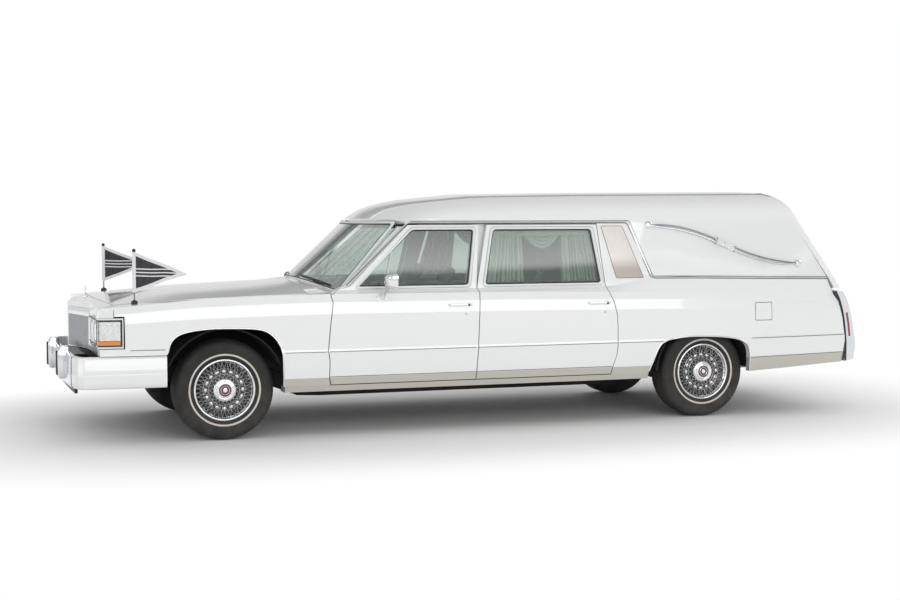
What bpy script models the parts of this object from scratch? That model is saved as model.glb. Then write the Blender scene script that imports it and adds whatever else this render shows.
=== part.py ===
"""A long white funeral car, built as separate panels on a perimeter frame.

Metres, +X forward, +Y to the car's left, +Z up, the ground at z = 0.
Stations (x in every table and helper) are measured from the front axle,
forward positive; solid() moves them so that the car is centred on x = 0.
"""

import math

import bmesh
import bpy
import numpy as np
from mathutils import Vector
from mathutils.geometry import delaunay_2d_cdt

# Driving sizes of the whole car
WHEELBASE = 3.665
FRONT_OVERHANG = 1.075
REAR_OVERHANG = 1.365
HALF_WIDTH = 0.972
ROOF_HEIGHT = 1.715
DRIP_HEIGHT = 1.47
FRONT_AXLE_X = (WHEELBASE + REAR_OVERHANG - FRONT_OVERHANG) / 2
REAR_AXLE = -WHEELBASE
TAIL = REAR_AXLE - REAR_OVERHANG

# Gaps and walls
SHUT_GAP = 0.006
SEAT_GAP = 0.0003
HUB_GAP = 0.0005
PANE_GAP = 0.0009
DOOR_WALL = 0.09
FRAME_WALL = 0.045
ROOF_WALL = 0.05
QUARTER_WALL = 0.055
SILL_WALL = 0.12
RING_WALL = 0.045
RING_GAP = SHUT_GAP + 0.003
FENDER_WALL = 0.03
HOOD_WALL = 0.03
GLASS_WALL = 0.005
EDGE_BEVEL = 0.024
EDGE_GAP = SHUT_GAP / 2

# Wheels, tyres and steering
TYRE_RADIUS = 0.345
TYRE_WIDTH = 0.225
RIM_RADIUS = 0.190
RIM_WALL = 0.010
COVER_RADIUS = 0.213
HUB_RADIUS = 0.080
FRONT_TRACK_HALF = 0.780
REAR_TRACK_HALF = 0.765
KINGPIN_Y = 0.700
KINGPIN_RISE = 0.130
ARM_WALL = 0.024
WHEEL_STEPS = 32
STAFF_RADIUS = 0.006

# Body section: nominal level of a line on the side, and its share of the half width inwards
SILL_LEVEL = 0.30
CREASE_LEVEL = 0.61
SHOULDER_LEVEL = 0.985
GLASS_LEVEL = 1.01
DRIP_LEVEL = 1.47
SECTION = (  # level, distance inside the half width
    (0.300, 0.048),
    (0.360, 0.027),
    (0.420, 0.017),
    (0.590, 0.000),
    (0.610, 0.005),
    (0.850, 0.012),
    (0.930, 0.022),
    (0.985, 0.037),
    (1.000, 0.072),
    (1.010, 0.097),
    (1.470, 0.197),
)
SIDE_LEVELS = tuple(row[0] for row in SECTION[1:-1])

# Height of the shoulder and of the glass base along the car, by station
SHOULDER = (
    (REAR_AXLE - 1.20, 0.910),
    (REAR_AXLE - 1.06, 0.915),
    (REAR_AXLE + 0.41, 0.961),
    (REAR_AXLE + 0.80, 0.966),
    (-1.99, 0.982),
    (-0.75, 0.990),
    (-0.30, 0.983),
    (0.17, 0.970),
    (0.57, 0.938),
    (0.86, 0.915),
)
GLASS_BASE = (
    (REAR_AXLE - 1.20, 1.035),
    (REAR_AXLE + 0.44, 1.075),
    (REAR_AXLE + 0.60, 1.040),
    (REAR_AXLE + 0.75, 1.010),
    (-0.80, 1.012),
    (0.90, 0.960),
)

# Top of the car on its centre line, by station
HOOD_CENTRE = (
    (-0.70, 1.070),
    (-0.582, 1.066),
    (-0.515, 1.052),
    (0.007, 1.029),
    (0.246, 1.018),
    (0.514, 0.993),
    (0.747, 0.963),
    (0.840, 0.951),
    (0.919, 0.937),
    (0.960, 0.915),
)
HOOD_SIDE = (
    (-0.90, 0.990),
    (-0.70, 0.988),
    (-0.336, 0.980),
    (0.32, 0.959),
    (0.57, 0.947),
    (0.736, 0.936),
    (0.96, 0.905),
)
ROOF_CROWN = (
    (REAR_AXLE - 0.60, ROOF_HEIGHT),
    (-2.77, ROOF_HEIGHT - 0.012),
    (-1.93, ROOF_HEIGHT - 0.027),
    (-1.50, ROOF_HEIGHT - 0.070),
    (-1.336, ROOF_HEIGHT - 0.110),
    (-1.265, ROOF_HEIGHT - 0.137),
    (-1.205, ROOF_HEIGHT - 0.171),
    (-1.150, ROOF_HEIGHT - 0.212),
)
ROOF_POWER = 3.0
HOOD_HALF = 0.80
SWEEP = 0.184
FENDER_REACH = 0.115

# Nose, hood joint, cowl and windshield
NOSE_TIP = 0.957
LAMP_FACE = 0.850
GRILLE_HALF = 0.42
HOOD_FRONT = 0.80
HOOD_FRONT_SIDE = 0.736
FENDER_FRONT = 0.742
LAMP_TOP = 0.856
LAMP_BOTTOM = 0.654
HEADER_TOP = 0.893
NOSE_WALL = 0.018
BROW_WALL = 0.012
BROW_LEAN = 0.018
BROW_INSET = 0.0008
BROW_START = 0.0022
BUMPER_WALL = 0.05
RAIL_FRONT = FRONT_OVERHANG - 0.045 - BUMPER_WALL - SEAT_GAP
COWL_JOINT = -0.600
FIREWALL_X = -0.680
FIREWALL_WALL = 0.012
DASH_FRONT = FIREWALL_X - FIREWALL_WALL - SEAT_GAP
SHIELD_BASE = (-0.666, 1.072)
SHIELD_TOP = (-1.130, DRIP_HEIGHT + 0.007)
SHIELD_DROP = 0.086

# Tail
TAIL_SLOPE = 0.62
TAIL_KNEE = 1.04
TAIL_KNEE_X = REAR_AXLE - 1.147
TAIL_FOOT_X = REAR_AXLE - 1.195
TAIL_FOOT = 0.90
TAIL_BOW = 0.030
TAIL_WALL = 0.05
TAIL_NARROWING = 0.042
TAIL_REST = 0.0018
TAIL_LAMP_INNER = 0.780
TAIL_LAMP_OUTER = 0.930
TAIL_HALF = TAIL_LAMP_INNER - SEAT_GAP
SLANT_TOP_X = REAR_AXLE + 0.585
SLANT_FOOT_X = REAR_AXLE + 0.433
TAIL_DOOR_HALF = 0.70
TAIL_DOOR_TOP_HALF = 0.60
TAIL_DOOR_BOTTOM = 0.62
TAIL_DOOR_TOP = ROOF_HEIGHT - 0.115
TAIL_HINGE_X = REAR_AXLE - 1.235
BUMPER_TOP = 0.60

# Doors
DOOR_BOTTOM = 0.363
SILL_BOTTOM = 0.316
SILL_TOP = DOOR_BOTTOM - SHUT_GAP
DOOR_TOP = DRIP_HEIGHT - 0.008
WINDOW_TOP = DOOR_TOP - 0.032
OPENING_TOP = DOOR_TOP - 0.022
SPLIT_BOTTOM = -1.800
SPLIT_TOP = -1.832
DOOR_FRONT = (
    (-0.729, DOOR_BOTTOM),
    (-0.718, 0.404),
    (-0.719, 0.526),
    (-0.707, 0.598),
    (-0.726, 0.780),
    (-0.747, 0.932),
    (-0.735, 0.975),
)
DOOR_REAR = (
    (REAR_AXLE + 0.801, DOOR_BOTTOM),
    (REAR_AXLE + 0.786, 0.422),
    (REAR_AXLE + 0.761, 0.497),
    (REAR_AXLE + 0.753, 0.582),
    (REAR_AXLE + 0.752, 0.704),
    (REAR_AXLE + 0.757, 0.799),
    (REAR_AXLE + 0.779, 0.894),
    (REAR_AXLE + 0.812, 0.975),
)
FRONT_HINGE_X = -0.707
REAR_HINGE_X = SPLIT_BOTTOM - EDGE_GAP
DOOR_STOPS = (-1.30, -2.40)

# Frame, floor and deck
RAIL_HALF = 0.035
RAIL_DEPTH = 0.12
MEMBER_BOTTOM = 0.240
FLOOR_HEIGHT = 0.36
FLOOR_WALL = 0.012
REAR_FLOOR = 0.64
TUNNEL_RISE = 0.20
SHAFT_RISE = 0.07
WHEELHOUSE_RADIUS = TYRE_RADIUS + 0.045
WHEELHOUSE_WALL = 0.012
WHEELHOUSE_INNER = 0.625
WHEELHOUSE_OUTER = 0.885
DECK_TOP = 0.775
DECK_WALL = 0.025
LINER_RADIUS = TYRE_RADIUS + 0.070
APRON_Y = 0.461

# Finishes: colour, roughness, metallic
QUARTER_LINES = (-1.00, -0.85, -0.70, -0.56, -0.385, -0.15, 0.15, 0.62, 0.69)
LID_FRONT = REAR_AXLE - 0.402
LID_LENGTH = 0.138
LID_LOW = 0.733
LID_HIGH = 0.863
LID_WALL = 0.004
LID_GAP = 0.005
LID_CORNER = 0.006
LID_PIN = 0.0015
LID_PIVOT = 0.003
FILLER_DEPTH = 0.030
FILLER_RADIUS = 0.028
FILLER_RISE = 0.014

PAINT = ("paint_white", (0.82, 0.83, 0.83), 0.25, 0.0)
CHROME = ("chrome", (0.75, 0.76, 0.78), 0.12, 1.0)
RUBBER = ("rubber", (0.035, 0.035, 0.038), 0.75, 0.0)
GLASS = ("green_glass", (0.16, 0.22, 0.20), 0.08, 0.0)
BLACK = ("black_underbody", (0.03, 0.03, 0.03), 0.80, 0.0)
IRON = ("cast_iron", (0.18, 0.18, 0.19), 0.65, 0.6)
CLOTH = ("sage_cloth", (0.50, 0.60, 0.50), 0.90, 0.0)
TRIM = ("dark_trim", (0.10, 0.10, 0.11), 0.70, 0.0)
DECK = ("deck_panel", (0.25, 0.22, 0.18), 0.55, 0.0)
PENNANT = ("pennant_cloth", (0.02, 0.02, 0.025), 0.85, 0.0)
LAMP = ("lamp_lens", (0.75, 0.75, 0.72), 0.10, 0.0)


# Scene helpers

def clear_scene():
    """Remove every object that the file holds."""
    for obj in list(bpy.data.objects):
        bpy.data.objects.remove(obj, do_unlink=True)


def material(finish, name):
    """A Principled material of its own for one piece."""
    _, colour, roughness, metallic = finish
    made = bpy.data.materials.new(name + "_" + finish[0])
    made.use_nodes = True
    shader = made.node_tree.nodes["Principled BSDF"]
    shader.inputs["Base Color"].default_value = (*colour, 1.0)
    shader.inputs["Roughness"].default_value = roughness
    shader.inputs["Metallic"].default_value = metallic
    return made


def solid(name, shape, finish, origin=(0.0, 0.0, 0.0)):
    """One named object from (vertices, faces), its origin at a station on its joint's axis."""
    verts, faces = shape
    mesh = bpy.data.meshes.new(name)
    mesh.from_pydata([tuple(np.subtract(v, origin)) for v in verts], [], faces)
    shell = bmesh.new()
    shell.from_mesh(mesh)
    bmesh.ops.recalc_face_normals(shell, faces=shell.faces)
    shell.to_mesh(mesh)
    shell.free()
    mesh.shade_smooth()
    mesh.set_sharp_from_angle(angle=math.radians(28))
    mesh.materials.append(material(finish, name))
    obj = bpy.data.objects.new(name, mesh)
    bpy.context.scene.collection.objects.link(obj)
    obj.location = (FRONT_AXLE_X + origin[0], origin[1], origin[2])
    return obj


def carry(parent, *children):
    """Parent unturned objects while they keep their place."""
    for child in children:
        child.location = child.location - parent.matrix_basis.translation - parent_offset(parent)
        child.parent = parent


def parent_offset(obj):
    """World place of an unturned object's parents."""
    total = Vector((0.0, 0.0, 0.0))
    above = obj.parent
    while above is not None:
        total += above.location
        above = above.parent
    return total


def mirrored(shape):
    """The same shape on the car's right side."""
    verts, faces = shape
    return [(x, -y, z) for x, y, z in verts], faces


def joined(shapes, cuts=()):
    """One closed shape from overlapping ones, less the cuts, by exact Booleans."""
    def temporary(shape):
        mesh = bpy.data.meshes.new("temporary")
        mesh.from_pydata(shape[0], [], shape[1])
        shell = bmesh.new()
        shell.from_mesh(mesh)
        bmesh.ops.recalc_face_normals(shell, faces=shell.faces)
        shell.to_mesh(mesh)
        shell.free()
        obj = bpy.data.objects.new("temporary", mesh)
        bpy.context.scene.collection.objects.link(obj)
        return obj

    base = temporary(shapes[0])
    helpers = []
    for group, operation in ((shapes[1:], "UNION"), (cuts, "DIFFERENCE")):
        for shape in group:
            helper = temporary(shape)
            helpers.append(helper)
            step = base.modifiers.new("join", "BOOLEAN")
            step.solver = "EXACT"
            step.operation = operation
            step.object = helper
    graph = bpy.context.evaluated_depsgraph_get()
    graph.update()
    result = bpy.data.meshes.new_from_object(base.evaluated_get(graph))
    verts = [tuple(v.co) for v in result.vertices]
    faces = [tuple(p.vertices) for p in result.polygons]
    for obj in [base, *helpers]:
        bpy.data.objects.remove(obj, do_unlink=True)
    return verts, faces


# Shape helpers

def inside(point, loop):
    """Whether a flat point lies in a closed loop, by counting crossings."""
    crossings = 0
    for (ax, ay), (bx, by) in zip(loop, loop[1:] + loop[:1]):
        if (ay > point[1]) != (by > point[1]):
            if point[0] < ax + (point[1] - ay) * (bx - ax) / (by - ay):
                crossings += 1
    return crossings % 2 == 1


def sheet(outline, outer, inner, holes=(), u_lines=(), v_lines=()):
    """A closed panel: a flat outline with holes, laid on an outer and an inner
    surface and sewn along every edge. The lines add rows where a surface bends."""
    loops = [list(outline)] + [list(hole) for hole in holes]
    points = []
    edges = []
    for loop in loops:
        first = len(points)
        points.extend(loop)
        edges.extend((first + i, first + (i + 1) % len(loop)) for i in range(len(loop)))
    low_u, low_v = np.min(outline, axis=0)
    high_u, high_v = np.max(outline, axis=0)
    margin = 0.05
    for u in u_lines:
        if low_u < u < high_u:
            edges.append((len(points), len(points) + 1))
            points.extend(((u, low_v - margin), (u, high_v + margin)))
    for v in v_lines:
        if low_v < v < high_v:
            edges.append((len(points), len(points) + 1))
            points.extend(((low_u - margin, v), (high_u + margin, v)))
    flat, _, triangles, _, _, _ = delaunay_2d_cdt([Vector(p) for p in points], edges, [], 0, 1e-6)
    kept = []
    for triangle in triangles:
        middle = sum((flat[i] for i in triangle), Vector((0.0, 0.0))) / len(triangle)
        if inside(middle, loops[0]) and not any(inside(middle, hole) for hole in loops[1:]):
            kept.append(tuple(triangle))
    used = sorted({i for triangle in kept for i in triangle})
    place = {old: new for new, old in enumerate(used)}
    count = len(used)
    front = [tuple(place[i] for i in triangle) for triangle in kept]
    back = [tuple(i + count for i in reversed(triangle)) for triangle in front]
    sides = {(t[i], t[(i + 1) % 3]) for t in front for i in range(3)}
    rim = [(b, a, a + count, b + count) for a, b in sides if (b, a) not in sides]
    verts = [outer(*flat[i]) for i in used] + [inner(*flat[i]) for i in used]
    return verts, front + back + rim


def slab(outline, axis, low, high, holes=()):
    """A flat plate of any outline, extruded along X, Y or Z."""
    def lay(value):
        if axis == "X":
            return lambda u, v: (value, u, v)
        if axis == "Y":
            return lambda u, v: (u, value, v)
        return lambda u, v: (u, v, value)
    return sheet(outline, lay(high), lay(low), holes)


def box(low, high):
    """A plain block between two corners."""
    corners = ((low[0], low[1]), (high[0], low[1]), (high[0], high[1]), (low[0], high[1]))
    return slab(corners, "Z", low[2], high[2])


def turned(profile, centre, axis="Y", steps=24, start=0.0, sweep=360.0):
    """A closed (radius, along) profile turned about an axis through a centre."""
    whole = sweep >= 360.0
    rings = steps if whole else steps + 1
    verts = []
    index = []
    for r, along in profile:
        row = []
        for k in range(rings):
            if r == 0.0 and row:
                row.append(row[0])
                continue
            turn = math.radians(start + sweep * k / steps)
            a, b = r * math.cos(turn), r * math.sin(turn)
            local = {"X": (along, a, b), "Y": (a, along, b), "Z": (a, b, along)}[axis]
            row.append(len(verts))
            verts.append(tuple(np.add(centre, local)))
        index.append(row)
    faces = []
    closed_profile = profile[0][0] > 0.0 or profile[-1][0] > 0.0
    last = len(profile) if closed_profile else len(profile) - 1
    for i in range(last):
        j = (i + 1) % len(profile)
        for k in range(steps):
            m = (k + 1) % rings
            corner = [index[i][k], index[j][k], index[j][m], index[i][m]]
            loop = [c for n, c in enumerate(corner) if c != corner[n - 1]]
            if len(loop) > 2:
                faces.append(tuple(loop))
    if not whole:
        faces.append(tuple(row[0] for row in index))
        faces.append(tuple(row[-1] for row in reversed(index)))
    return verts, faces


def rod(path, radius, sides=10):
    """A round bar along a path, mitred at its bends, with flat ends."""
    points = [Vector(p) for p in path]
    tangents = []
    for i in range(len(points)):
        before = points[i] - points[max(i - 1, 0)]
        after = points[min(i + 1, len(points) - 1)] - points[i]
        tangents.append((before.normalized() + after.normalized()).normalized())
    across = tangents[0].orthogonal().normalized()
    verts = []
    for point, tangent in zip(points, tangents):
        across = (across - across.dot(tangent) * tangent).normalized()
        up = tangent.cross(across)
        for k in range(sides):
            turn = math.tau * k / sides
            verts.append(tuple(point + radius * (math.cos(turn) * across + math.sin(turn) * up)))
    faces = [tuple(reversed(range(sides)))]
    for i in range(len(points) - 1):
        for k in range(sides):
            m = (k + 1) % sides
            a, b = i * sides, (i + 1) * sides
            faces.append((a + k, a + m, b + m, b + k))
    faces.append(tuple(range((len(points) - 1) * sides, len(points) * sides)))
    return verts, faces


def rounded(corners, radius, steps=3):
    """An outline with each corner replaced by an arc-like curve of the given reach."""
    result = []
    count = len(corners)
    for i, corner in enumerate(corners):
        here = Vector(corner)
        before = Vector(corners[i - 1]) - here
        after = Vector(corners[(i + 1) % count]) - here
        reach = min(radius, before.length * 0.45, after.length * 0.45)
        start = here + before.normalized() * reach
        end = here + after.normalized() * reach
        for k in range(steps + 1):
            t = k / steps
            point = start * (1 - t) ** 2 + here * 2 * t * (1 - t) + end * t ** 2
            result.append((point.x, point.y))
    return result


def smoothed(points, steps=3):
    """A cubic curve through the points, each span divided into equal steps of its parameter."""
    ends = [tuple(np.subtract(np.multiply(points[0], 2), points[1]))]
    ends += list(points) + [tuple(np.subtract(np.multiply(points[-1], 2), points[-2]))]
    result = []
    for before, start, end, after in zip(ends, ends[1:], ends[2:], ends[3:]):
        leave = np.subtract(end, before) / 2
        arrive = np.subtract(after, start) / 2
        for k in range(steps):
            t = k / steps
            point = (
                np.multiply(start, 2 * t ** 3 - 3 * t ** 2 + 1)
                + np.multiply(end, 3 * t ** 2 - 2 * t ** 3)
                + leave * (t ** 3 - 2 * t ** 2 + t)
                + arrive * (t ** 3 - t ** 2)
            )
            result.append((float(point[0]), float(point[1])))
    return result + [tuple(points[-1])]


def inset(outline, distance):
    """An outline moved inwards by a small distance, for a pane in its frame."""
    area = sum(a[0] * b[1] - b[0] * a[1] for a, b in zip(outline, outline[1:] + outline[:1]))
    sign = 1.0 if area > 0 else -1.0
    result = []
    for i, corner in enumerate(outline):
        here = Vector(corner)
        before = (here - Vector(outline[i - 1])).normalized()
        after = (Vector(outline[(i + 1) % len(outline)]) - here).normalized()
        normal = Vector((-(before + after).y, (before + after).x)).normalized() * sign
        result.append(tuple(here + normal * distance))
    return result


def table(rows, value):
    """Straight-line reading of a two-column table, in either order of its first column."""
    ordered = sorted(rows)
    return float(np.interp(value, [r[0] for r in ordered], [r[1] for r in ordered]))


# Body surfaces

def taper(x):
    """How far the sides draw in towards both ends, in plan."""
    front = max(0.0, (x - 0.20) / 0.65)
    rear = max(0.0, (REAR_AXLE - 0.35 - x) / 0.85)
    return 0.035 * (front ** 2 + rear ** 2)


def heights(x):
    """Real heights of the named levels at a station."""
    return (SILL_LEVEL, CREASE_LEVEL, table(SHOULDER, x), table(GLASS_BASE, x), DRIP_HEIGHT)


def side_height(x, level):
    """Height of a level at a station."""
    named = (SILL_LEVEL, CREASE_LEVEL, SHOULDER_LEVEL, GLASS_LEVEL, DRIP_LEVEL)
    return float(np.interp(level, named, heights(x)))


def side_level(x, z):
    """Level of a height at a station."""
    named = (SILL_LEVEL, CREASE_LEVEL, SHOULDER_LEVEL, GLASS_LEVEL, DRIP_LEVEL)
    return float(np.interp(z, heights(x), named))


def side_half(x, level):
    """Half width of the outer skin at a level."""
    return HALF_WIDTH - table(SECTION, level) - taper(x)


def skin(x, level, depth=0.0):
    """A point of the left side, a depth inside the outer skin."""
    return (x, side_half(x, level) - depth, side_height(x, level))


def on_side(points):
    """Stations and heights turned into stations and levels."""
    return [(x, side_level(x, z)) for x, z in points]


def station_lines(low, high):
    """Stations where the side bends along its length."""
    rows = {row[0] for row in SHOULDER + GLASS_BASE if low + 0.03 < row[0] < high - 0.03}
    return sorted(rows)


def top_height(x, y):
    """Height of the hood, nose and cowl surface."""
    share = min(abs(y) / HOOD_HALF, 1.0) ** 2
    return table(HOOD_CENTRE, x) * (1 - share) + table(HOOD_SIDE, x) * share


def sweep_back(y):
    """How far the windshield's edges stand behind its centre."""
    return SWEEP * (y / HOOD_HALF) ** 2


def shield_point(y, rise, depth=0.0):
    """A point of the windshield, rise running 0 at its base to 1 at its top."""
    lean_x = SHIELD_TOP[0] - SHIELD_BASE[0]
    share = (y / HOOD_HALF) ** 2
    base_z = SHIELD_BASE[1] - SHIELD_DROP * share
    top_z = SHIELD_TOP[1] + 0.008 * share
    x = SHIELD_BASE[0] + lean_x * rise - sweep_back(y) - depth
    z = base_z + (top_z - base_z) * rise
    return (x, y, z)


def tail_x(y, z):
    """Station of the tail's outer surface, which leans forward above its knee."""
    if z > TAIL_KNEE:
        base = TAIL_KNEE_X + TAIL_SLOPE * (z - TAIL_KNEE)
    else:
        share = min(max((TAIL_KNEE - z) / (TAIL_KNEE - TAIL_FOOT), 0.0), 1.0)
        base = TAIL_KNEE_X + (TAIL_FOOT_X - TAIL_KNEE_X) * share
    return base - TAIL_BOW * (1 - min(abs(y) / HALF_WIDTH, 1.0) ** 2)


def roof_point(x, around, depth=0.0):
    """A point of the roof shell. Around is 0 on the centre line, 1 at the drip
    line and 2 at the glass level, positive on the left."""
    side = 1.0 if around >= 0 else -1.0
    reach = abs(around)
    if reach >= 1.0:
        level = DRIP_LEVEL + (GLASS_LEVEL - DRIP_LEVEL) * (reach - 1.0)
        px, py, pz = skin(x, level, depth)
        return (px, side * py, pz)
    angle = math.radians(90.0) * (1.0 - reach)
    half = side_half(x, DRIP_LEVEL) - depth
    y = half * math.cos(angle) ** (2 / ROOF_POWER)
    crown = table(ROOF_CROWN, x + sweep_back(y)) - DRIP_HEIGHT - depth
    z = DRIP_HEIGHT + crown * math.sin(angle) ** (2 / ROOF_POWER)
    return (x, side * y, z)


def roof_end(around):
    """Station where the roof shell meets the tail frame."""
    _, y, z = roof_point(REAR_AXLE - 0.9, around)
    return tail_x(y, z) + TAIL_WALL + SEAT_GAP


# Body panels

def door_shape(outline, window, middle, levels):
    """A door as thick as the real one, thinner round its glass, with edges
    bevelled so that it swings clear of the panel behind it."""
    def at(x, level, depth):
        narrowing = 1.0 - EDGE_BEVEL * depth / DOOR_WALL
        px, py, pz = skin(x, level, depth)
        return (middle + (px - middle) * narrowing, py, pz)

    def wall(level):
        return float(np.interp(level, (0.975, 1.02), (DOOR_WALL, FRAME_WALL)))
    low = min(p[0] for p in outline)
    high = max(p[0] for p in outline)
    frame = sheet(
        on_side(outline),
        lambda x, level: at(x, level, 0.0),
        lambda x, level: at(x, level, wall(level)),
        holes=[on_side(window)],
        u_lines=station_lines(low, high),
        v_lines=levels,
    )
    pane_depth = FRAME_WALL * 0.4
    pane = sheet(
        on_side(inset(window, PANE_GAP)),
        lambda x, level: at(x, level, pane_depth),
        lambda x, level: at(x, level, pane_depth + GLASS_WALL),
    )
    return frame, pane


def front_door():
    """Outline and window of the front door."""
    edge = [(x - EDGE_GAP, z) for x, z in DOOR_FRONT]
    outline = edge + [
        (-0.800, 1.014),
        (-0.892, 1.035),
        (-1.342, DOOR_TOP),
        (-1.879, DOOR_TOP),
        (SPLIT_TOP + EDGE_GAP, 1.010),
        (SPLIT_TOP + EDGE_GAP, 0.975),
        (SPLIT_BOTTOM + EDGE_GAP, DOOR_BOTTOM),
    ]
    corners = [(-0.945, 1.034), (-1.372, WINDOW_TOP), (-1.842, WINDOW_TOP), (-1.772, 1.034)]
    return outline, rounded(corners, 0.025)


def rear_door():
    """Outline and window of the rear door."""
    edge = [(x + SHUT_GAP, z) for x, z in reversed(DOOR_REAR)]
    outline = [
        (SPLIT_BOTTOM - EDGE_GAP, DOOR_BOTTOM),
        (SPLIT_TOP - EDGE_GAP, 0.975),
        (SPLIT_TOP - EDGE_GAP, 1.010),
        (-1.944, DOOR_TOP),
        (REAR_AXLE + 0.853, DOOR_TOP),
        (REAR_AXLE + 0.822, 1.012),
    ] + edge
    corners = [
        (-1.899, 1.034),
        (-1.990, WINDOW_TOP),
        (REAR_AXLE + 0.899, WINDOW_TOP),
        (REAR_AXLE + 0.849, 1.034),
    ]
    return outline, rounded(corners, 0.025)


def quarter_outline():
    """Sill and quarter panel in one outline, from the front wheel to the tail lamp."""
    arch = (
        (0.493, 0.367),
        (0.468, 0.429),
        (0.418, 0.548),
        (0.368, 0.592),
        (0.279, 0.612),
        (0.151, 0.623),
        (-0.043, 0.618),
        (-0.174, 0.606),
        (-0.266, 0.586),
        (-0.326, 0.549),
        (-0.354, 0.478),
        (-0.362, 0.341),
    )
    lamp_edge = (
        (-1.192, 0.387),
        (-1.212, 0.552),
        (-1.190, 0.729),
        (-1.156, 0.856),
        (-1.114, 0.950),
        (-1.104, 0.980),
    )
    tail_end = REAR_AXLE - 1.097
    top = [(tail_end, table(GLASS_BASE, tail_end))]
    for offset in (-0.80, -0.40, 0.0):
        top.append((REAR_AXLE + offset, table(GLASS_BASE, REAR_AXLE + offset)))
    return (
        [(-0.405, SILL_BOTTOM), (REAR_AXLE + 0.497, SILL_BOTTOM)]
        + [(REAR_AXLE + x, z) for x, z in smoothed(arch)]
        + [(REAR_AXLE - 0.805, 0.365)]
        + [(REAR_AXLE + x, z) for x, z in lamp_edge]
        + top
        + [(SLANT_FOOT_X, table(GLASS_BASE, SLANT_FOOT_X)), (SLANT_TOP_X, DRIP_HEIGHT - SEAT_GAP)]
        + [(REAR_AXLE + 0.847, DRIP_HEIGHT - SEAT_GAP), (REAR_AXLE + 0.816, 1.012)]
        + list(reversed(DOOR_REAR[1:]))
        + [(REAR_AXLE + 0.801, SILL_TOP), (-0.405, SILL_TOP)]
    )


def ring_shape():
    """Door frame behind the doors: sill, pillars and rail round two openings."""
    outline = [
        (-0.690, 0.330),
        (REAR_AXLE + 0.700, 0.330),
        (REAR_AXLE + 0.700, DRIP_HEIGHT - 0.010),
        (REAR_AXLE + 0.720, DRIP_HEIGHT + 0.015),
        (-1.480, DRIP_HEIGHT + 0.015),
        (-1.420, DRIP_HEIGHT - 0.018),
        (-1.286, DRIP_HEIGHT - 0.018),
        (-0.875, 1.045),
        (-0.757, 0.995),
        (-0.757, 0.940),
        (-0.690, 0.940),
    ]
    front = [(-0.790, 0.385), (-0.800, 0.925), (-0.970, 1.050), (-1.355, OPENING_TOP)]
    front += [(-1.855, OPENING_TOP), (-1.770, 1.000), (-1.750, 0.385)]
    rear = [(-1.860, 0.385), (-1.870, 1.000), (-1.975, OPENING_TOP)]
    rear += [(REAR_AXLE + 0.800, OPENING_TOP), (REAR_AXLE + 0.800, 0.385)]

    def depth(level):
        seat = float(np.interp(level, (0.975, 1.02), (DOOR_WALL, FRAME_WALL)))
        return seat + RING_GAP

    def at(x, level, extra):
        rise = max(level - DRIP_LEVEL, 0.0)
        px, py, pz = skin(x, min(level, DRIP_LEVEL), depth(level) + extra + rise)
        return (px, py, pz + rise)

    def raised(points):
        return [(x, side_level(x, min(z, DRIP_HEIGHT)) + max(z - DRIP_HEIGHT, 0.0)) for x, z in points]
    return sheet(
        raised(outline),
        lambda x, level: at(x, level, 0.0),
        lambda x, level: at(x, level, RING_WALL),
        holes=[raised(front), raised(rear)],
        u_lines=station_lines(REAR_AXLE + 0.70, -0.69),
        v_lines=SIDE_LEVELS + (0.975, 1.02, 1.47),
    )


def door_stop(x):
    """Rubber stop on the sill that a shut door rests against."""
    low, high = DOOR_BOTTOM + 0.003, DOOR_BOTTOM + 0.020
    return sheet(
        on_side([(x - 0.02, low), (x + 0.02, low), (x + 0.02, high), (x - 0.02, high)]),
        lambda u, level: skin(u, level, DOOR_WALL + SEAT_GAP),
        lambda u, level: skin(u, level, DOOR_WALL + RING_GAP + 0.010),
    )


def lid_outline(margin):
    """Rounded outline of the fuel lid in stations and levels, larger by a margin."""
    back, front = LID_FRONT - LID_LENGTH - margin, LID_FRONT + margin
    low, high = LID_LOW - margin, LID_HIGH + margin
    return on_side(rounded([(back, low), (front, low), (front, high), (back, high)], LID_CORNER))


def lid_axis():
    """Lower and upper end of the fuel lid's hinge axis, at half the lid's thickness."""
    x = LID_FRONT - LID_PIVOT
    return [Vector(skin(x, side_level(x, z), LID_WALL / 2)) for z in (LID_LOW, LID_HIGH)]


def lid_shape():
    """Fuel lid with a hinge pin that stands out at its upper and lower edge."""
    plate = sheet(
        lid_outline(0.0),
        lambda x, level: skin(x, level),
        lambda x, level: skin(x, level, LID_WALL),
        v_lines=SIDE_LEVELS,
    )
    low, high = lid_axis()
    reach = (high - low).normalized() * (LID_GAP - HUB_GAP)
    return joined([plate, rod([tuple(low - reach), tuple(high + reach)], LID_PIN)])


def with_filler(side):
    """The left body side with the fuel lid's pocket and the filler in it."""
    pocket = sheet(
        lid_outline(LID_GAP),
        lambda x, level: skin(x, level, -FILLER_DEPTH),
        lambda x, level: skin(x, level, FILLER_DEPTH),
        v_lines=SIDE_LEVELS,
    )
    x, z = LID_FRONT - LID_LENGTH / 2, (LID_LOW + LID_HIGH) / 2
    floor = skin(x, side_level(x, z), FILLER_DEPTH)
    profile = ((0.0, -FILLER_RISE), (FILLER_RADIUS, -FILLER_RISE), (FILLER_RADIUS, FILLER_RISE), (0.0, FILLER_RISE))
    return joined([joined([side], [pocket]), turned(profile, floor)])


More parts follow.
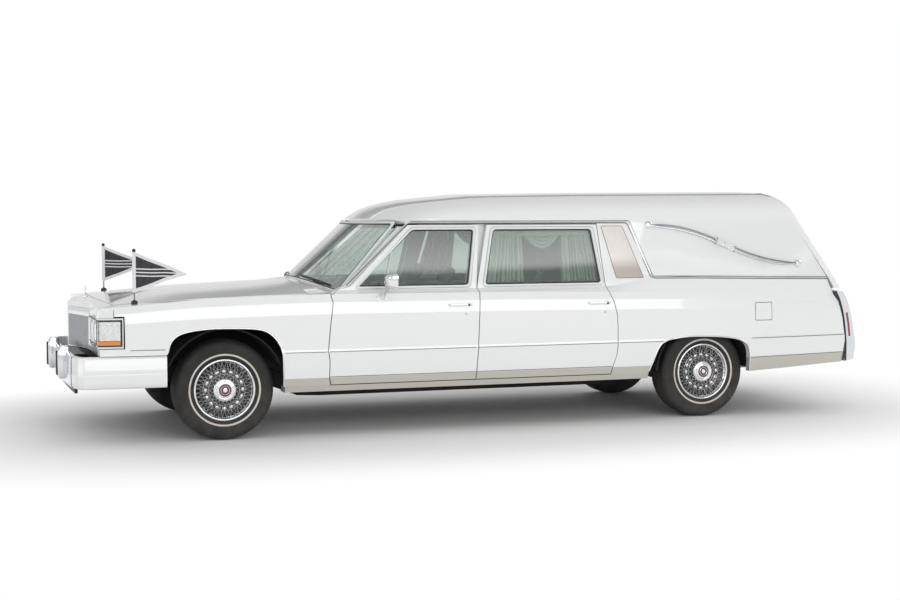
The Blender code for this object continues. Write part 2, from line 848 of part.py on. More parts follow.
def side_shape():
    """One body side: sill and quarter panel fused to the door frame behind the doors."""
    def wall(x):
        return float(np.interp(x, (REAR_AXLE + 0.62, REAR_AXLE + 0.69), (QUARTER_WALL, SILL_WALL)))
    quarter = sheet(
        on_side(quarter_outline()),
        lambda x, level: skin(x, level),
        lambda x, level: skin(x, level, wall(x)),
        u_lines=station_lines(REAR_AXLE - 1.2, -0.4) + [REAR_AXLE + x for x in QUARTER_LINES],
        v_lines=SIDE_LEVELS,
    )
    return joined([quarter, ring_shape()] + [door_stop(x) for x in DOOR_STOPS])


def fender_point(x, level, depth=0.0):
    """A point of the front fender: the side up to the shoulder, then the top inwards."""
    if level <= SHOULDER_LEVEL:
        px, py, pz = skin(x, level, depth)
        return (px, py, pz - depth * max(level - 0.90, 0.0) / 0.085)
    share = min((level - SHOULDER_LEVEL) / FENDER_REACH, 1.0)
    edge = side_half(x, SHOULDER_LEVEL)
    y = edge + (HOOD_HALF - edge) * share - depth * (1 - share)
    z = side_height(x, SHOULDER_LEVEL) * (1 - share) + table(HOOD_SIDE, x) * share
    return (x, y, z + 0.006 * math.sin(math.pi * share) - depth)


def fender_shape():
    """Front fender with its wheel arch and the notch of the wrapped lamp."""
    arch = (
        (0.417, BUMPER_TOP + 0.004),
        (0.396, 0.613),
        (0.372, 0.690),
        (0.318, 0.736),
        (0.228, 0.760),
        (0.096, 0.772),
        (-0.056, 0.771),
        (-0.178, 0.765),
        (-0.258, 0.751),
        (-0.320, 0.712),
        (-0.363, 0.656),
        (-0.387, 0.588),
        (-0.396, 0.453),
        (-0.396, SILL_TOP + SEAT_GAP),
    )
    top = SHOULDER_LEVEL + FENDER_REACH
    outline = on_side(
        [(0.838, BUMPER_TOP + 0.004)]
        + smoothed(arch)
        + [(x + EDGE_GAP, z) for x, z in ((-0.729, SILL_TOP + SEAT_GAP),) + DOOR_FRONT[1:]]
    )
    outline += [(-0.728, SHOULDER_LEVEL + 0.006), (-0.728, top), (FENDER_FRONT, top)]
    notch = [(FENDER_FRONT, 0.915), (FENDER_FRONT, 0.866), (0.674, 0.866), (0.674, 0.650), (0.838, 0.650)]
    outline += on_side(notch)
    return sheet(
        outline,
        fender_point,
        lambda x, level: fender_point(x, level, FENDER_WALL),
        u_lines=(-0.55, -0.30, 0.17, 0.40, 0.57),
        v_lines=SIDE_LEVELS[:7] + (SHOULDER_LEVEL + FENDER_REACH / 2,),
    )


def top_panel(outline, wall, u_lines, v_lines=(-0.6, -0.4, -0.2, 0.0, 0.2, 0.4, 0.6)):
    """A panel on the hood surface, cut to a plan outline."""
    return sheet(
        outline,
        lambda x, y: (x, y, top_height(x, y)),
        lambda x, y: (x, y, top_height(x, y) - wall),
        u_lines=u_lines,
        v_lines=v_lines,
    )


def across(station, half, steps=8, reverse=False):
    """Plan points from right to left along a curve of stations."""
    points = [(station(half * t / steps), half * t / steps) for t in range(-steps, steps + 1)]
    return list(reversed(points)) if reverse else points


def hood_front(y):
    """Station of the joint between hood and nose panel."""
    return HOOD_FRONT + (HOOD_FRONT_SIDE - HOOD_FRONT) * (y / HOOD_HALF) ** 2


def nose_edge(y):
    """Station of the nose, a shallow prow over the grille and straight over the lamps."""
    prow = (NOSE_TIP - LAMP_FACE) * max(0.0, 1 - abs(y) / GRILLE_HALF)
    return LAMP_FACE + prow


def hood_shape():
    """Hood panel between the fenders."""
    half = HOOD_HALF - SHUT_GAP
    outline = across(lambda y: hood_front(y) - EDGE_GAP, half)
    outline += [(COWL_JOINT + EDGE_GAP, half), (COWL_JOINT + EDGE_GAP, -half)]
    return top_panel(outline, HOOD_WALL, (-0.515, -0.25, 0.007, 0.246, 0.514, 0.70))


def nose_height(x, y):
    """Height of the nose panel: the hood's surface, falling to the shoulder outside the hood."""
    edge = side_half(x, SHOULDER_LEVEL)
    if abs(y) <= HOOD_HALF:
        return top_height(x, y)
    share = min((abs(y) - HOOD_HALF) / (edge - HOOD_HALF), 1.0)
    level = table(HOOD_SIDE, x) * (1 - share) + side_height(x, SHOULDER_LEVEL) * share
    return level + 0.006 * math.sin(math.pi * share)


def nose_rim(joint):
    """Plan of the nose's edge on the left, from the grille round the lamp's corner to a station."""
    corner = ((0.0, 0.868), (-0.005, 0.888), (-0.018, 0.899), (-0.050, 0.905))
    rim = [(LAMP_FACE, GRILLE_HALF + SEAT_GAP), (LAMP_FACE, 0.70)]
    rim += [(LAMP_FACE + x, y) for x, y in corner]
    return rim + [(joint, side_half(joint, SHOULDER_LEVEL) - SEAT_GAP)]


def skirt(path, foot, lean):
    """A wall under the nose panel's edge that leans out towards its foot and ends inside the panel.

    The rise counts 0 at the foot and 1 at the panel's underside."""
    at = beside(path)
    last = len(path) - 1
    root = 1.2

    def point(u, rise, depth):
        x, y, _ = at(u, 0.0, BROW_INSET)
        under = nose_height(x, y) - NOSE_WALL
        if rise > 1.0:
            return at(u, under + NOSE_WALL * 0.5 * (rise - 1) / (root - 1), BROW_INSET + depth)
        return at(u, foot + (under - foot) * rise, BROW_INSET + depth - lean(u) * (1 - rise))
    return sheet(
        [(0.0, 0.0), (last, 0.0), (last, root), (0.0, root)],
        lambda u, rise: point(u, rise, 0.0),
        lambda u, rise: point(u, rise, BROW_WALL),
        u_lines=range(1, last),
        v_lines=(1.0,),
    )


def nose_shape():
    """Painted nose panel between the hood and the fenders, with brows down to lamps and grille."""
    joint = FENDER_FRONT + SEAT_GAP
    rim = nose_rim(joint)
    prow = [(nose_edge(y), y) for y in (-GRILLE_HALF / 2, 0.0, GRILLE_HALF / 2)]
    outline = [(x, -y) for x, y in reversed(rim)] + prow + rim
    outline += [(joint, HOOD_HALF)]
    outline += across(lambda y: hood_front(y) + EDGE_GAP, HOOD_HALF - SHUT_GAP, reverse=True)
    outline += [(joint, -HOOD_HALF)]
    panel = sheet(
        outline,
        lambda x, y: (x, y, nose_height(x, y)),
        lambda x, y: (x, y, nose_height(x, y) - NOSE_WALL),
        v_lines=(-0.87, -HOOD_HALF, -GRILLE_HALF, 0.0, GRILLE_HALF, HOOD_HALF, 0.87),
    )
    last = len(rim) - 1

    def lean(u):
        return BROW_LEAN * min(max((u - 1) / (last - 2), 0.0), 1.0)
    brow = skirt(nose_rim(joint + BROW_START), LAMP_TOP + SEAT_GAP, lean)
    half = GRILLE_HALF - SEAT_GAP
    front = [(nose_edge(y), y) for y in (-half, -half / 2, 0.0, half / 2, half)]
    header = skirt(front, HEADER_TOP + SEAT_GAP, lambda u: 0.0)
    return joined([panel, brow, mirrored(brow), header])


def cowl_shape():
    """Cowl panel between the hood and the windshield."""
    half = HOOD_HALF - SEAT_GAP
    inner = 0.752
    outline = across(lambda y: SHIELD_BASE[0] - sweep_back(y) + PANE_GAP, inner)
    outline += [(-0.680, inner), (-0.680, half), (COWL_JOINT - EDGE_GAP, half)]
    outline += [(COWL_JOINT - EDGE_GAP, -half), (-0.680, -half), (-0.680, -inner)]
    return top_panel(outline, 0.02, (-0.70, -0.76))


def shield_shape():
    """Curved windshield."""
    half_base, half_top = 0.752, 0.690
    steps = 8
    outline = [(half_base * t / steps, 0.0) for t in range(-steps, steps + 1)]
    outline += [(half_top * t / steps, 0.985) for t in range(steps, -steps - 1, -1)]
    return sheet(
        outline,
        lambda y, rise: shield_point(y, rise),
        lambda y, rise: shield_point(y, rise, GLASS_WALL * 1.6),
        u_lines=(-0.6, -0.4, -0.2, 0.0, 0.2, 0.4, 0.6),
    )


def roof_shape():
    """Roof shell: the high crown, the header and the closed rear quarters."""
    arounds = (1.0, 0.9, 0.78, 0.62, 0.45, 0.25)

    def front(around):
        y = roof_point(-1.5, around)[1]
        return -1.155 - sweep_back(y)
    foot = 2.0 - 0.008
    left = [(SLANT_TOP_X - 0.002, 1.0), (SLANT_FOOT_X - 0.002, foot), (roof_end(foot), foot), (roof_end(1.5), 1.5)]
    rear = [(roof_end(a), a) for a in arounds] + [(roof_end(0.0), 0.0)]
    rear += [(roof_end(-a), -a) for a in reversed(arounds)]
    head = [(front(-a), -a) for a in arounds] + [(front(0.0), 0.0)]
    head += [(front(a), a) for a in reversed(arounds)]
    right = [(x, -a) for x, a in reversed(left)]
    return sheet(
        left + rear + right + head,
        roof_point,
        lambda x, around: roof_point(x, around, ROOF_WALL),
        u_lines=(REAR_AXLE - 0.55, REAR_AXLE, REAR_AXLE + 0.44, REAR_AXLE + 0.60, -2.77, -2.2, -1.93, -1.65, -1.50, -1.40, -1.30, -1.22),
        v_lines=arounds + tuple(-a for a in arounds) + (0.0,),
    )


def tail_edge():
    """Left half of the tail frame's outline, from the bottom to the top centre."""
    points = [(TAIL_HALF, 0.45), (TAIL_HALF, 0.950)]
    points.append((side_half(TAIL_KNEE_X, 0.985), 0.962))
    for around in (1.992, 1.5, 1.0, 0.9, 0.78, 0.62, 0.45, 0.25, 0.0):
        _, y, z = roof_point(REAR_AXLE - 0.9, around)
        points.append((y, z))
    return points


def tail_opening(margin):
    """Opening of the tail door, or the door inside it by a margin."""
    top = TAIL_DOOR_TOP - margin
    bottom = TAIL_DOOR_BOTTOM + margin
    half = TAIL_DOOR_HALF - margin
    top_half = TAIL_DOOR_TOP_HALF - margin
    corners = [(-half, bottom), (half, bottom), (half, TAIL_KNEE), (top_half, top), (-top_half, top)]
    return rounded(corners + [(-half, TAIL_KNEE)], 0.06)


def tail_panel(outline, holes, near, far, narrowing=0.0):
    """A panel between two depths under the tail surface. The narrowing draws its
    inner face in, so that a door swings out past its frame."""
    def at(y, z, depth):
        return (tail_x(y, z) + depth, y * (1.0 - narrowing * depth / TAIL_WALL), z)
    return sheet(
        outline,
        lambda y, z: at(y, z, near),
        lambda y, z: at(y, z, far),
        holes=holes,
        u_lines=(-0.5, -0.25, 0.0, 0.25, 0.5),
        v_lines=(TAIL_FOOT, TAIL_KNEE),
    )


def tail_frame_shape():
    """Frame at the rear end round the tail door."""
    left = tail_edge()
    right = [(-y, z) for y, z in reversed(left[:-1])]
    panel = tail_panel(left + right, [tail_opening(0.0)], 0.0, TAIL_WALL)
    foot = [(-TAIL_DOOR_HALF - y, z) for y, z in ((0.030, 0.80), (0.006, 0.80), (0.006, 0.84), (0.030, 0.84))]
    rest = [(-TAIL_DOOR_HALF - y, z) for y, z in ((0.030, 0.80), (-0.060, 0.80), (-0.060, 0.84), (0.030, 0.84))]
    depth = TAIL_WALL + 0.020
    stop = [tail_panel(foot, [], TAIL_WALL - 0.02, depth), tail_panel(rest, [], TAIL_WALL + TAIL_REST, depth)]
    return joined([panel] + stop)


def tail_window(margin):
    """Window of the tail door."""
    corners = [(-0.60, 1.08), (0.60, 1.08), (0.52, TAIL_DOOR_TOP - 0.08), (-0.52, TAIL_DOOR_TOP - 0.08)]
    outline = rounded(corners, 0.05)
    return inset(outline, margin) if margin else outline


# Front and rear ends

def beside(path):
    """A point rule beside a plan path: u counts along its points, inward is to its left."""
    points = [Vector(p) for p in path]
    normals = []
    for i in range(len(points)):
        before = points[i] - points[max(i - 1, 0)]
        after = points[min(i + 1, len(points) - 1)] - points[i]
        along = (before.normalized() + after.normalized()).normalized()
        normals.append(Vector((-along.y, along.x)))

    def at(u, z, inward):
        i = min(int(u), len(points) - 2)
        t = u - i
        point = points[i].lerp(points[i + 1], t)
        normal = normals[i].lerp(normals[i + 1], t).normalized()
        point = point + normal * inward
        return (point.x, point.y, z)
    return at


def band(path, depth):
    """Outer and inner surface of a wall that follows a plan path."""
    at = beside(path)
    return (lambda u, z: at(u, z, 0.0)), (lambda u, z: at(u, z, depth))


def band_shape(path, depth, low, high, holes=()):
    """A wall along a plan path between two heights."""
    last = len(path) - 1
    outer, inner = band(path, depth)
    outline = [(0.0, low), (last, low), (last, high), (0.0, high)]
    return sheet(outline, outer, inner, holes, u_lines=range(1, last))


def grille_shape():
    """Prow grille: a plain header over rows of tall slots that leave upright bars."""
    half = GRILLE_HALF - SEAT_GAP
    edge = LAMP_FACE + 0.002
    path = [(edge, -half), (NOSE_TIP, 0.0), (edge, half)]
    slots = []
    rows = ((0.622, 0.718), (0.728, 0.822))
    columns = 12
    for side in (0, 1):
        for column in range(columns):
            start = side + 0.03 + 0.94 * column / columns
            end = start + 0.94 * 0.62 / columns
            for low, high in rows:
                slots.append([(start, low), (end, low), (end, high), (start, high)])
    return band_shape(path, 0.03, 0.605, HEADER_TOP, slots)


def lamp_shape():
    """Left headlamp unit, wrapped round the corner to the side lamp."""
    corner = (LAMP_FACE, 0.925)
    path = [
        (LAMP_FACE, GRILLE_HALF),
        (LAMP_FACE, 0.70),
        (LAMP_FACE, 0.90),
        (LAMP_FACE - 0.008, corner[1] - 0.004),
        (0.76, 0.938),
        (0.684, 0.9455),
    ]
    return band_shape(path, 0.055, LAMP_BOTTOM, LAMP_TOP)


def bumper_path():
    """Plan of the front bumper's outer face, right to left."""
    left = [
        (FRONT_OVERHANG - 0.040, 0.0),
        (FRONT_OVERHANG - 0.043, 0.38),
        (FRONT_OVERHANG - 0.055, 0.76),
        (FRONT_OVERHANG - 0.085, 0.88),
        (FRONT_OVERHANG - 0.135, 0.935),
        (0.60, 0.950),
        (0.400, 0.955),
    ]
    return [(x, -y) for x, y in reversed(left[1:])] + left


def front_bumper_shape():
    """Front bumper that wraps to the wheel arches, with two guards."""
    bar = band_shape(bumper_path(), BUMPER_WALL, 0.385, BUMPER_TOP)
    guards = []
    for y in (-0.38, 0.38):
        low = (FRONT_OVERHANG - 0.075, y - 0.045, 0.410)
        high = (FRONT_OVERHANG, y + 0.045, 0.640)
        guards.append(box(low, high))
    return joined([bar] + guards)


def rear_bumper_shape():
    """Rear bumper between the tail lamps, bowed a little."""
    end = TAIL_LAMP_INNER - SEAT_GAP
    left = [(TAIL + 0.02, end), (TAIL + 0.02, end - 0.04), (TAIL + 0.004, 0.40)]
    path = left + [(TAIL, 0.0)] + [(x, -y) for x, y in reversed(left)]
    return band_shape(path, 0.07, 0.415, BUMPER_TOP)


def tail_lamp_shape():
    """Upright tail lamp unit at the left corner."""
    outline = [
        (-1.222, 0.390),
        (-1.221, 0.552),
        (-1.199, 0.729),
        (-1.165, 0.856),
        (-1.122, 0.945),
        (-1.189, 0.937),
        (-1.235, 0.860),
        (-1.273, 0.727),
        (-1.304, 0.572),
        (-1.309, 0.505),
        (-1.291, 0.404),
    ]
    outline = [(REAR_AXLE + x, z) for x, z in outline]
    return slab(outline, "Y", TAIL_LAMP_INNER, TAIL_LAMP_OUTER)


def landau_shape():
    """S-shaped landau bar on the left rear quarter: two rods, a block and two knobs."""
    start = (REAR_AXLE + 0.424, DRIP_HEIGHT - 0.014)
    end = (REAR_AXLE - 0.834, 1.154)
    rods = []
    for shift in (-0.011, 0.011):
        path = []
        for k in range(15):
            t = k / 14
            x = start[0] + (end[0] - start[0]) * t
            z = start[1] + (end[1] - start[1]) * t
            z += -0.040 * math.sin(2 * math.pi * t) + shift * (1 - abs(2 * t - 1) ** 6)
            level = side_level(x, z)
            path.append((x, side_half(x, level) + 0.016, z))
        rods.append(rod(path, 0.0065, 6))
    middle_x = (start[0] + end[0]) / 2
    middle_z = (start[1] + end[1]) / 2
    surface = side_half(middle_x, side_level(middle_x, middle_z))
    block = box((middle_x - 0.075, surface + 0.006, middle_z - 0.024),
                (middle_x + 0.075, surface + 0.026, middle_z + 0.024))
    knobs = []
    for x, z in (start, end):
        surface = side_half(x, side_level(x, z))
        knobs.append(turned([(0.0, 0.006), (0.020, 0.006), (0.024, 0.016), (0.014, 0.028), (0.0, 0.030)],
                            (x, surface, z), "Y", 12))
    return joined([block] + rods + knobs)


def mirror_shape():
    """Left door mirror: a rectangular head on a short stem and foot."""
    patch = [(-1.150, 0.930), (-1.050, 0.930), (-1.060, 0.970), (-1.140, 0.970)]
    foot = sheet(patch, lambda x, level: skin(x, level, -0.024), lambda x, level: skin(x, level, -0.0008),
                 v_lines=(0.95,))
    stem = rod([(-1.10, 0.962, 0.955), (-1.115, 0.990, 1.000), (-1.125, 1.02, 1.060)], 0.013, 8)
    outline = rounded([(0.985, 1.030), (1.125, 1.030), (1.125, 1.130), (0.985, 1.130)], 0.02)
    head = slab(outline, "X", -1.160, -1.095)
    return joined([foot, stem, head])


def flag_staff_shape(x, y, foot, top):
    """Flag staff with a round base and a ball on its tip."""
    profile = [(0.0, 0.0), (0.022, 0.0), (0.022, 0.012), (STAFF_RADIUS, 0.020), (STAFF_RADIUS, top - foot - 0.016)]
    profile += [(0.011, top - foot - 0.008), (0.0, top - foot)]
    return turned(profile, (x, y, foot), "Z", 12)


def pennant_shape(x, y, top):
    """Triangular pennant, as a plain thin solid behind its staff."""
    hoist, length = 0.270, 0.360
    edge = x - STAFF_RADIUS - SEAT_GAP
    outline = [(edge, top - hoist), (edge, top), (edge - length, top - 0.55 * hoist)]
    return slab(outline, "Y", y - 0.003, y + 0.003)


# Running gear

def tyre_shape(centre):
    """A tyre of the real section, with a rounded tread and bulged walls."""
    half = TYRE_WIDTH / 2
    left = [
        (RIM_RADIUS + SEAT_GAP, half * 0.72),
        (RIM_RADIUS + 0.012, half * 0.80),
        (RIM_RADIUS + 0.062, half),
        (TYRE_RADIUS - 0.040, half * 0.97),
        (TYRE_RADIUS - 0.012, half * 0.82),
        (TYRE_RADIUS, half * 0.62),
    ]
    profile = left + [(r, -y) for r, y in reversed(left)]
    return turned(profile, centre, "Y", WHEEL_STEPS)


def wheel_shape(centre, side):
    """Rim with its dished wire cover; side is +1 on the left."""
    half = TYRE_WIDTH / 2
    profile = [
        (0.0, half * 0.40),
        (HUB_RADIUS, half * 0.40),
        (RIM_RADIUS - RIM_WALL - 0.008, half * 0.30),
        (RIM_RADIUS - RIM_WALL, -half * 0.80),
        (RIM_RADIUS, -half * 0.80),
        (RIM_RADIUS, half * 0.88),
        (COVER_RADIUS, half * 0.90),
        (COVER_RADIUS, half * 0.96),
        (COVER_RADIUS - 0.012, half * 1.02),
        (COVER_RADIUS - 0.030, half * 0.80),
        (HUB_RADIUS + 0.012, half * 0.62),
        (HUB_RADIUS, half * 0.95),
        (HUB_RADIUS * 0.55, half * 1.05),
        (0.0, half * 1.07),
    ]
    return turned([(r, side * y) for r, y in profile], centre, "Y", WHEEL_STEPS)


def knuckle_shape(side):
    """Steering knuckle: the kingpin post, the spindle and the brake drum."""
    y = KINGPIN_Y * side
    rise = KINGPIN_RISE - ARM_WALL / 2 - HUB_GAP
    post = rod([(0, y, TYRE_RADIUS - rise), (0, y, TYRE_RADIUS + rise)], 0.022, 12)
    end = FRONT_TRACK_HALF + TYRE_WIDTH / 2 * 0.40 - HUB_GAP
    spindle = rod([(0, y - 0.015 * side, TYRE_RADIUS), (0, end * side, TYRE_RADIUS)], 0.030, 12)
    drum = turned([(0.0, 0.0), (0.128, 0.0), (0.128, 0.040), (0.0, 0.040)],
                  (0, (KINGPIN_Y + 0.036) * side - (0.040 if side < 0 else 0.0), TYRE_RADIUS), "Y", 24)
    return joined([post, spindle, drum])


def rail_y(x):
    """Distance of the frame rail from the centre line."""
    return float(np.interp(x, (REAR_AXLE - 0.3, REAR_AXLE + 0.6, -0.75, -0.50), (0.48, 0.50, 0.50, 0.40)))


def rail_shape(side):
    """One frame rail with its kick-ups over both axles."""
    top = [
        (RAIL_FRONT, 0.500),
        (0.690, 0.500),
        (0.300, 0.480),
        (-0.300, 0.480),
        (-0.620, FLOOR_HEIGHT - SEAT_GAP),
        (REAR_AXLE + 0.620, FLOOR_HEIGHT - SEAT_GAP),
        (REAR_AXLE + 0.340, REAR_FLOOR - SEAT_GAP),
        (REAR_AXLE - 1.100, REAR_FLOOR - SEAT_GAP),
    ]
    bottom = [(x + 0.02 * n, z - RAIL_DEPTH) for n, (x, z) in zip((0, 0, 0, 1, 1, -1, 0, 0), top)]
    return sheet(
        top + list(reversed(bottom)),
        lambda x, z: (x, side * rail_y(x) + RAIL_HALF, z),
        lambda x, z: (x, side * rail_y(x) - RAIL_HALF, z),
        u_lines=(-0.50, -0.75, REAR_AXLE + 0.60, REAR_AXLE - 0.30),
    )


def frame_shape():
    """Perimeter frame: rails, crossmembers, front arms and bumper brackets."""
    parts = [rail_shape(1.0), rail_shape(-1.0)]
    members = (  # station, half length along the car, bottom, top, half width
        (0.0, 0.08, 0.225, 0.378, 0.42),
        (0.62, 0.04, 0.380, 0.450, 0.42),
        (-1.05, 0.05, 0.250, 0.300, 0.52),
        (-1.95, 0.04, MEMBER_BOTTOM, 0.292, 0.52),
        (REAR_AXLE + 0.75, 0.04, MEMBER_BOTTOM, 0.292, 0.52),
        (REAR_AXLE + 0.22, 0.04, 0.540, 0.610, 0.50),
        (REAR_AXLE - 1.06, 0.03, 0.540, 0.610, 0.50),
    )
    for x, length, low, high, half in members:
        parts.append(box((x - length, -half, low), (x + length, half, high)))
    for side in (-1.0, 1.0):
        for z, root in ((TYRE_RADIUS - KINGPIN_RISE, 0.40), (TYRE_RADIUS + KINGPIN_RISE, 0.40)):
            tip = KINGPIN_Y
            outline = [(-0.11, side * root), (-0.045, side * 0.60), (-0.024, side * tip), (0.0, side * (tip + 0.022)),
                       (0.024, side * tip), (0.045, side * 0.60), (0.11, side * root)]
            parts.append(slab(outline, "Z", z - ARM_WALL / 2, z + ARM_WALL / 2))
    return joined(parts)


def floor_z(x, y):
    """Height of the floor, with its tunnel in front and the kick-up behind."""
    base = float(np.interp(x, (REAR_AXLE + 0.40, REAR_AXLE + 0.66), (REAR_FLOOR, FLOOR_HEIGHT)))
    lift = float(np.interp(x, (REAR_AXLE + 0.40, REAR_AXLE + 0.66, -1.75, -1.35), (0.0, SHAFT_RISE, SHAFT_RISE, TUNNEL_RISE)))
    return base + lift * float(np.interp(abs(y), (0.12, 0.19), (1.0, 0.0)))


def underbody_shape():
    """Floor, tunnel, firewall, front aprons and the four wheel housings."""
    half = side_half(-1.5, FLOOR_HEIGHT) - DOOR_WALL - RING_GAP - RING_WALL - SEAT_GAP
    rear_half = WHEELHOUSE_INNER + WHEELHOUSE_WALL / 2
    front_edge = FIREWALL_X - 0.004
    outline = [
        (front_edge, -half),
        (front_edge, half),
        (REAR_AXLE + 0.48, half),
        (REAR_AXLE + 0.48, rear_half),
        (REAR_AXLE - 0.46, rear_half),
        (REAR_AXLE - 0.46, 0.77),
        (REAR_AXLE - 1.12, 0.77),
        (REAR_AXLE - 1.12, -0.77),
        (REAR_AXLE - 0.46, -0.77),
        (REAR_AXLE - 0.46, -rear_half),
        (REAR_AXLE + 0.48, -rear_half),
        (REAR_AXLE + 0.48, -half),
    ]
    parts = [sheet(
        outline,
        lambda x, y: (x, y, floor_z(x, y) + FLOOR_WALL),
        lambda x, y: (x, y, floor_z(x, y)),
        u_lines=(-1.35, -1.75, REAR_AXLE + 0.40, REAR_AXLE + 0.66),
        v_lines=(-0.19, -0.12, 0.12, 0.19),
    )]
    wall = [(-0.77, 0.366), (-0.20, 0.366), (-0.125, 0.566), (0.125, 0.566), (0.20, 0.366), (0.77, 0.366)]
    wall += [(0.77, 0.945), (-0.77, 0.945)]
    parts.append(slab(wall, "X", FIREWALL_X - FIREWALL_WALL, FIREWALL_X))
    for side in (-1.0, 1.0):
        low_y, high_y = sorted((side * APRON_Y, side * (APRON_Y + 0.010)))
        apron = [(FIREWALL_X - 0.006, 0.520), (0.700, 0.520), (0.700, 0.880), (FIREWALL_X - 0.006, 0.930)]
        parts.append(slab(apron, "Y", low_y, high_y))
        inner, outer = APRON_Y + 0.005, 0.905
        liner = [(LINER_RADIUS, inner), (LINER_RADIUS + 0.010, inner), (LINER_RADIUS + 0.010, outer), (LINER_RADIUS, outer)]
        liner = [(r, side * y) for r, y in liner]
        parts.append(turned(liner, (0, 0, TYRE_RADIUS), "Y", 14, 24.0, 132.0))
        big = WHEELHOUSE_RADIUS
        cup = [(0.13, WHEELHOUSE_INNER), (big + WHEELHOUSE_WALL, WHEELHOUSE_INNER)]
        cup += [(big + WHEELHOUSE_WALL, WHEELHOUSE_OUTER), (big, WHEELHOUSE_OUTER)]
        cup += [(big, WHEELHOUSE_INNER + WHEELHOUSE_WALL), (0.13, WHEELHOUSE_INNER + WHEELHOUSE_WALL)]
        cup = [(r, side * y) for r, y in cup]
        parts.append(turned(cup, (REAR_AXLE, 0, TYRE_RADIUS), "Y", 16, 3.0, 174.0))
    return joined(parts)


def rear_axle_shape():
    """Live rear axle: tube, differential, drums, springs and the driveshaft."""
    end = REAR_TRACK_HALF + TYRE_WIDTH / 2 * 0.40 - HUB_GAP
    at = (REAR_AXLE, 0.0, TYRE_RADIUS)
    parts = [rod([(REAR_AXLE, -end, TYRE_RADIUS), (REAR_AXLE, end, TYRE_RADIUS)], 0.036, 12)]
    parts.append(turned([(0.0, -0.13), (0.07, -0.125), (0.125, -0.06), (0.135, 0.0), (0.115, 0.07), (0.06, 0.15), (0.0, 0.15)],
                        at, "X", 16))
    parts.append(rod([(REAR_AXLE + 0.05, 0.001, TYRE_RADIUS + 0.003), (-1.215, 0.001, 0.340)], 0.034, 11))
    spring_top = REAR_FLOOR - RAIL_DEPTH - 2 * SEAT_GAP
    for side in (-1.0, 1.0):
        spring = [(REAR_AXLE, side * 0.487, TYRE_RADIUS + 0.020), (REAR_AXLE, side * 0.487, spring_top)]
        parts.append(rod(spring, 0.046, 12))
    for side in (-1.0, 1.0):
        drum = [(0.0, side * 0.660), (0.125, side * 0.660), (0.125, side * 0.700), (0.0, side * 0.700)]
        parts.append(turned(drum, (REAR_AXLE, 0.0, TYRE_RADIUS), "Y", 22))
    return joined(parts)


def engine_shape():
    """Engine and gearbox as one plain mass at its real place."""
    block = box((-0.60, -0.27, 0.3783), (0.12, 0.27, 0.72))
    heads = box((-0.55, -0.34, 0.55), (0.05, 0.34, 0.78))
    cleaner = turned([(0.0, 0.0), (0.17, 0.0), (0.17, 0.07), (0.0, 0.08)], (-0.22, 0, 0.775), "Z", 20)
    gearbox = box((-1.21, -0.10, 0.3003), (-0.59, 0.10, 0.50))
    return joined([block, heads, cleaner, gearbox])


def exhaust_shape():
    """Exhaust pipe with its silencer, arched over the rear axle."""
    pipe_radius = 0.026
    low = MEMBER_BOTTOM - SEAT_GAP - pipe_radius * math.cos(math.radians(18))
    path = [(-0.62, -0.30, 0.30), (-0.85, -0.30, low), (REAR_AXLE + 0.55, -0.30, low),
            (REAR_AXLE + 0.30, -0.30, 0.460), (REAR_AXLE - 0.28, -0.30, 0.460),
            (REAR_AXLE - 0.42, -0.40, 0.420), (REAR_AXLE - 0.62, -0.585, 0.330), (REAR_AXLE - 1.22, -0.60, 0.310)]
    pipe = rod(path, pipe_radius, 10)
    silencer = turned([(0.0, -0.32), (0.05, -0.32), (0.078, -0.29), (0.078, 0.29), (0.05, 0.32), (0.0, 0.32)],
                      (-2.50, -0.30, 0.215), "X", 14)
    return joined([silencer, pipe])


def tank_shape():
    """Fuel tank between the rails, behind the axle."""
    outline = rounded([(-0.46, 0.30), (-0.96, 0.30), (-0.96, REAR_FLOOR - SEAT_GAP), (-0.46, REAR_FLOOR - SEAT_GAP)], 0.05)
    return slab([(REAR_AXLE + x, z) for x, z in outline], "Y", -0.34, 0.34)


def radiator_shape():
    """Radiator and its support, which carries the nose, the lamps and the grille."""
    front = LAMP_FACE - 0.055 - SEAT_GAP
    plan = [(0.715, -0.45), (0.725, -0.875), (front, -0.875), (front, 0.875), (0.725, 0.875), (0.715, 0.45)]
    parts = [slab(plan, "Z", 0.5003, 0.845)]
    for y in (-0.60, 0.60):
        parts.append(box((0.772, y - 0.03, 0.80), (front - 0.001, y + 0.03, 0.9160)))
    for y in (-0.30, 0.30):
        stop_front, stop_half = 0.760, 0.012
        under_hood = top_height(stop_front, abs(y) + stop_half) - HOOD_WALL - SEAT_GAP
        parts.append(box((0.735, y - stop_half, 0.80), (stop_front, y + stop_half, under_hood)))
    return joined(parts)


# Cabin and load space

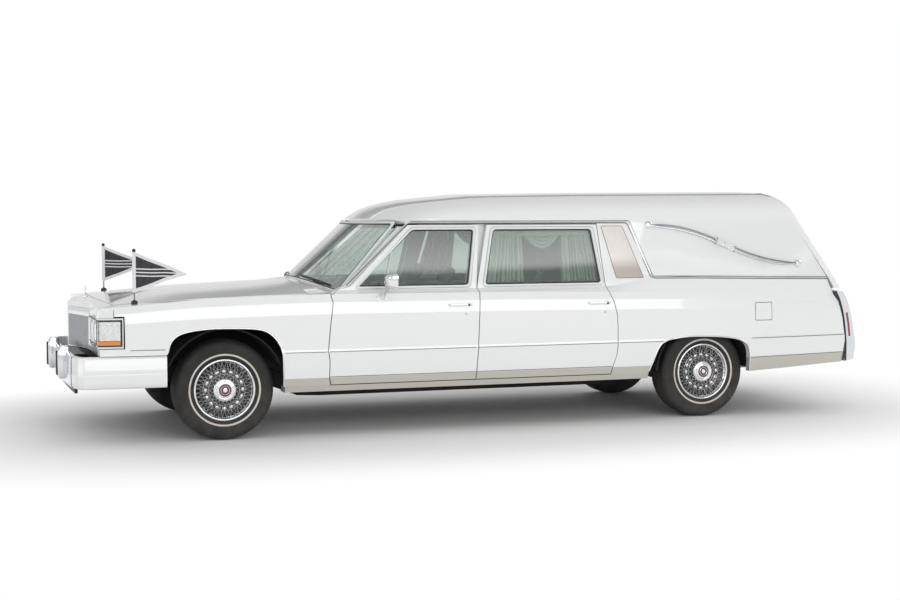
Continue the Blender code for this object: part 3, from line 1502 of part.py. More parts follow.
def dash_shape():
    """Dashboard with the steering column and wheel."""
    outline = [(DASH_FRONT, 0.700), (DASH_FRONT, 0.920), (-0.770, 0.955), (-0.960, 0.960), (-1.010, 0.925), (-0.990, 0.740), (-0.860, 0.680)]
    body = slab(outline, "Y", -0.755, 0.755)
    lean = math.radians(28)
    centre = Vector((-1.185, 0.38, 0.930))
    axis = Vector((-math.cos(lean), 0.0, math.sin(lean)))
    column = rod([tuple(centre - axis * 0.24), tuple(centre + axis * 0.012)], 0.028, 10)
    rim = []
    upright = Vector((math.sin(lean), 0.0, math.cos(lean)))
    flat = Vector((0.0, 1.0, 0.0))
    ring_radius, grip = 0.190, 0.013
    steps, sides = 28, 8
    verts = []
    for k in range(steps):
        turn = math.tau * k / steps
        out = math.cos(turn) * upright + math.sin(turn) * flat
        for n in range(sides):
            bend = math.tau * n / sides
            verts.append(tuple(centre + out * (ring_radius + grip * math.cos(bend)) + axis * grip * math.sin(bend)))
    for k in range(steps):
        for n in range(sides):
            a, b = k * sides, ((k + 1) % steps) * sides
            m = (n + 1) % sides
            rim.append((a + n, b + n, b + m, a + m))
    spokes = []
    for turn in (math.radians(90), math.radians(270), math.radians(180)):
        out = math.cos(turn) * upright + math.sin(turn) * flat
        spokes.append(rod([tuple(centre), tuple(centre + out * ring_radius)], 0.009, 6))
    return joined([body, column, (verts, rim)] + spokes)


def seat_shape():
    """Front bench seat."""
    floor = FLOOR_HEIGHT + FLOOR_WALL + SEAT_GAP
    outline = [
        (-1.20, floor),
        (-1.18, 0.580),
        (-1.22, 0.625),
        (-1.58, 0.585),
        (-1.655, 1.120),
        (-1.700, 1.150),
        (-1.745, 1.120),
        (-1.720, floor),
    ]
    base = slab(outline, "Y", -0.68, 0.68)
    tunnel = box((-1.80, -0.20, 0.30), (-1.10, 0.20, floor + TUNNEL_RISE + 0.004))
    return joined([base], [tunnel])


def deck_shape():
    """Load deck with its front riser, two bier rails and a side trim board."""
    half = 0.79
    front = -1.98
    floor = FLOOR_HEIGHT + FLOOR_WALL + SEAT_GAP
    outline = [
        (front, floor),
        (front, DECK_TOP),
        (REAR_AXLE - 1.08, DECK_TOP),
        (REAR_AXLE - 1.08, DECK_TOP - DECK_WALL),
        (front - DECK_WALL, DECK_TOP - DECK_WALL),
        (front - DECK_WALL, floor),
    ]
    parts = [slab(outline, "Y", -half, half)]
    notch = box((front - 0.10, -0.20, 0.30), (front + 0.05, 0.20, floor + SHAFT_RISE + 0.002))
    for y in (-0.30, 0.30):
        parts.append(box((REAR_AXLE - 1.00, y - 0.018, DECK_TOP - 0.005), (front - 0.15, y + 0.018, DECK_TOP + 0.012)))
    return joined(parts, [notch])


def drape_shape():
    """Drape behind the left rear door's glass, as a plain curved board."""
    outline = [(-1.925, 1.045), (-2.012, WINDOW_TOP + 0.006), (REAR_AXLE + 0.910, WINDOW_TOP + 0.006), (REAR_AXLE + 0.868, 1.045)]
    near, far = FRAME_WALL + SEAT_GAP, FRAME_WALL + 0.024
    return sheet(
        on_side(outline),
        lambda x, level: skin(x, level, near),
        lambda x, level: skin(x, level, far),
    )


# Assembly

def build_pair(name, shape, finish, origin=(0.0, 0.0, 0.0)):
    """The left piece and its mirror image, named and placed."""
    left = solid(name + "_left", shape, finish, origin)
    right = solid(name + "_right", mirrored(shape), finish, (origin[0], -origin[1], origin[2]))
    return left, right


def build_body():
    """The fixed panels, glass and ends."""
    solid("frame", frame_shape(), BLACK)
    solid("underbody", underbody_shape(), BLACK)
    side = side_shape()
    solid("body_side_left", with_filler(side), PAINT)
    solid("body_side_right", mirrored(side), PAINT)
    build_pair("fender", fender_shape(), PAINT)
    solid("roof", roof_shape(), PAINT)
    solid("tail_frame", tail_frame_shape(), PAINT)
    solid("nose_panel", nose_shape(), PAINT)
    solid("cowl", cowl_shape(), PAINT)
    solid("windshield", shield_shape(), GLASS)
    solid("grille", grille_shape(), CHROME)
    build_pair("headlamp", lamp_shape(), LAMP)
    solid("front_bumper", front_bumper_shape(), CHROME)
    solid("rear_bumper", rear_bumper_shape(), CHROME)
    build_pair("tail_lamp", tail_lamp_shape(), CHROME)
    build_pair("landau_bar", landau_shape(), CHROME)
    solid("radiator_support", radiator_shape(), BLACK)


def build_inside():
    """What shows through the glass and from below."""
    solid("engine", engine_shape(), IRON)
    solid("exhaust", exhaust_shape(), IRON)
    solid("fuel_tank", tank_shape(), BLACK)
    solid("rear_axle", rear_axle_shape(), IRON)
    solid("dashboard", dash_shape(), TRIM)
    solid("front_seat", seat_shape(), TRIM)
    solid("load_deck", deck_shape(), DECK)


def build_doors():
    """Four side doors with glass, mirrors and drapes, the hood and the tail door."""
    levels = SIDE_LEVELS[1:] + (0.975, 1.02)
    hinge = HALF_WIDTH
    outline, window = front_door()
    frame, pane = door_shape(outline, window, (FRONT_HINGE_X + SPLIT_BOTTOM) / 2, levels)
    doors = build_pair("front_door", frame, PAINT, (FRONT_HINGE_X, hinge, 0.70))
    panes = build_pair("front_door_glass", pane, GLASS)
    mirrors = build_pair("mirror", mirror_shape(), CHROME)
    for door, glass, mirror in zip(doors, panes, mirrors):
        carry(door, glass, mirror)
    outline, window = rear_door()
    middle = (REAR_HINGE_X + REAR_AXLE + 0.752) / 2
    frame, pane = door_shape(outline, window, middle, levels)
    doors = build_pair("rear_door", frame, PAINT, (REAR_HINGE_X, hinge, 0.70))
    panes = build_pair("rear_door_glass", pane, GLASS)
    drapes = build_pair("drape", drape_shape(), CLOTH)
    for door, glass, drape in zip(doors, panes, drapes):
        carry(door, glass, drape)
    solid("hood", hood_shape(), PAINT, (COWL_JOINT + EDGE_GAP, 0.0, SHIELD_BASE[1]))
    tail = tail_panel(tail_opening(SHUT_GAP), [tail_window(0.0)], 0.0, TAIL_WALL, TAIL_NARROWING)
    door = solid("tail_door", tail, PAINT, (TAIL_HINGE_X, TAIL_DOOR_HALF, 1.10))
    pane = tail_panel(tail_window(0.0015), [], 0.012, 0.012 + GLASS_WALL, TAIL_NARROWING)
    carry(door, solid("tail_glass", pane, GLASS))
    low, high = lid_axis()
    solid("fuel_lid", lid_shape(), PAINT, tuple((low + high) / 2))


def build_wheels():
    """Knuckles, wheels and tyres."""
    for side, label in ((1.0, "left"), (-1.0, "right")):
        centre = (0.0, FRONT_TRACK_HALF * side, TYRE_RADIUS)
        steer = solid("knuckle_" + label, knuckle_shape(side), IRON, (0.0, KINGPIN_Y * side, TYRE_RADIUS))
        wheel = solid("front_wheel_" + label, wheel_shape(centre, side), CHROME, centre)
        tyre = solid("front_tyre_" + label, tyre_shape(centre), RUBBER, centre)
        carry(wheel, tyre)
        carry(steer, wheel)
        centre = (REAR_AXLE, REAR_TRACK_HALF * side, TYRE_RADIUS)
        wheel = solid("rear_wheel_" + label, wheel_shape(centre, side), CHROME, centre)
        tyre = solid("rear_tyre_" + label, tyre_shape(centre), RUBBER, centre)
        carry(wheel, tyre)


def build_flags():
    """Two flag staffs on the front fenders with their pennants."""
    x, y, top = 0.600, 0.870, 1.314
    foot = fender_point(x, SHOULDER_LEVEL + 0.045)[2] + 0.003
    build_pair("flag_staff", flag_staff_shape(x, y, foot, top), TRIM)
    build_pair("pennant", pennant_shape(x, y, top - 0.020), PENNANT)


def main():
    """Build the whole car."""
    clear_scene()
    build_body()
    build_inside()
    build_doors()
    build_wheels()
    build_flags()


main()
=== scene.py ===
"""A long funeral coach with a white body, dressed over its measured frame for a studio portrait."""
import logging
import math
from dataclasses import dataclass, field
from enum import Enum
from typing import Callable, Iterable, Sequence

import bpy
import numpy as np
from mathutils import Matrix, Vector


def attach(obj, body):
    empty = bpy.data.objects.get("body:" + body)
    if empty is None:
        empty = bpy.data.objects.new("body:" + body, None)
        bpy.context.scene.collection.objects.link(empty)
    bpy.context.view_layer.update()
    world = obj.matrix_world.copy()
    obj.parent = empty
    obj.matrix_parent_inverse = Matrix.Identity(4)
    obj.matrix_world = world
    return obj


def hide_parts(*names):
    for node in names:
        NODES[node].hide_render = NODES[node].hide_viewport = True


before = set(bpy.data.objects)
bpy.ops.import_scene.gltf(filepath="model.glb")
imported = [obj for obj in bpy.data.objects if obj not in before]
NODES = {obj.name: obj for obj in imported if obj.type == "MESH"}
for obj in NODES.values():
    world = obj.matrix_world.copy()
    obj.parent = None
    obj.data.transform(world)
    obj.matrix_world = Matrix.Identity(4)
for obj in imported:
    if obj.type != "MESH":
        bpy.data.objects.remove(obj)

LOG = logging.getLogger("coach")
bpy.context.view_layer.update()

# Stations run along the car from the front axle, forward positive
FRONT_AXLE = 1.9775
REAR_AXLE = -3.665
TYRE_RADIUS = 0.345
TRACKS = {"front": 0.780, "rear": 0.765}

# Half the thickness of every cloth
CLOTH_HALF = 0.0006


class Side(Enum):
    """The two sides of the car, with the sign of their Y."""

    LEFT = 1.0
    RIGHT = -1.0

    @property
    def word(self) -> str:
        """The side's name as the nodes spell it."""
        return self.name.lower()


class Body(str, Enum):
    """Bodies of the frame that carry pieces."""

    CAR = "car"
    FRONT_DOOR = "front_door_body"
    REAR_DOOR = "rear_door_body"
    HOOD = "hood_body"
    TAIL_DOOR = "tail_door_body"
    FRONT_WHEEL = "front_wheel_body"
    REAR_WHEEL = "rear_wheel_body"

    def on(self, side: Side) -> str:
        """The body's full name on one side."""
        return f"{self.value}_{side.word}"


# Shapes


@dataclass
class Shape:
    """Points and faces of one piece, kept as whole arrays.

    Args:
        points: An (n, 3) array of positions.
        faces: Arrays of face corners, each array with one corner count.
        uv: Optional (n, 2) array, one pair for each point.
    """

    points: np.ndarray
    faces: list[np.ndarray]
    uv: np.ndarray | None = None

    def plus(self, *others: "Shape") -> "Shape":
        """One shape made of this and the others, their corner numbers shifted on."""
        shapes = [self, *others]
        starts = np.cumsum([0] + [len(s.points) for s in shapes[:-1]])
        faces = [f + start for s, start in zip(shapes, starts) for f in s.faces]
        uv = None
        if all(s.uv is not None for s in shapes):
            uv = np.concatenate([s.uv for s in shapes])
        return Shape(np.concatenate([s.points for s in shapes]), faces, uv)

    def mapped(self, rule: Callable[[np.ndarray], np.ndarray]) -> "Shape":
        """The shape with its points passed through a rule on the whole array."""
        return Shape(rule(self.points), self.faces, self.uv)

    def mirrored(self, side: Side) -> "Shape":
        """The shape itself on the left, or its mirror image in Y on the right."""
        if side is Side.LEFT:
            return self
        return Shape(self.points * (1, -1, 1), [f[:, ::-1] for f in self.faces], self.uv)

    def outward(self) -> "Shape":
        """The closed shape with its faces turned outwards: they are flipped if the volume is negative."""
        total = 0.0
        for group in self.faces:
            corner = self.points[group]
            for k in range(1, group.shape[1] - 1):
                total += np.einsum("ni,ni->", corner[:, 0], np.cross(corner[:, k], corner[:, k + 1]))
        return self if total > 0 else Shape(self.points, [f[:, ::-1] for f in self.faces], self.uv)

    def repeated(self, matrices: np.ndarray, offsets: np.ndarray) -> "Shape":
        """Copies of the shape, each turned by a matrix and moved by an offset.

        Args:
            matrices: A (k, 3, 3) array of turns.
            offsets: A (k, 3) array of moves.

        Returns:
            One shape that holds all the copies.
        """
        turned = np.einsum("kij,nj->kni", matrices, self.points) + offsets[:, None, :]
        count = len(self.points)
        shifts = (np.arange(len(matrices)) * count)[:, None, None]
        faces = [(f[None] + shifts).reshape(-1, f.shape[1]) for f in self.faces]
        uv = None if self.uv is None else np.tile(self.uv, (len(matrices), 1))
        return Shape(turned.reshape(-1, 3), faces, uv)


def joined(shapes: Sequence[Shape]) -> Shape:
    """All the shapes as one."""
    return shapes[0].plus(*shapes[1:])


def grid_faces(rows: int, columns: int, wrap_rows: bool = False, wrap_columns: bool = False) -> np.ndarray:
    """Corner numbers of the quads of a grid stored row by row.

    Args:
        rows: Points along the first parameter.
        columns: Points along the second parameter.
        wrap_rows: Whether the last row joins the first.
        wrap_columns: Whether the last column joins the first.

    Returns:
        An (n, 4) array of corner numbers.
    """
    i = np.arange(rows if wrap_rows else rows - 1)[:, None]
    j = np.arange(columns if wrap_columns else columns - 1)[None, :]
    i2, j2 = (i + 1) % rows, (j + 1) % columns
    corners = [i * columns + j, i2 * columns + j, i2 * columns + j2, i * columns + j2]
    return np.stack([np.broadcast_to(c, (i.shape[0], j.shape[1])) for c in corners], -1).reshape(-1, 4)


def surface(points: np.ndarray, wrap_rows: bool = False, wrap_columns: bool = False,
            caps: bool = False, flip: bool = False) -> Shape:
    """A grid of points (rows, columns, 3) as a skin, with flat caps on the first and last row if asked."""
    rows, columns = points.shape[:2]
    faces = [grid_faces(rows, columns, wrap_rows, wrap_columns)]
    if caps:
        first = np.arange(columns)[None, :]
        faces += [first, (first + (rows - 1) * columns)[:, ::-1]]
    if flip:
        faces = [f[:, ::-1] for f in faces]
    u, v = np.meshgrid(np.linspace(0, 1, rows), np.linspace(0, 1, columns), indexing="ij")
    return Shape(points.reshape(-1, 3), faces, np.stack([u, v], -1).reshape(-1, 2))


def turned(profile: np.ndarray | Sequence[Sequence[float]], centre: Sequence[float], steps: int = 64,
           ripple: Callable[[np.ndarray, np.ndarray], np.ndarray] | None = None) -> Shape:
    """A closed profile of radius and Y offset, spun about an axle along Y.

    Each point is (radius sin a, offset, radius cos a) about the centre, for a from 0 to a full turn.

    Args:
        profile: Closed loop of (radius, offset), in order.
        centre: The axle's centre.
        steps: Points round the turn.
        ripple: Optional change of the radius, from the angle grid and the profile's number grid.

    Returns:
        The closed shape.
    """
    loop = np.asarray(profile, float)
    angle = np.linspace(0, 2 * math.pi, steps, endpoint=False)[:, None]
    radius = np.broadcast_to(loop[None, :, 0], (steps, len(loop))).copy()
    if ripple is not None:
        radius = radius + ripple(angle, np.arange(len(loop))[None, :])
    offset = np.broadcast_to(loop[None, :, 1], radius.shape)
    points = np.stack([radius * np.sin(angle), offset, radius * np.cos(angle)], -1) + np.asarray(centre)
    return surface(points, wrap_rows=True, wrap_columns=True).outward()


def smooth_path(path: Sequence[Sequence[float]], count: int, closed: bool = False) -> np.ndarray:
    """A cubic curve through the path's points, read at equal steps of its length.

    Each span is the cubic whose end slopes are half the step between the neighbours of its ends.
    """
    p = np.asarray(path, float)
    before, after = (np.roll(p, 1, 0), np.roll(p, -1, 0)) if closed else (
        np.vstack([2 * p[0] - p[1], p[:-1]]), np.vstack([p[1:], 2 * p[-1] - p[-2]]))
    slope = (after - before) / 2
    spans = len(p) if closed else len(p) - 1
    start = np.arange(spans)
    end = (start + 1) % len(p)
    t = np.linspace(0, 1, 24, endpoint=False)[None, :, None]
    a, b = p[start][:, None], p[end][:, None]
    sa, sb = slope[start][:, None], slope[end][:, None]
    curve = ((2 * t**3 - 3 * t**2 + 1) * a + (t**3 - 2 * t**2 + t) * sa
             + (3 * t**2 - 2 * t**3) * b + (t**3 - t**2) * sb).reshape(-1, p.shape[1])
    curve = np.vstack([curve, p[:1] if closed else p[-1:]])
    return even_path(curve, count, closed)


def even_path(path: np.ndarray, count: int, closed: bool = False) -> np.ndarray:
    """The path's points read again at equal steps of its length."""
    run = np.concatenate([[0], np.cumsum(np.linalg.norm(np.diff(path, axis=0), axis=1))])
    at = np.linspace(0, run[-1], count, endpoint=not closed)
    return np.stack([np.interp(at, run, path[:, k]) for k in range(path.shape[1])], 1)


def even_loop(loop: np.ndarray, count: int) -> np.ndarray:
    """A closed outline's points read again at equal steps of its length."""
    return even_path(np.vstack([loop, loop[:1]]), count, closed=True)


def swept(path: np.ndarray, profile: np.ndarray, out: Sequence[float] | np.ndarray = (0, 1, 0),
          closed: bool = False, scale: np.ndarray | None = None) -> Shape:
    """A closed profile carried along a path.

    At each path point the profile's first number runs along the direction that is square to the path
    and to out, and its second along out made square to the path.

    Args:
        path: (n, 3) points.
        profile: (m, 2) closed loop, counterclockwise.
        out: The direction the profile's second number runs in, one for all or one for each point.
        closed: Whether the path closes on itself.
        scale: Optional (n,) size of the profile at each point.

    Returns:
        The shape, capped where the path is open.
    """
    step = (np.roll(path, -1, 0) - np.roll(path, 1, 0)) if closed else np.gradient(path, axis=0)
    along = step / np.linalg.norm(step, axis=1, keepdims=True)
    out = np.broadcast_to(np.asarray(out, float), path.shape)
    up = out - along * np.sum(out * along, axis=1, keepdims=True)
    up /= np.linalg.norm(up, axis=1, keepdims=True)
    across = np.cross(up, along)
    grow = np.ones(len(path)) if scale is None else scale
    points = (path[:, None] + across[:, None] * (profile[None, :, :1] * grow[:, None, None])
              + up[:, None] * (profile[None, :, 1:] * grow[:, None, None]))
    return surface(points, wrap_rows=closed, wrap_columns=True, caps=not closed).outward()


def stacked(loops: Sequence[np.ndarray]) -> Shape:
    """A capped body through a stack of loops with one point count."""
    return surface(np.stack(loops), wrap_columns=True, caps=True).outward()


def circle(radius: float, sides: int = 12) -> np.ndarray:
    """Points of a circle about the origin, counterclockwise."""
    angle = np.linspace(0, 2 * math.pi, sides, endpoint=False)
    return radius * np.stack([np.cos(angle), np.sin(angle)], 1)


def pill(width: float, height: float, corner: float, steps: int = 4) -> np.ndarray:
    """A rectangle about the origin with round corners, counterclockwise."""
    turns = np.linspace(0, math.pi / 2, steps)
    corners = []
    for quarter, (sx, sy) in enumerate(((1, 1), (-1, 1), (-1, -1), (1, -1))):
        angle = turns + quarter * math.pi / 2
        middle = np.array([sx * (width / 2 - corner), sy * (height / 2 - corner)])
        corners.append(middle + corner * np.stack([np.cos(angle), np.sin(angle)], 1))
    return np.concatenate(corners)


def block(low: Sequence[float], high: Sequence[float], edge: float = 0.003) -> Shape:
    """A box between two corners with rounded upright edges and chamfered top and bottom."""
    low, high = np.asarray(low, float), np.asarray(high, float)
    middle, size = (low + high) / 2, high - low
    edge = min(edge, size.min() * 0.45)
    full = pill(size[0], size[1], edge * 1.01)
    small = pill(size[0] - 2 * edge, size[1] - 2 * edge, edge * 0.5)
    levels = [(small, low[2]), (full, low[2] + edge), (full, high[2] - edge), (small, high[2])]
    return stacked([np.insert(loop + middle[:2], 2, z, axis=1) for loop, z in levels])


def pillar(plan: np.ndarray, low: float, high: float, axis: int = 2, edge: float = 0.0) -> Shape:
    """A plan loop drawn out along one axis, its ends drawn in by an edge.

    Args:
        plan: (n, 2) loop in the two other axes, in their own order.
        low: Start along the axis.
        high: End along the axis.
        axis: 0, 1 or 2.
        edge: Chamfer at both ends.

    Returns:
        The closed shape.
    """
    middle = plan.mean(0)
    reach = np.abs(plan - middle).max()
    small = middle + (plan - middle) * (1 - edge / reach)
    rows = [(small, low), (plan, low + edge), (plan, high - edge), (small, high)] if edge else [
        (plan, low), (plan, high)]
    return stacked([np.insert(loop, axis, at, axis=1) for loop, at in rows])


def place(shape: Shape, name: str, finish: bpy.types.Material, body: str,
          soft: float = 40.0) -> bpy.types.Object:
    """Puts a shape into the scene as a piece that rides on a body.

    Args:
        shape: The shape, with stations for its X.
        name: The piece's name.
        finish: Its material.
        body: The body that carries it.
        soft: Edges under this angle, in degrees, are shaded smooth.

    Returns:
        The new object.
    """
    mesh = bpy.data.meshes.new(name)
    faces = [row for group in shape.faces for row in group.tolist()]
    mesh.from_pydata((shape.points + (FRONT_AXLE, 0.0, 0.0)).tolist(), [], faces)
    if shape.uv is not None:
        layer = mesh.uv_layers.new(name="UVMap")
        corner = np.empty(len(mesh.loops), np.int32)
        mesh.loops.foreach_get("vertex_index", corner)
        layer.uv.foreach_set("vector", shape.uv[corner].astype(np.float32).ravel())
    mesh.polygons.foreach_set("use_smooth", np.ones(len(mesh.polygons), bool))
    mesh.set_sharp_from_angle(angle=math.radians(soft))
    mesh.materials.append(finish)
    piece = bpy.data.objects.new(name, mesh)
    bpy.context.scene.collection.objects.link(piece)
    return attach(piece, body)


@dataclass
class Part:
    """A group of pieces that are made in the shared finishes.

    Args:
        finishes: Materials by name.
    """

    finishes: dict[str, bpy.types.Material]

    def add(self, name: str, shape: Shape, finish: str, slot: str = "chrome", node: str | None = None,
            body: Body = Body.CAR, side: Side | None = None) -> bpy.types.Object:
        """Places one piece.

        Args:
            name: The piece's name.
            shape: Its shape, on the left side where a side is given.
            finish: The name of its finish.
            slot: The record's material slot; not used.
            node: The node of the frame that it stands in for.
            body: The body that carries it.
            side: The side it goes to. Name, node and body then take the side's word.

        Returns:
            The new object.
        """
        on = body.value
        if side is not None:
            name, shape = f"{name}_{side.word}", shape.mirrored(side)
            node = None if node is None else f"{node}_{side.word}"
            on = on if body is Body.CAR else body.on(side)
        piece = place(shape, name, self.finishes[finish], on)
        if node is not None:
            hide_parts(node)
        return piece


# Shared effects


def new_group(name: str, inputs: dict[str, float | tuple[float, ...]],
              outputs: Sequence[str]) -> tuple["Graph", bpy.types.Node, bpy.types.Node]:
    """A shader node group with named sockets and nothing inside yet.

    Args:
        name: The group's name.
        inputs: Socket names with their first values, a number or a vector.
        outputs: Names of the sockets that give a number.

    Returns:
        The group's graph, its input node and its output node.
    """
    group = bpy.data.node_groups.new(name, "ShaderNodeTree")
    for label, value in inputs.items():
        kind = "NodeSocketFloat" if isinstance(value, (int, float)) else "NodeSocketVector"
        socket = group.interface.new_socket(name=label, in_out="INPUT", socket_type=kind)
        socket.default_value = value
    for label in outputs:
        group.interface.new_socket(name=label, in_out="OUTPUT", socket_type="NodeSocketFloat")
    return Graph(group), group.nodes.new("NodeGroupInput"), group.nodes.new("NodeGroupOutput")


class Graph:
    """Short ways to add and join nodes in one node tree."""

    def __init__(self, tree: bpy.types.NodeTree) -> None:
        """Keeps the tree.

        Args:
            tree: A material's, world's or group's tree.
        """
        self.tree = tree

    def add(self, kind: str, inputs: dict | None = None, **settings: object) -> bpy.types.Node:
        """A new node.

        Args:
            kind: The node's type, without its ShaderNode prefix.
            inputs: Socket names or numbers, with a value or another node's socket.
            settings: Properties of the node.

        Returns:
            The node.
        """
        node = self.tree.nodes.new(f"ShaderNode{kind}")
        for label, value in settings.items():
            setattr(node, label, value)
        self.join(node, inputs or {})
        return node

    def join(self, node: bpy.types.Node, inputs: dict) -> None:
        """Sets a node's inputs, each to a value or to another node's socket."""
        for label, value in inputs.items():
            if isinstance(value, bpy.types.NodeSocket):
                self.tree.links.new(value, node.inputs[label])
            else:
                node.inputs[label].default_value = value

    def math(self, operation: str, first: object, second: object = 0.0) -> bpy.types.NodeSocket:
        """The result of one Math node."""
        node = self.add("Math", {0: first, 1: second}, operation=operation)
        return node.outputs[0]

    def ramp(self, value: bpy.types.NodeSocket, low: float, high: float) -> bpy.types.NodeSocket:
        """A smooth step of a value, 0 at low and 1 at high."""
        node = self.add("MapRange", {"Value": value, "From Min": low, "From Max": high},
                        interpolation_type="SMOOTHSTEP")
        return node.outputs["Result"]

    def blend(self, share: object, first: object, second: object) -> bpy.types.NodeSocket:
        """A mix of two colours."""
        node = self.add("Mix", data_type="RGBA")
        colours = [s for s in node.inputs if s.type == "RGBA"]
        sockets = [node.inputs[0], colours[0], colours[1]]
        for socket, value in zip(sockets, (share, first, second)):
            if isinstance(value, bpy.types.NodeSocket):
                self.tree.links.new(value, socket)
            else:
                socket.default_value = value if socket.type != "RGBA" else (*value[:3], 1.0)
        return [s for s in node.outputs if s.type == "RGBA"][0]

    def place(self) -> bpy.types.NodeSocket:
        """The point in the car's own frame."""
        return self.add("TexCoord").outputs["Object"]

    def group(self, group: bpy.types.NodeTree, **inputs: object) -> bpy.types.Node:
        """One use of a shared effect, with its own values."""
        node = self.tree.nodes.new("ShaderNodeGroup")
        node.node_tree = group
        for label, value in inputs.items():
            node.inputs[label.replace("_", " ")].default_value = value
        return node


def new_material(name: str) -> tuple[bpy.types.Material, Graph, bpy.types.Node]:
    """A material with its graph and its principled shader."""
    material = bpy.data.materials.new(name)
    material.use_nodes = True
    return material, Graph(material.node_tree), material.node_tree.nodes["Principled BSDF"]


class Effects:
    """The effects that several finishes share, each built once."""

    def __init__(self) -> None:
        """Builds every group."""
        self.speckle = self._speckle()
        self.grain = self._grain()
        self.weave = self._weave()
        self.dust = self._dust()
        self.step = self._step()

    @staticmethod
    def _speckle() -> bpy.types.NodeTree:
        """Two sizes of soft blotches, out as a mask from 0 to 1 and a height for fine bumps."""
        g, enter, leave = new_group("soft speckle", {"Size": 6.0, "Fine Size": 90.0}, ("Mask", "Height"))
        large = g.add("TexNoise", {"Vector": g.place(), "Scale": enter.outputs["Size"], "Detail": 3.0})
        fine = g.add("TexNoise", {"Vector": g.place(), "Scale": enter.outputs["Fine Size"], "Detail": 2.0})
        g.join(leave, {"Mask": g.ramp(large.outputs["Fac"], 0.32, 0.70), "Height": fine.outputs["Fac"]})
        return g.tree

    @staticmethod
    def _grain() -> bpy.types.NodeTree:
        """Fine lines drawn out along one direction: noise read at stretched positions."""
        g, enter, leave = new_group("drawn grain", {"Stretch": (40.0, 40.0, 900.0)}, ("Height", "Mask"))
        spot = g.add("VectorMath", {0: g.place(), 1: enter.outputs["Stretch"]}, operation="MULTIPLY")
        lines = g.add("TexNoise", {"Vector": spot.outputs[0], "Scale": 1.0, "Detail": 2.0})
        g.join(leave, {"Height": lines.outputs["Fac"], "Mask": g.ramp(lines.outputs["Fac"], 0.35, 0.68)})
        return g.tree

    @staticmethod
    def _weave() -> bpy.types.NodeTree:
        """A plain weave: the larger of two crossed sine ridges in the piece's own UV."""
        g, enter, leave = new_group("plain weave", {"Threads": (300.0, 300.0, 1.0)}, ("Height", "Mask"))
        spot = g.add("VectorMath", {0: g.add("UVMap").outputs["UV"], 1: enter.outputs["Threads"]},
                     operation="MULTIPLY")
        parts = g.add("SeparateXYZ", {0: spot.outputs[0]})
        warp, weft = (g.math("ABSOLUTE", g.math("SINE", g.math("MULTIPLY", parts.outputs[k], math.pi)))
                      for k in (0, 1))
        slubs = g.add("TexNoise", {"Vector": spot.outputs[0], "Scale": 0.06, "Detail": 3.0})
        g.join(leave, {"Height": g.math("MAXIMUM", warp, weft), "Mask": slubs.outputs["Fac"]})
        return g.tree

    @staticmethod
    def _dust() -> bpy.types.NodeTree:
        """Road film: full at the foot, gone at the given height, broken up by noise."""
        g, enter, leave = new_group("road film", {"Top": 0.45, "Foot": 0.15, "Strength": 0.5}, ("Mask",))
        height = g.add("SeparateXYZ", {0: g.place()}).outputs["Z"]
        fall = g.add("MapRange", {"Value": height, "From Min": enter.outputs["Top"],
                                  "From Max": enter.outputs["Foot"]})
        patches = g.add("TexNoise", {"Vector": g.place(), "Scale": 9.0, "Detail": 5.0})
        mask = g.math("MULTIPLY", fall.outputs["Result"], g.ramp(patches.outputs["Fac"], 0.25, 0.7))
        g.join(leave, {"Mask": g.math("MULTIPLY", mask, enter.outputs["Strength"])})
        return g.tree

    @staticmethod
    def _step() -> bpy.types.NodeTree:
        """A mask that is 1 below a line: level ahead of the bend, stepped up and rising behind it."""
        g, enter, leave = new_group("lower strip", {"Height": 0.41, "Soft": 0.002, "Rise": 0.0, "Step": 0.0,
                                                    "Bend": -1.6, "Start": 9.0}, ("Mask",))
        spot = g.add("SeparateXYZ", {0: g.place()})
        behind = g.math("LESS_THAN", spot.outputs["X"], enter.outputs["Bend"])
        reach = g.math("SUBTRACT", enter.outputs["Bend"], spot.outputs["X"])
        gain = g.math("ADD", g.math("MULTIPLY", reach, enter.outputs["Rise"]), enter.outputs["Step"])
        line = g.math("ADD", enter.outputs["Height"], g.math("MULTIPLY", behind, gain))
        under = g.math("DIVIDE", g.math("SUBTRACT", line, spot.outputs["Z"]), enter.outputs["Soft"])
        inside = g.math("LESS_THAN", spot.outputs["X"], enter.outputs["Start"])
        g.join(leave, {"Mask": g.math("MULTIPLY", g.ramp(under, -0.5, 0.5), inside)})
        return g.tree


# Finishes


class Film(Enum):
    """How much road film a finish shows."""

    NONE = 0.0
    LIGHT = 0.10


@dataclass(frozen=True)
class Shade:
    """A second colour below a line along the car: on the rocker strip a real strip whose tone is partly
    painted reflection of the floor, and at the brushed panel's foot painted reflection of the background's
    dim band.

    Args:
        colour: The colour below the line, linear.
        height: Height of the line where it is level.
        soft: Height over which the colours change.
        rise: Height gained for each metre behind the bend.
        bend: Station where the line steps up.
        step: How far it steps up there.
        start: Station ahead of which the shade isn't used.
    """

    colour: tuple[float, float, float]
    height: float
    soft: float = 0.002
    rise: float = 0.0
    bend: float = -3.6
    step: float = 0.0
    start: float = 9.0


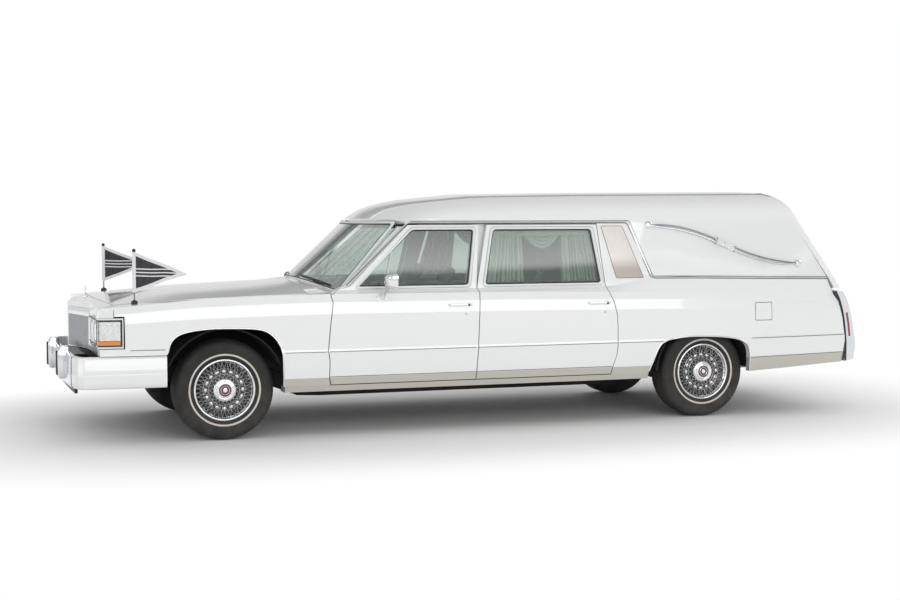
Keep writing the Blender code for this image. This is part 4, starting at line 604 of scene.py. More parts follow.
@dataclass(frozen=True)
class Finish:
    """A solid surface: paint, metal, rubber, plastic or lens.

    Args:
        name: The material's name.
        colour: Base colour, linear.
        second: Colour that the blotches or grain turn towards.
        share: How far they turn it.
        roughness: Middle roughness.
        spread: How far roughness moves with the blotches.
        metallic: 0 or 1.
        coat: Clear coat weight.
        size: Blotches per metre.
        fine: Fine bumps per metre.
        bump: Height of the fine bumps, in metres.
        stretch: Grain's pull in X, Y and Z, or nothing for blotches.
        film: Road film.
        shade: A second colour low down, or nothing; it carries painted reflection.
    """

    name: str
    colour: tuple[float, float, float]
    second: tuple[float, float, float]
    share: float = 0.2
    roughness: float = 0.3
    spread: float = 0.05
    metallic: float = 0.0
    coat: float = 0.0
    size: float = 5.0
    fine: float = 120.0
    bump: float = 0.0002
    stretch: tuple[float, float, float] | None = None
    film: Film = Film.NONE
    shade: Shade | None = None

    def material(self, effects: Effects) -> bpy.types.Material:
        """The finish as a Blender material.

        Args:
            effects: The shared effects.

        Returns:
            The material.
        """
        material, g, shader = new_material(self.name)
        g.join(shader, {"Metallic": self.metallic, "Coat Weight": self.coat, "Coat Roughness": 0.03})
        if self.stretch is None:
            source = g.group(effects.speckle, Size=self.size, Fine_Size=self.fine)
        else:
            source = g.group(effects.grain, Stretch=self.stretch)
        share = g.math("MULTIPLY", source.outputs["Mask"], self.share)
        colour = g.blend(share, self.colour, self.second)
        rough = g.math("MULTIPLY_ADD", source.outputs["Mask"], self.spread)
        rough.node.inputs[2].default_value = self.roughness - self.spread / 2
        # The shade is painted reflection low down: of the floor on the rocker strip, of the background's dim
        # band at the brushed panel's foot.
        if self.shade is not None:
            s = self.shade
            below = g.group(effects.step, Height=s.height, Soft=s.soft, Rise=s.rise, Step=s.step,
                            Bend=s.bend + FRONT_AXLE, Start=s.start + FRONT_AXLE)
            colour = g.blend(below.outputs["Mask"], colour, s.colour)
        if self.film is not Film.NONE:
            film = g.group(effects.dust, Strength=self.film.value)
            colour = g.blend(film.outputs["Mask"], colour, (0.33, 0.30, 0.26))
            rough = g.math("MAXIMUM", rough, film.outputs["Mask"])
        bump = g.add("Bump", {"Height": source.outputs["Height"], "Distance": self.bump, "Strength": 0.6})
        g.join(shader, {"Base Color": colour, "Roughness": rough, "Normal": bump.outputs["Normal"]})
        return material


@dataclass(frozen=True)
class GlassFinish:
    """Clear or tinted glass, with faint waves in its surface.

    Args:
        name: The material's name.
        tint: Colour of the light that comes through.
        roughness: Surface roughness.
        waves: Height of the waves, in metres.
        pitch: Waves per metre.
        gloss: Index of the bright outer film, or 0 for none.
    """

    name: str
    tint: tuple[float, float, float]
    roughness: float = 0.0
    waves: float = 0.0004
    pitch: float = 2.0
    gloss: float = 0.0

    def material(self, effects: Effects) -> bpy.types.Material:
        """The glass as a Blender material."""
        material, g, shader = new_material(self.name)
        g.join(shader, {"Transmission Weight": 1.0, "Roughness": self.roughness, "IOR": 1.45})
        if self.gloss:
            g.join(shader, {"Coat Weight": 1.0, "Coat IOR": self.gloss, "Coat Roughness": 0.01})
        source = g.group(effects.speckle, Size=self.pitch, Fine_Size=self.pitch)
        deeper = tuple(c * 0.93 for c in self.tint)
        colour = g.blend(source.outputs["Mask"], self.tint, deeper)
        bump = g.add("Bump", {"Height": source.outputs["Height"], "Distance": self.waves, "Strength": 0.5})
        g.join(shader, {"Base Color": colour, "Normal": bump.outputs["Normal"]})
        return material


@dataclass(frozen=True)
class ClothFinish:
    """Woven cloth in the piece's own UV.

    Args:
        name: The material's name.
        colour: Main colour, linear.
        second: Colour of the slubs.
        threads: Threads across one UV unit, both ways.
        sheen: Weight of the soft sheen.
        valley: How much of the colour is left in the depth of a fold: painted shade.
    """

    name: str
    colour: tuple[float, float, float]
    second: tuple[float, float, float]
    threads: tuple[float, float] = (300.0, 300.0)
    sheen: float = 0.3
    valley: float = 0.42

    def material(self, effects: Effects) -> bpy.types.Material:
        """The cloth as a Blender material."""
        material, g, shader = new_material(self.name)
        g.join(shader, {"Roughness": 0.85, "Sheen Weight": self.sheen})
        weave = g.group(effects.weave, Threads=(*self.threads, 1.0))
        colour = g.blend(g.ramp(weave.outputs["Mask"], 0.3, 0.7), self.colour, self.second)
        # Painted shade: the colour darkens where a point lies deep in a fold.
        fold = g.add("Attribute", attribute_name="fold").outputs["Fac"]
        valley = tuple(c * self.valley for c in self.colour)
        colour = g.blend(fold, colour, valley)
        bump = g.add("Bump", {"Height": weave.outputs["Height"], "Distance": 0.0003, "Strength": 0.5})
        g.join(shader, {"Base Color": colour, "Normal": bump.outputs["Normal"]})
        return material


@dataclass(frozen=True)
class FlagFinish:
    """Pennant cloth: a black field with a pale border and three pale stripes, in the cloth's own UV.

    U runs from the staff to the tip and V from the lower to the upper edge of the triangle's hoist.

    Args:
        name: The material's name.
        field: Colour of the field.
        pale: Colour of border and stripes.
        border: Border width, as a share of the hoist.
        stripe: Stripe width, as a share of the hoist.
        pitch: Step between stripes, as a share of the hoist.
    """

    name: str
    field: tuple[float, float, float] = (0.012, 0.012, 0.018)
    pale: tuple[float, float, float] = (0.74, 0.74, 0.76)
    border: float = 0.085
    stripe: float = 0.030
    pitch: float = 0.085

    def material(self, effects: Effects) -> bpy.types.Material:
        """The pennant cloth as a Blender material.

        The height from the middle is v, and the border is where abs(v) passes a line that falls
        from the hoist's half to nothing at the tip, less the border. A stripe is where v lies
        within half a stripe of a step of the pitch.
        """
        material, g, shader = new_material(self.name)
        g.join(shader, {"Roughness": 0.8, "Sheen Weight": 0.2})
        parts = g.add("SeparateXYZ", {0: g.add("UVMap").outputs["UV"]})
        u, v = parts.outputs[0], g.math("SUBTRACT", parts.outputs[1], 0.5)
        reach = g.math("ABSOLUTE", v)
        limit = g.math("SUBTRACT", g.math("MULTIPLY", g.math("SUBTRACT", 1.0, u), 0.5), self.border)
        edge = g.math("GREATER_THAN", reach, limit)
        step = g.math("MULTIPLY", g.math("ROUND", g.math("DIVIDE", v, self.pitch)), self.pitch)
        stripe = g.math("LESS_THAN", g.math("ABSOLUTE", g.math("SUBTRACT", v, step)), self.stripe / 2)
        inner = g.math("LESS_THAN", reach, self.pitch * 1.5)
        mask = g.math("MAXIMUM", edge, g.math("MULTIPLY", stripe, inner))
        weave = g.group(effects.weave, Threads=(220.0, 170.0, 1.0))
        colour = g.blend(mask, self.field, self.pale)
        colour = g.blend(g.math("MULTIPLY", weave.outputs["Mask"], 0.15), colour, (0.3, 0.3, 0.32))
        bump = g.add("Bump", {"Height": weave.outputs["Height"], "Distance": 0.0003, "Strength": 0.4})
        g.join(shader, {"Base Color": colour, "Normal": bump.outputs["Normal"]})
        return material


WHITE = (0.80, 0.815, 0.81)
FINISHES = {
    # The paint's shade is a real rocker strip below the crease, its beige-grey tone partly painted reflection
    # of the floor.
    "paint": Finish("white paint", WHITE, (0.76, 0.775, 0.775), roughness=0.22, coat=1.0, size=1.3,
                    fine=60.0, bump=0.00004, film=Film.LIGHT,
                    shade=Shade((0.50, 0.475, 0.42), 0.412, rise=0.0194, step=0.0268, start=-0.30)),
    "chrome": Finish("bright chrome", (0.80, 0.81, 0.83), (0.66, 0.67, 0.70), roughness=0.07,
                     metallic=1.0, size=9.0, fine=200.0, bump=0.00003),
    "bumper": Finish("bumper chrome", (0.72, 0.74, 0.78), (0.55, 0.57, 0.62), roughness=0.11,
                     metallic=1.0, size=5.0, bump=0.0001),
    # The brushed panel's shade darkens its foot: painted reflection of the background's dim band.
    "brushed": Finish("brushed panel", (0.70, 0.66, 0.63), (0.55, 0.51, 0.49), share=0.5, roughness=0.42,
                      spread=0.15, metallic=1.0, stretch=(30.0, 60.0, 900.0), bump=0.0001,
                      shade=Shade((0.40, 0.35, 0.32), 1.175, soft=0.13)),
    # Near-black that stands for shade: painted shadow under the gutter and inside the grille.
    "shadow": Finish("dark seam", (0.02, 0.02, 0.022), (0.05, 0.05, 0.05), roughness=0.6, bump=0.0002),
    "rubber": Finish("tyre rubber", (0.011, 0.0105, 0.010), (0.022, 0.021, 0.019), share=0.6,
                     roughness=0.72, spread=0.2, size=14.0, fine=500.0, bump=0.0005, film=Film.LIGHT),
    "whitewall": Finish("tyre band", (0.66, 0.60, 0.53), (0.50, 0.44, 0.38), share=0.5, roughness=0.6,
                        size=18.0, fine=300.0, bump=0.0003),
    "underbody": Finish("underbody coating", (0.006, 0.006, 0.0065), (0.015, 0.014, 0.013), share=0.7,
                        roughness=0.9, size=7.0, fine=260.0, bump=0.0012, film=Film.LIGHT),
    "iron": Finish("cast iron", (0.09, 0.09, 0.095), (0.13, 0.09, 0.06), share=0.5, roughness=0.65,
                   metallic=0.0, size=12.0, fine=300.0, bump=0.0012),
    "steel": Finish("dull steel", (0.33, 0.32, 0.31), (0.22, 0.17, 0.13), share=0.5, roughness=0.45,
                    metallic=1.0, size=12.0, fine=200.0, bump=0.0004),
    "trim": Finish("dark vinyl", (0.035, 0.037, 0.042), (0.055, 0.057, 0.062), share=0.6, roughness=0.55,
                   size=20.0, fine=700.0, bump=0.0006),
    "seat": Finish("seat vinyl", (0.028, 0.030, 0.034), (0.05, 0.052, 0.058), share=0.5, roughness=0.48,
                   size=10.0, fine=420.0, bump=0.0008),
    "deck": Finish("deck laminate", (0.16, 0.12, 0.085), (0.09, 0.062, 0.042), share=0.9, roughness=0.35,
                   coat=0.4, stretch=(3.0, 90.0, 3.0), bump=0.0002),
    "black": Finish("black plastic", (0.012, 0.012, 0.013), (0.03, 0.03, 0.032), roughness=0.42,
                    fine=500.0, bump=0.0003),
    "rod": Finish("bright rod", (0.24, 0.245, 0.26), (0.18, 0.18, 0.19), roughness=0.2, metallic=1.0),
    "amber": Finish("amber lens", (0.72, 0.24, 0.02), (0.55, 0.15, 0.01), roughness=0.12, coat=1.0,
                    stretch=(500.0, 500.0, 20.0), bump=0.0004),
    "ruby": Finish("red lens", (0.28, 0.012, 0.016), (0.16, 0.006, 0.01), roughness=0.14, coat=1.0,
                   stretch=(30.0, 30.0, 450.0), bump=0.0004),
    "dish": Finish("cover dish", (0.045, 0.045, 0.047), (0.09, 0.088, 0.085), share=0.5, roughness=0.35,
                   metallic=1.0, size=30.0),
    "spoke": Finish("cover wires", (0.62, 0.62, 0.62), (0.42, 0.40, 0.37), share=0.6, roughness=0.16,
                    metallic=1.0, size=40.0),
    # A dark grey line; on the body's creases its darkness is partly painted shade of the grooves.
    "pinline": Finish("moulding line", (0.20, 0.205, 0.215), (0.30, 0.31, 0.32), roughness=0.35, metallic=0.6,
                      size=20.0),
    "rod_dark": Finish("dark bright rod", (0.34, 0.35, 0.37), (0.26, 0.27, 0.29), roughness=0.16,
                       metallic=1.0),
    "trim_white": Finish("pale web", (0.74, 0.75, 0.75), (0.68, 0.69, 0.69), roughness=0.4),
    "grille": Finish("grille bars", (0.36, 0.37, 0.39), (0.24, 0.24, 0.26), roughness=0.18, metallic=1.0,
                     size=30.0),
    "reflector": Finish("lamp reflector", (0.90, 0.90, 0.90), (0.80, 0.80, 0.80), roughness=0.12,
                        metallic=1.0, size=30.0),
    "medal": Finish("medallion enamel", (0.10, 0.008, 0.016), (0.06, 0.004, 0.01), roughness=0.2,
                    coat=1.0),
    "plate": Finish("plate blank", (0.62, 0.62, 0.60), (0.55, 0.55, 0.53), roughness=0.4),
    "glass": GlassFinish("green glass", (0.62, 0.72, 0.67), gloss=2.3),
    "lens": GlassFinish("clear lens", (0.93, 0.94, 0.94), roughness=0.03, waves=0.002, pitch=60.0),
    "drape": ClothFinish("sage drape", (0.80, 0.88, 0.76), (0.84, 0.90, 0.80), threads=(500.0, 500.0)),
    "flag": FlagFinish("pennant cloth"),
    "hem": ClothFinish("pale hem", (0.70, 0.70, 0.72), (0.76, 0.76, 0.78), threads=(30.0, 300.0)),
}


# The car's outer surfaces, as functions of station and height


class Skin:
    """The side of the body and the roof, worked out for whole arrays of places.

    A level is a height measured between named lines: sill, crease, shoulder, glass base and drip
    rail. The half width at a level is the car's half width less the section's draw-in there and
    less a taper that grows with the square of the distance past the wheels.
    """

    half_width = 0.972
    drip = 1.47
    named = np.array([0.30, 0.61, 0.985, 1.01, 1.47])
    section = np.array([(0.300, 0.048), (0.360, 0.027), (0.420, 0.017), (0.590, 0.000), (0.610, 0.005),
                        (0.850, 0.012), (0.930, 0.022), (0.985, 0.037), (1.000, 0.072), (1.010, 0.097),
                        (1.470, 0.197)])
    shoulder = np.array([(-4.865, 0.910), (-4.725, 0.915), (-3.255, 0.961), (-2.865, 0.966), (-1.99, 0.982),
                         (-0.75, 0.990), (-0.30, 0.983), (0.17, 0.970), (0.57, 0.938), (0.86, 0.915)])
    base = np.array([(-4.865, 1.035), (-3.225, 1.075), (-3.065, 1.040), (-2.915, 1.010), (-0.80, 1.012),
                     (0.90, 0.960)])

    @classmethod
    def level(cls, x: np.ndarray, z: np.ndarray) -> np.ndarray:
        """Levels of heights at stations: the sum of the parts of each span that lie below the height."""
        x, z = np.broadcast_arrays(np.asarray(x, float), np.asarray(z, float))
        lines = [np.full(x.shape, 0.30), np.full(x.shape, 0.61), np.interp(x, *cls.shoulder.T),
                 np.interp(x, *cls.base.T), np.full(x.shape, cls.drip)]
        found = np.full(x.shape, cls.named[0])
        for k in range(len(lines) - 1):
            share = np.clip((z - lines[k]) / (lines[k + 1] - lines[k]), 0.0, 1.0)
            found = found + share * (cls.named[k + 1] - cls.named[k])
        return found

    @classmethod
    def half(cls, x: np.ndarray, z: np.ndarray) -> np.ndarray:
        """Half width of the outer skin at stations and heights."""
        taper = 0.035 * (np.maximum(0.0, (np.asarray(x) - 0.20) / 0.65) ** 2
                         + np.maximum(0.0, (REAR_AXLE - 0.35 - np.asarray(x)) / 0.85) ** 2)
        return cls.half_width - np.interp(cls.level(x, z), *cls.section.T) - taper

    @classmethod
    def reach(cls, x: float, z: float) -> float:
        """Half width of the outer skin at one place."""
        return float(cls.half(x, z))

    @classmethod
    def side(cls, path: Iterable[Sequence[float]], out: float = 0.0) -> np.ndarray:
        """Points on the left side, from (station, height) pairs, a distance outside the skin."""
        xz = np.asarray(list(path), float)
        return np.stack([xz[:, 0], cls.half(xz[:, 0], xz[:, 1]) + out, xz[:, 1]], 1)

    @classmethod
    def strip(cls, path: Sequence[Sequence[float]], width: float, rise: float, count: int = 40,
              sink: float = 0.0015) -> Shape:
        """A half-round moulding along a path on the left side.

        Args:
            path: (station, height) pairs.
            width: Width of the moulding.
            rise: How far it stands proud.
            count: Stations along it.
            sink: How far its back lies in the panel.

        Returns:
            The moulding.
        """
        line = even_path(cls.side(path), count)
        line[:, 1] = cls.half(line[:, 0], line[:, 2])
        half = width / 2
        profile = np.array([(-half, -sink), (half, -sink), (half, rise * 0.35), (half * 0.62, rise * 0.86),
                            (0.0, rise), (-half * 0.62, rise * 0.86), (-half, rise * 0.35)])
        return swept(line, profile)


# Wheels


@dataclass
class Wheel(Part):
    """One road wheel: a treaded tyre with a pale band and a wire cover on its rim.

    Args:
        end: "front" or "rear".
        side: Side of the car.
        radius: Tyre radius.
        width: Tyre width.
        band: Inner and outer radius of the pale band.
        cover: Radius of the cover's bright ring.
        spokes: Spokes in each leaning family.
        lobes: Bright lobes round the hub.
    """

    end: str
    side: Side
    radius: float = TYRE_RADIUS
    width: float = 0.225
    band: tuple[float, float] = (0.2362, 0.2484)
    cover: float = 0.213
    spokes: int = 20
    lobes: int = 16

    @property
    def centre(self) -> tuple[float, float, float]:
        """Centre of the left wheel of this end."""
        return (0.0 if self.end == "front" else REAR_AXLE, TRACKS[self.end], self.radius)

    def wall(self, radius: np.ndarray) -> np.ndarray:
        """Y offset of the tyre's outer wall at a radius."""
        half = self.width / 2
        rows = np.array([(0.190, 0.72), (0.199, 0.80), (0.215, 0.885), (0.235, 0.955), (0.252, 0.990),
                         (0.270, 1.0), (0.290, 0.992), (0.308, 0.965), (0.322, 0.915), (0.333, 0.83),
                         (0.341, 0.72)])
        return half * np.interp(radius, *rows.T)

    def build(self) -> None:
        """Makes every piece of the wheel."""
        body = Body.FRONT_WHEEL if self.end == "front" else Body.REAR_WHEEL
        rows = [
            ("tread_tyre", self._tyre(), "rubber", "rubber", f"{self.end}_tyre"),
            ("tyre_band", self._band(), "whitewall", "rubber", None),
            ("rim_barrel", self._barrel(), "steel", "chrome", f"{self.end}_wheel"),
            ("cover_ring", self._ring(), "chrome", "chrome", None),
            ("cover_dish", self._dish(), "dish", "black_underbody", None),
            ("cover_spokes", self._spokes(), "spoke", "chrome", None),
            ("cover_lobes", self._lobes(), "chrome", "chrome", None),
            ("hub_cap", self._hub(), "chrome", "chrome", None),
            ("hub_medallion", self._medallion(), "medal", "dark_trim", None),
            ("hub_rings", self._rings(), "chrome", "chrome", None),
        ]
        for label, shape, finish, slot, node in rows:
            self.add(f"{self.end}_{label}", shape, finish, slot, node, body, self.side)

    def _tyre(self) -> Shape:
        """Tread and walls: the section spun round, with the radius cut by ribs and cross grooves.

        The radius falls by the groove depth where the offset is near a rib line, and, on the
        shoulder blocks, where the angle is near a step of the block pitch.
        """
        outer = np.array([0.1935, 0.1945, 0.200, 0.206, 0.213, 0.221, 0.229, 0.236, 0.2485, 0.258, 0.270,
                          0.282, 0.294, 0.305, 0.315, 0.323, 0.330, 0.336, 0.3405])
        wall = np.stack([outer, self.wall(outer)], 1)
        across = np.linspace(0.070, -0.070, 41)
        crown = self.radius - 0.0025 * (across / 0.070) ** 4
        tread = np.stack([crown, across], 1)
        back = wall[::-1] * (1, -1)
        bore = np.array([(0.189, -0.070), (0.189, 0.070)])
        profile = np.concatenate([wall, tread, back, bore])
        ribs = np.array([-0.046, -0.016, 0.016, 0.046])

        def ripple(angle: np.ndarray, number: np.ndarray) -> np.ndarray:
            """Cuts the tread's grooves into the radius."""
            offset = profile[:, 1][number]
            on_tread = (number >= len(wall)) & (number < len(wall) + len(tread))
            shoulder = profile[:, 0][number] > 0.322
            rib = np.exp(-((np.abs(offset[..., None] - ribs)).min(-1) / 0.0028) ** 4)
            phase = (angle * 64 / (2 * math.pi) + 0.35 * np.sin(offset * 120.0)) % 1.0
            cross = ((phase > 0.78) & (np.abs(offset) > 0.018)).astype(float)
            return -0.006 * np.maximum(rib, 0.75 * cross) * on_tread - 0.003 * cross * shoulder * ~on_tread

        return turned(profile, self.centre, 256, ripple)

    def _band(self) -> Shape:
        """The pale band, a thin ring laid on the outer wall between its two radii."""
        radius = np.linspace(self.band[0], self.band[1], 5)
        face = np.stack([radius, self.wall(radius) + 0.0012 - 0.0008 * np.abs(np.linspace(-1, 1, 5)) ** 3], 1)
        back = np.stack([radius[::-1], self.wall(radius[::-1]) - 0.0010], 1)
        return turned(np.concatenate([face, back]), self.centre, 160)

    def _barrel(self) -> Shape:
        """The steel rim: its flanges, drop centre and the disc behind the cover."""
        profile = [(0.052, 0.030), (0.120, 0.040), (0.168, 0.022), (0.1775, 0.000), (0.1800, -0.055),
                   (0.186, -0.085), (0.1970, -0.094), (0.1985, -0.088), (0.1895, -0.078), (0.1840, -0.050),
                   (0.1820, 0.000), (0.1840, 0.060), (0.1885, 0.080), (0.196, 0.0845), (0.1955, 0.0880),
                   (0.1870, 0.0840), (0.1790, 0.060), (0.1740, 0.034), (0.120, 0.050), (0.052, 0.040)]
        return turned(profile, self.centre, 96)

    def _ring(self) -> Shape:
        """The cover's bright outer ring, rolled over at both edges."""
        edge = self.cover
        profile = [(0.190, 0.084), (0.200, 0.0875), (edge - 0.003, 0.0925), (edge, 0.096),
                   (edge + 0.0005, 0.1005), (edge - 0.002, 0.1045), (edge - 0.006, 0.1065),
                   (edge - 0.011, 0.1060), (edge - 0.015, 0.1030), (edge - 0.0165, 0.0985),
                   (edge - 0.019, 0.0940), (0.190, 0.0895), (0.187, 0.086)]
        return turned(profile, self.centre, 128)

    def _dish(self) -> Shape:
        """The dark dish behind the spokes, deepest about half way out."""
        radius = np.linspace(0.050, 0.1925, 12)
        bowl = 0.068 - 0.010 * np.sin(np.linspace(0, math.pi, 12)) + 0.020 * np.linspace(0, 1, 12) ** 4
        face = np.stack([radius, bowl], 1)
        back = np.stack([radius[::-1], bowl[::-1] - 0.002], 1)
        return turned(np.concatenate([face, back]), self.centre, 96)

    def _spokes(self) -> Shape:
        """Two crossed layers of wires, each leaning both ways between the hub and the ring.

        A wire is a straight tube from (inner radius, angle) to (outer radius, angle plus lean).
        """
        layers = (  # inner radius, outer radius, lean in steps, inner offset, outer offset, phase in steps
            (0.070, 0.1965, 1.75, 0.1030, 0.0935, 0.0),
            (0.104, 0.1950, 0.8, 0.0800, 0.0870, 0.5),
        )
        step = 2 * math.pi / self.spokes
        start = np.arange(self.spokes) * step
        wires = []
        for inner, outer, lean, low, high, phase in layers:
            for way in (-1.0, 1.0):
                a = start + phase * step
                b = a + way * lean * step
                for radius, angle, offset in ((inner, a, low), (outer, b, high)):
                    wires.append(np.stack([radius * np.sin(angle), np.full_like(angle, offset + 0.0012 * way),
                                           radius * np.cos(angle)], 1))
        first, last = np.concatenate(wires[::2]), np.concatenate(wires[1::2])
        along = last - first
        along /= np.linalg.norm(along, axis=1, keepdims=True)
        side = np.cross(along, (0.0, 1.0, 0.0))
        side /= np.linalg.norm(side, axis=1, keepdims=True)
        up = np.cross(side, along)
        ring = circle(0.0015, 6)
        offset = side[:, None] * ring[None, :, :1] + up[:, None] * ring[None, :, 1:]
        points = np.stack([first[:, None] + offset, last[:, None] + offset], 1) + np.asarray(self.centre)
        count, sides = len(first), len(ring)
        wall = grid_faces(2, sides, wrap_columns=True)
        caps = np.stack([np.arange(sides), np.arange(sides) + sides])
        caps[0] = caps[0][::-1]
        shift = (np.arange(count) * 2 * sides)[:, None, None]
        faces = [(wall[None] + shift).reshape(-1, 4), (caps[None] + shift).reshape(-1, sides)]
        return Shape(points.reshape(-1, 3), [faces[0][:, ::-1], faces[1][:, ::-1]])

    def _lobes(self) -> Shape:
        """Bright lobes: small half eggs set round the hub, with a thin hoop under them."""
        u = np.linspace(0.02, math.pi - 0.02, 8)[:, None]
        v = np.linspace(0, 2 * math.pi, 12, endpoint=False)[None, :]
        egg = np.stack([0.0175 * np.sin(u) * np.cos(v), 0.0080 * np.sin(u) * np.sin(v),
                        0.0125 * np.cos(u) * np.ones_like(v)], -1)
        lobe = surface(egg, wrap_columns=True, caps=True, flip=True)
        lobe = lobe.mapped(lambda p: p + (0.0, 0.0, 0.1270))
        angle = np.arange(self.lobes) * 2 * math.pi / self.lobes
        turn = np.zeros((self.lobes, 3, 3))
        turn[:, 0, 0], turn[:, 0, 2] = np.cos(angle), np.sin(angle)
        turn[:, 2, 0], turn[:, 2, 2] = -np.sin(angle), np.cos(angle)
        turn[:, 1, 1] = 1.0
        middle = np.asarray(self.centre) + (0.0, 0.0770, 0.0)
        lobes = lobe.repeated(turn, np.tile(middle, (self.lobes, 1)))
        hoops = []
        for radius, offset in ((0.1060, 0.078), (0.1450, 0.078)):
            loop = circle(0.0014, 8) + (radius, offset)
            hoops.append(turned(loop, self.centre, 72))
        return lobes.plus(*hoops)

    def _hub(self) -> Shape:
        """The hub cap: a domed bright disc with a stepped skirt."""
        profile = [(0.0005, 0.0700), (0.074, 0.0700), (0.0790, 0.0790), (0.0805, 0.0900), (0.0800, 0.1010),
                   (0.0765, 0.1075), (0.0700, 0.1115), (0.0620, 0.1130), (0.0580, 0.1120), (0.0560, 0.1160),
                   (0.0500, 0.1180), (0.0440, 0.1175), (0.0425, 0.1150), (0.0005, 0.1150)]
        return turned(profile, self.centre, 72)

    def _medallion(self) -> Shape:
        """The dark enamel disc in the hub cap."""
        profile = [(0.0005, 0.1145), (0.0420, 0.1145), (0.0420, 0.1165), (0.0300, 0.1180), (0.0005, 0.1188)]
        return turned(profile, self.centre, 48)

    def _rings(self) -> Shape:
        """Two plain bright rings on the enamel."""
        outer = circle(0.0022, 8) + (0.0300, 0.1178)
        inner = [(0.0005, 0.1180), (0.0150, 0.1180), (0.0150, 0.1196), (0.0110, 0.1204), (0.0005, 0.1206)]
        first = turned(outer, self.centre, 48)
        return first.plus(turned(inner, self.centre, 32))


@dataclass
class WheelSet(Part):
    """All four road wheels."""

    def build(self) -> None:
        """Builds the four wheels."""
        for end in TRACKS:
            for side in Side:
                Wheel(self.finishes, end, side).build()


# Front end


def shell(out: np.ndarray, back: np.ndarray) -> Shape:
    """A closed slab between two grids of points of one size, the second behind the first."""
    rows, columns = out.shape[:2]
    faces = [grid_faces(rows, columns), grid_faces(rows, columns)[:, ::-1] + rows * columns]
    edge = np.concatenate([np.arange(columns), np.arange(1, rows) * columns + columns - 1,
                           (rows - 1) * columns + np.arange(columns - 2, -1, -1),
                           np.arange(rows - 2, 0, -1) * columns])
    after = np.roll(edge, -1)
    faces.append(np.stack([edge, edge + rows * columns, after + rows * columns, after], 1))
    u, v = np.meshgrid(np.linspace(0, 1, rows), np.linspace(0, 1, columns), indexing="ij")
    uv = np.tile(np.stack([u, v], -1).reshape(-1, 2), (2, 1))
    return Shape(np.concatenate([out.reshape(-1, 3), back.reshape(-1, 3)]), faces, uv).outward()


def along_plan(path: np.ndarray, profile: np.ndarray) -> Shape:
    """A closed loop of (offset, height) carried along a plan path whose outside lies on its left."""
    return swept(np.column_stack([path, np.zeros(len(path))]), profile, out=(0, 0, 1))


def plan_wall(path: np.ndarray, low: float, high: float, out: float, depth: float) -> Shape:
    """A plain wall along a plan path.

    Args:
        path: (n, 2) plan points, with the outside on their left.
        low: Height of its foot.
        high: Height of its top.
        out: How far its face stands outside the path.
        depth: Its thickness.

    Returns:
        The wall.
    """
    return along_plan(path, np.array([(out - depth, low), (out, low), (out, high), (out - depth, high)]))


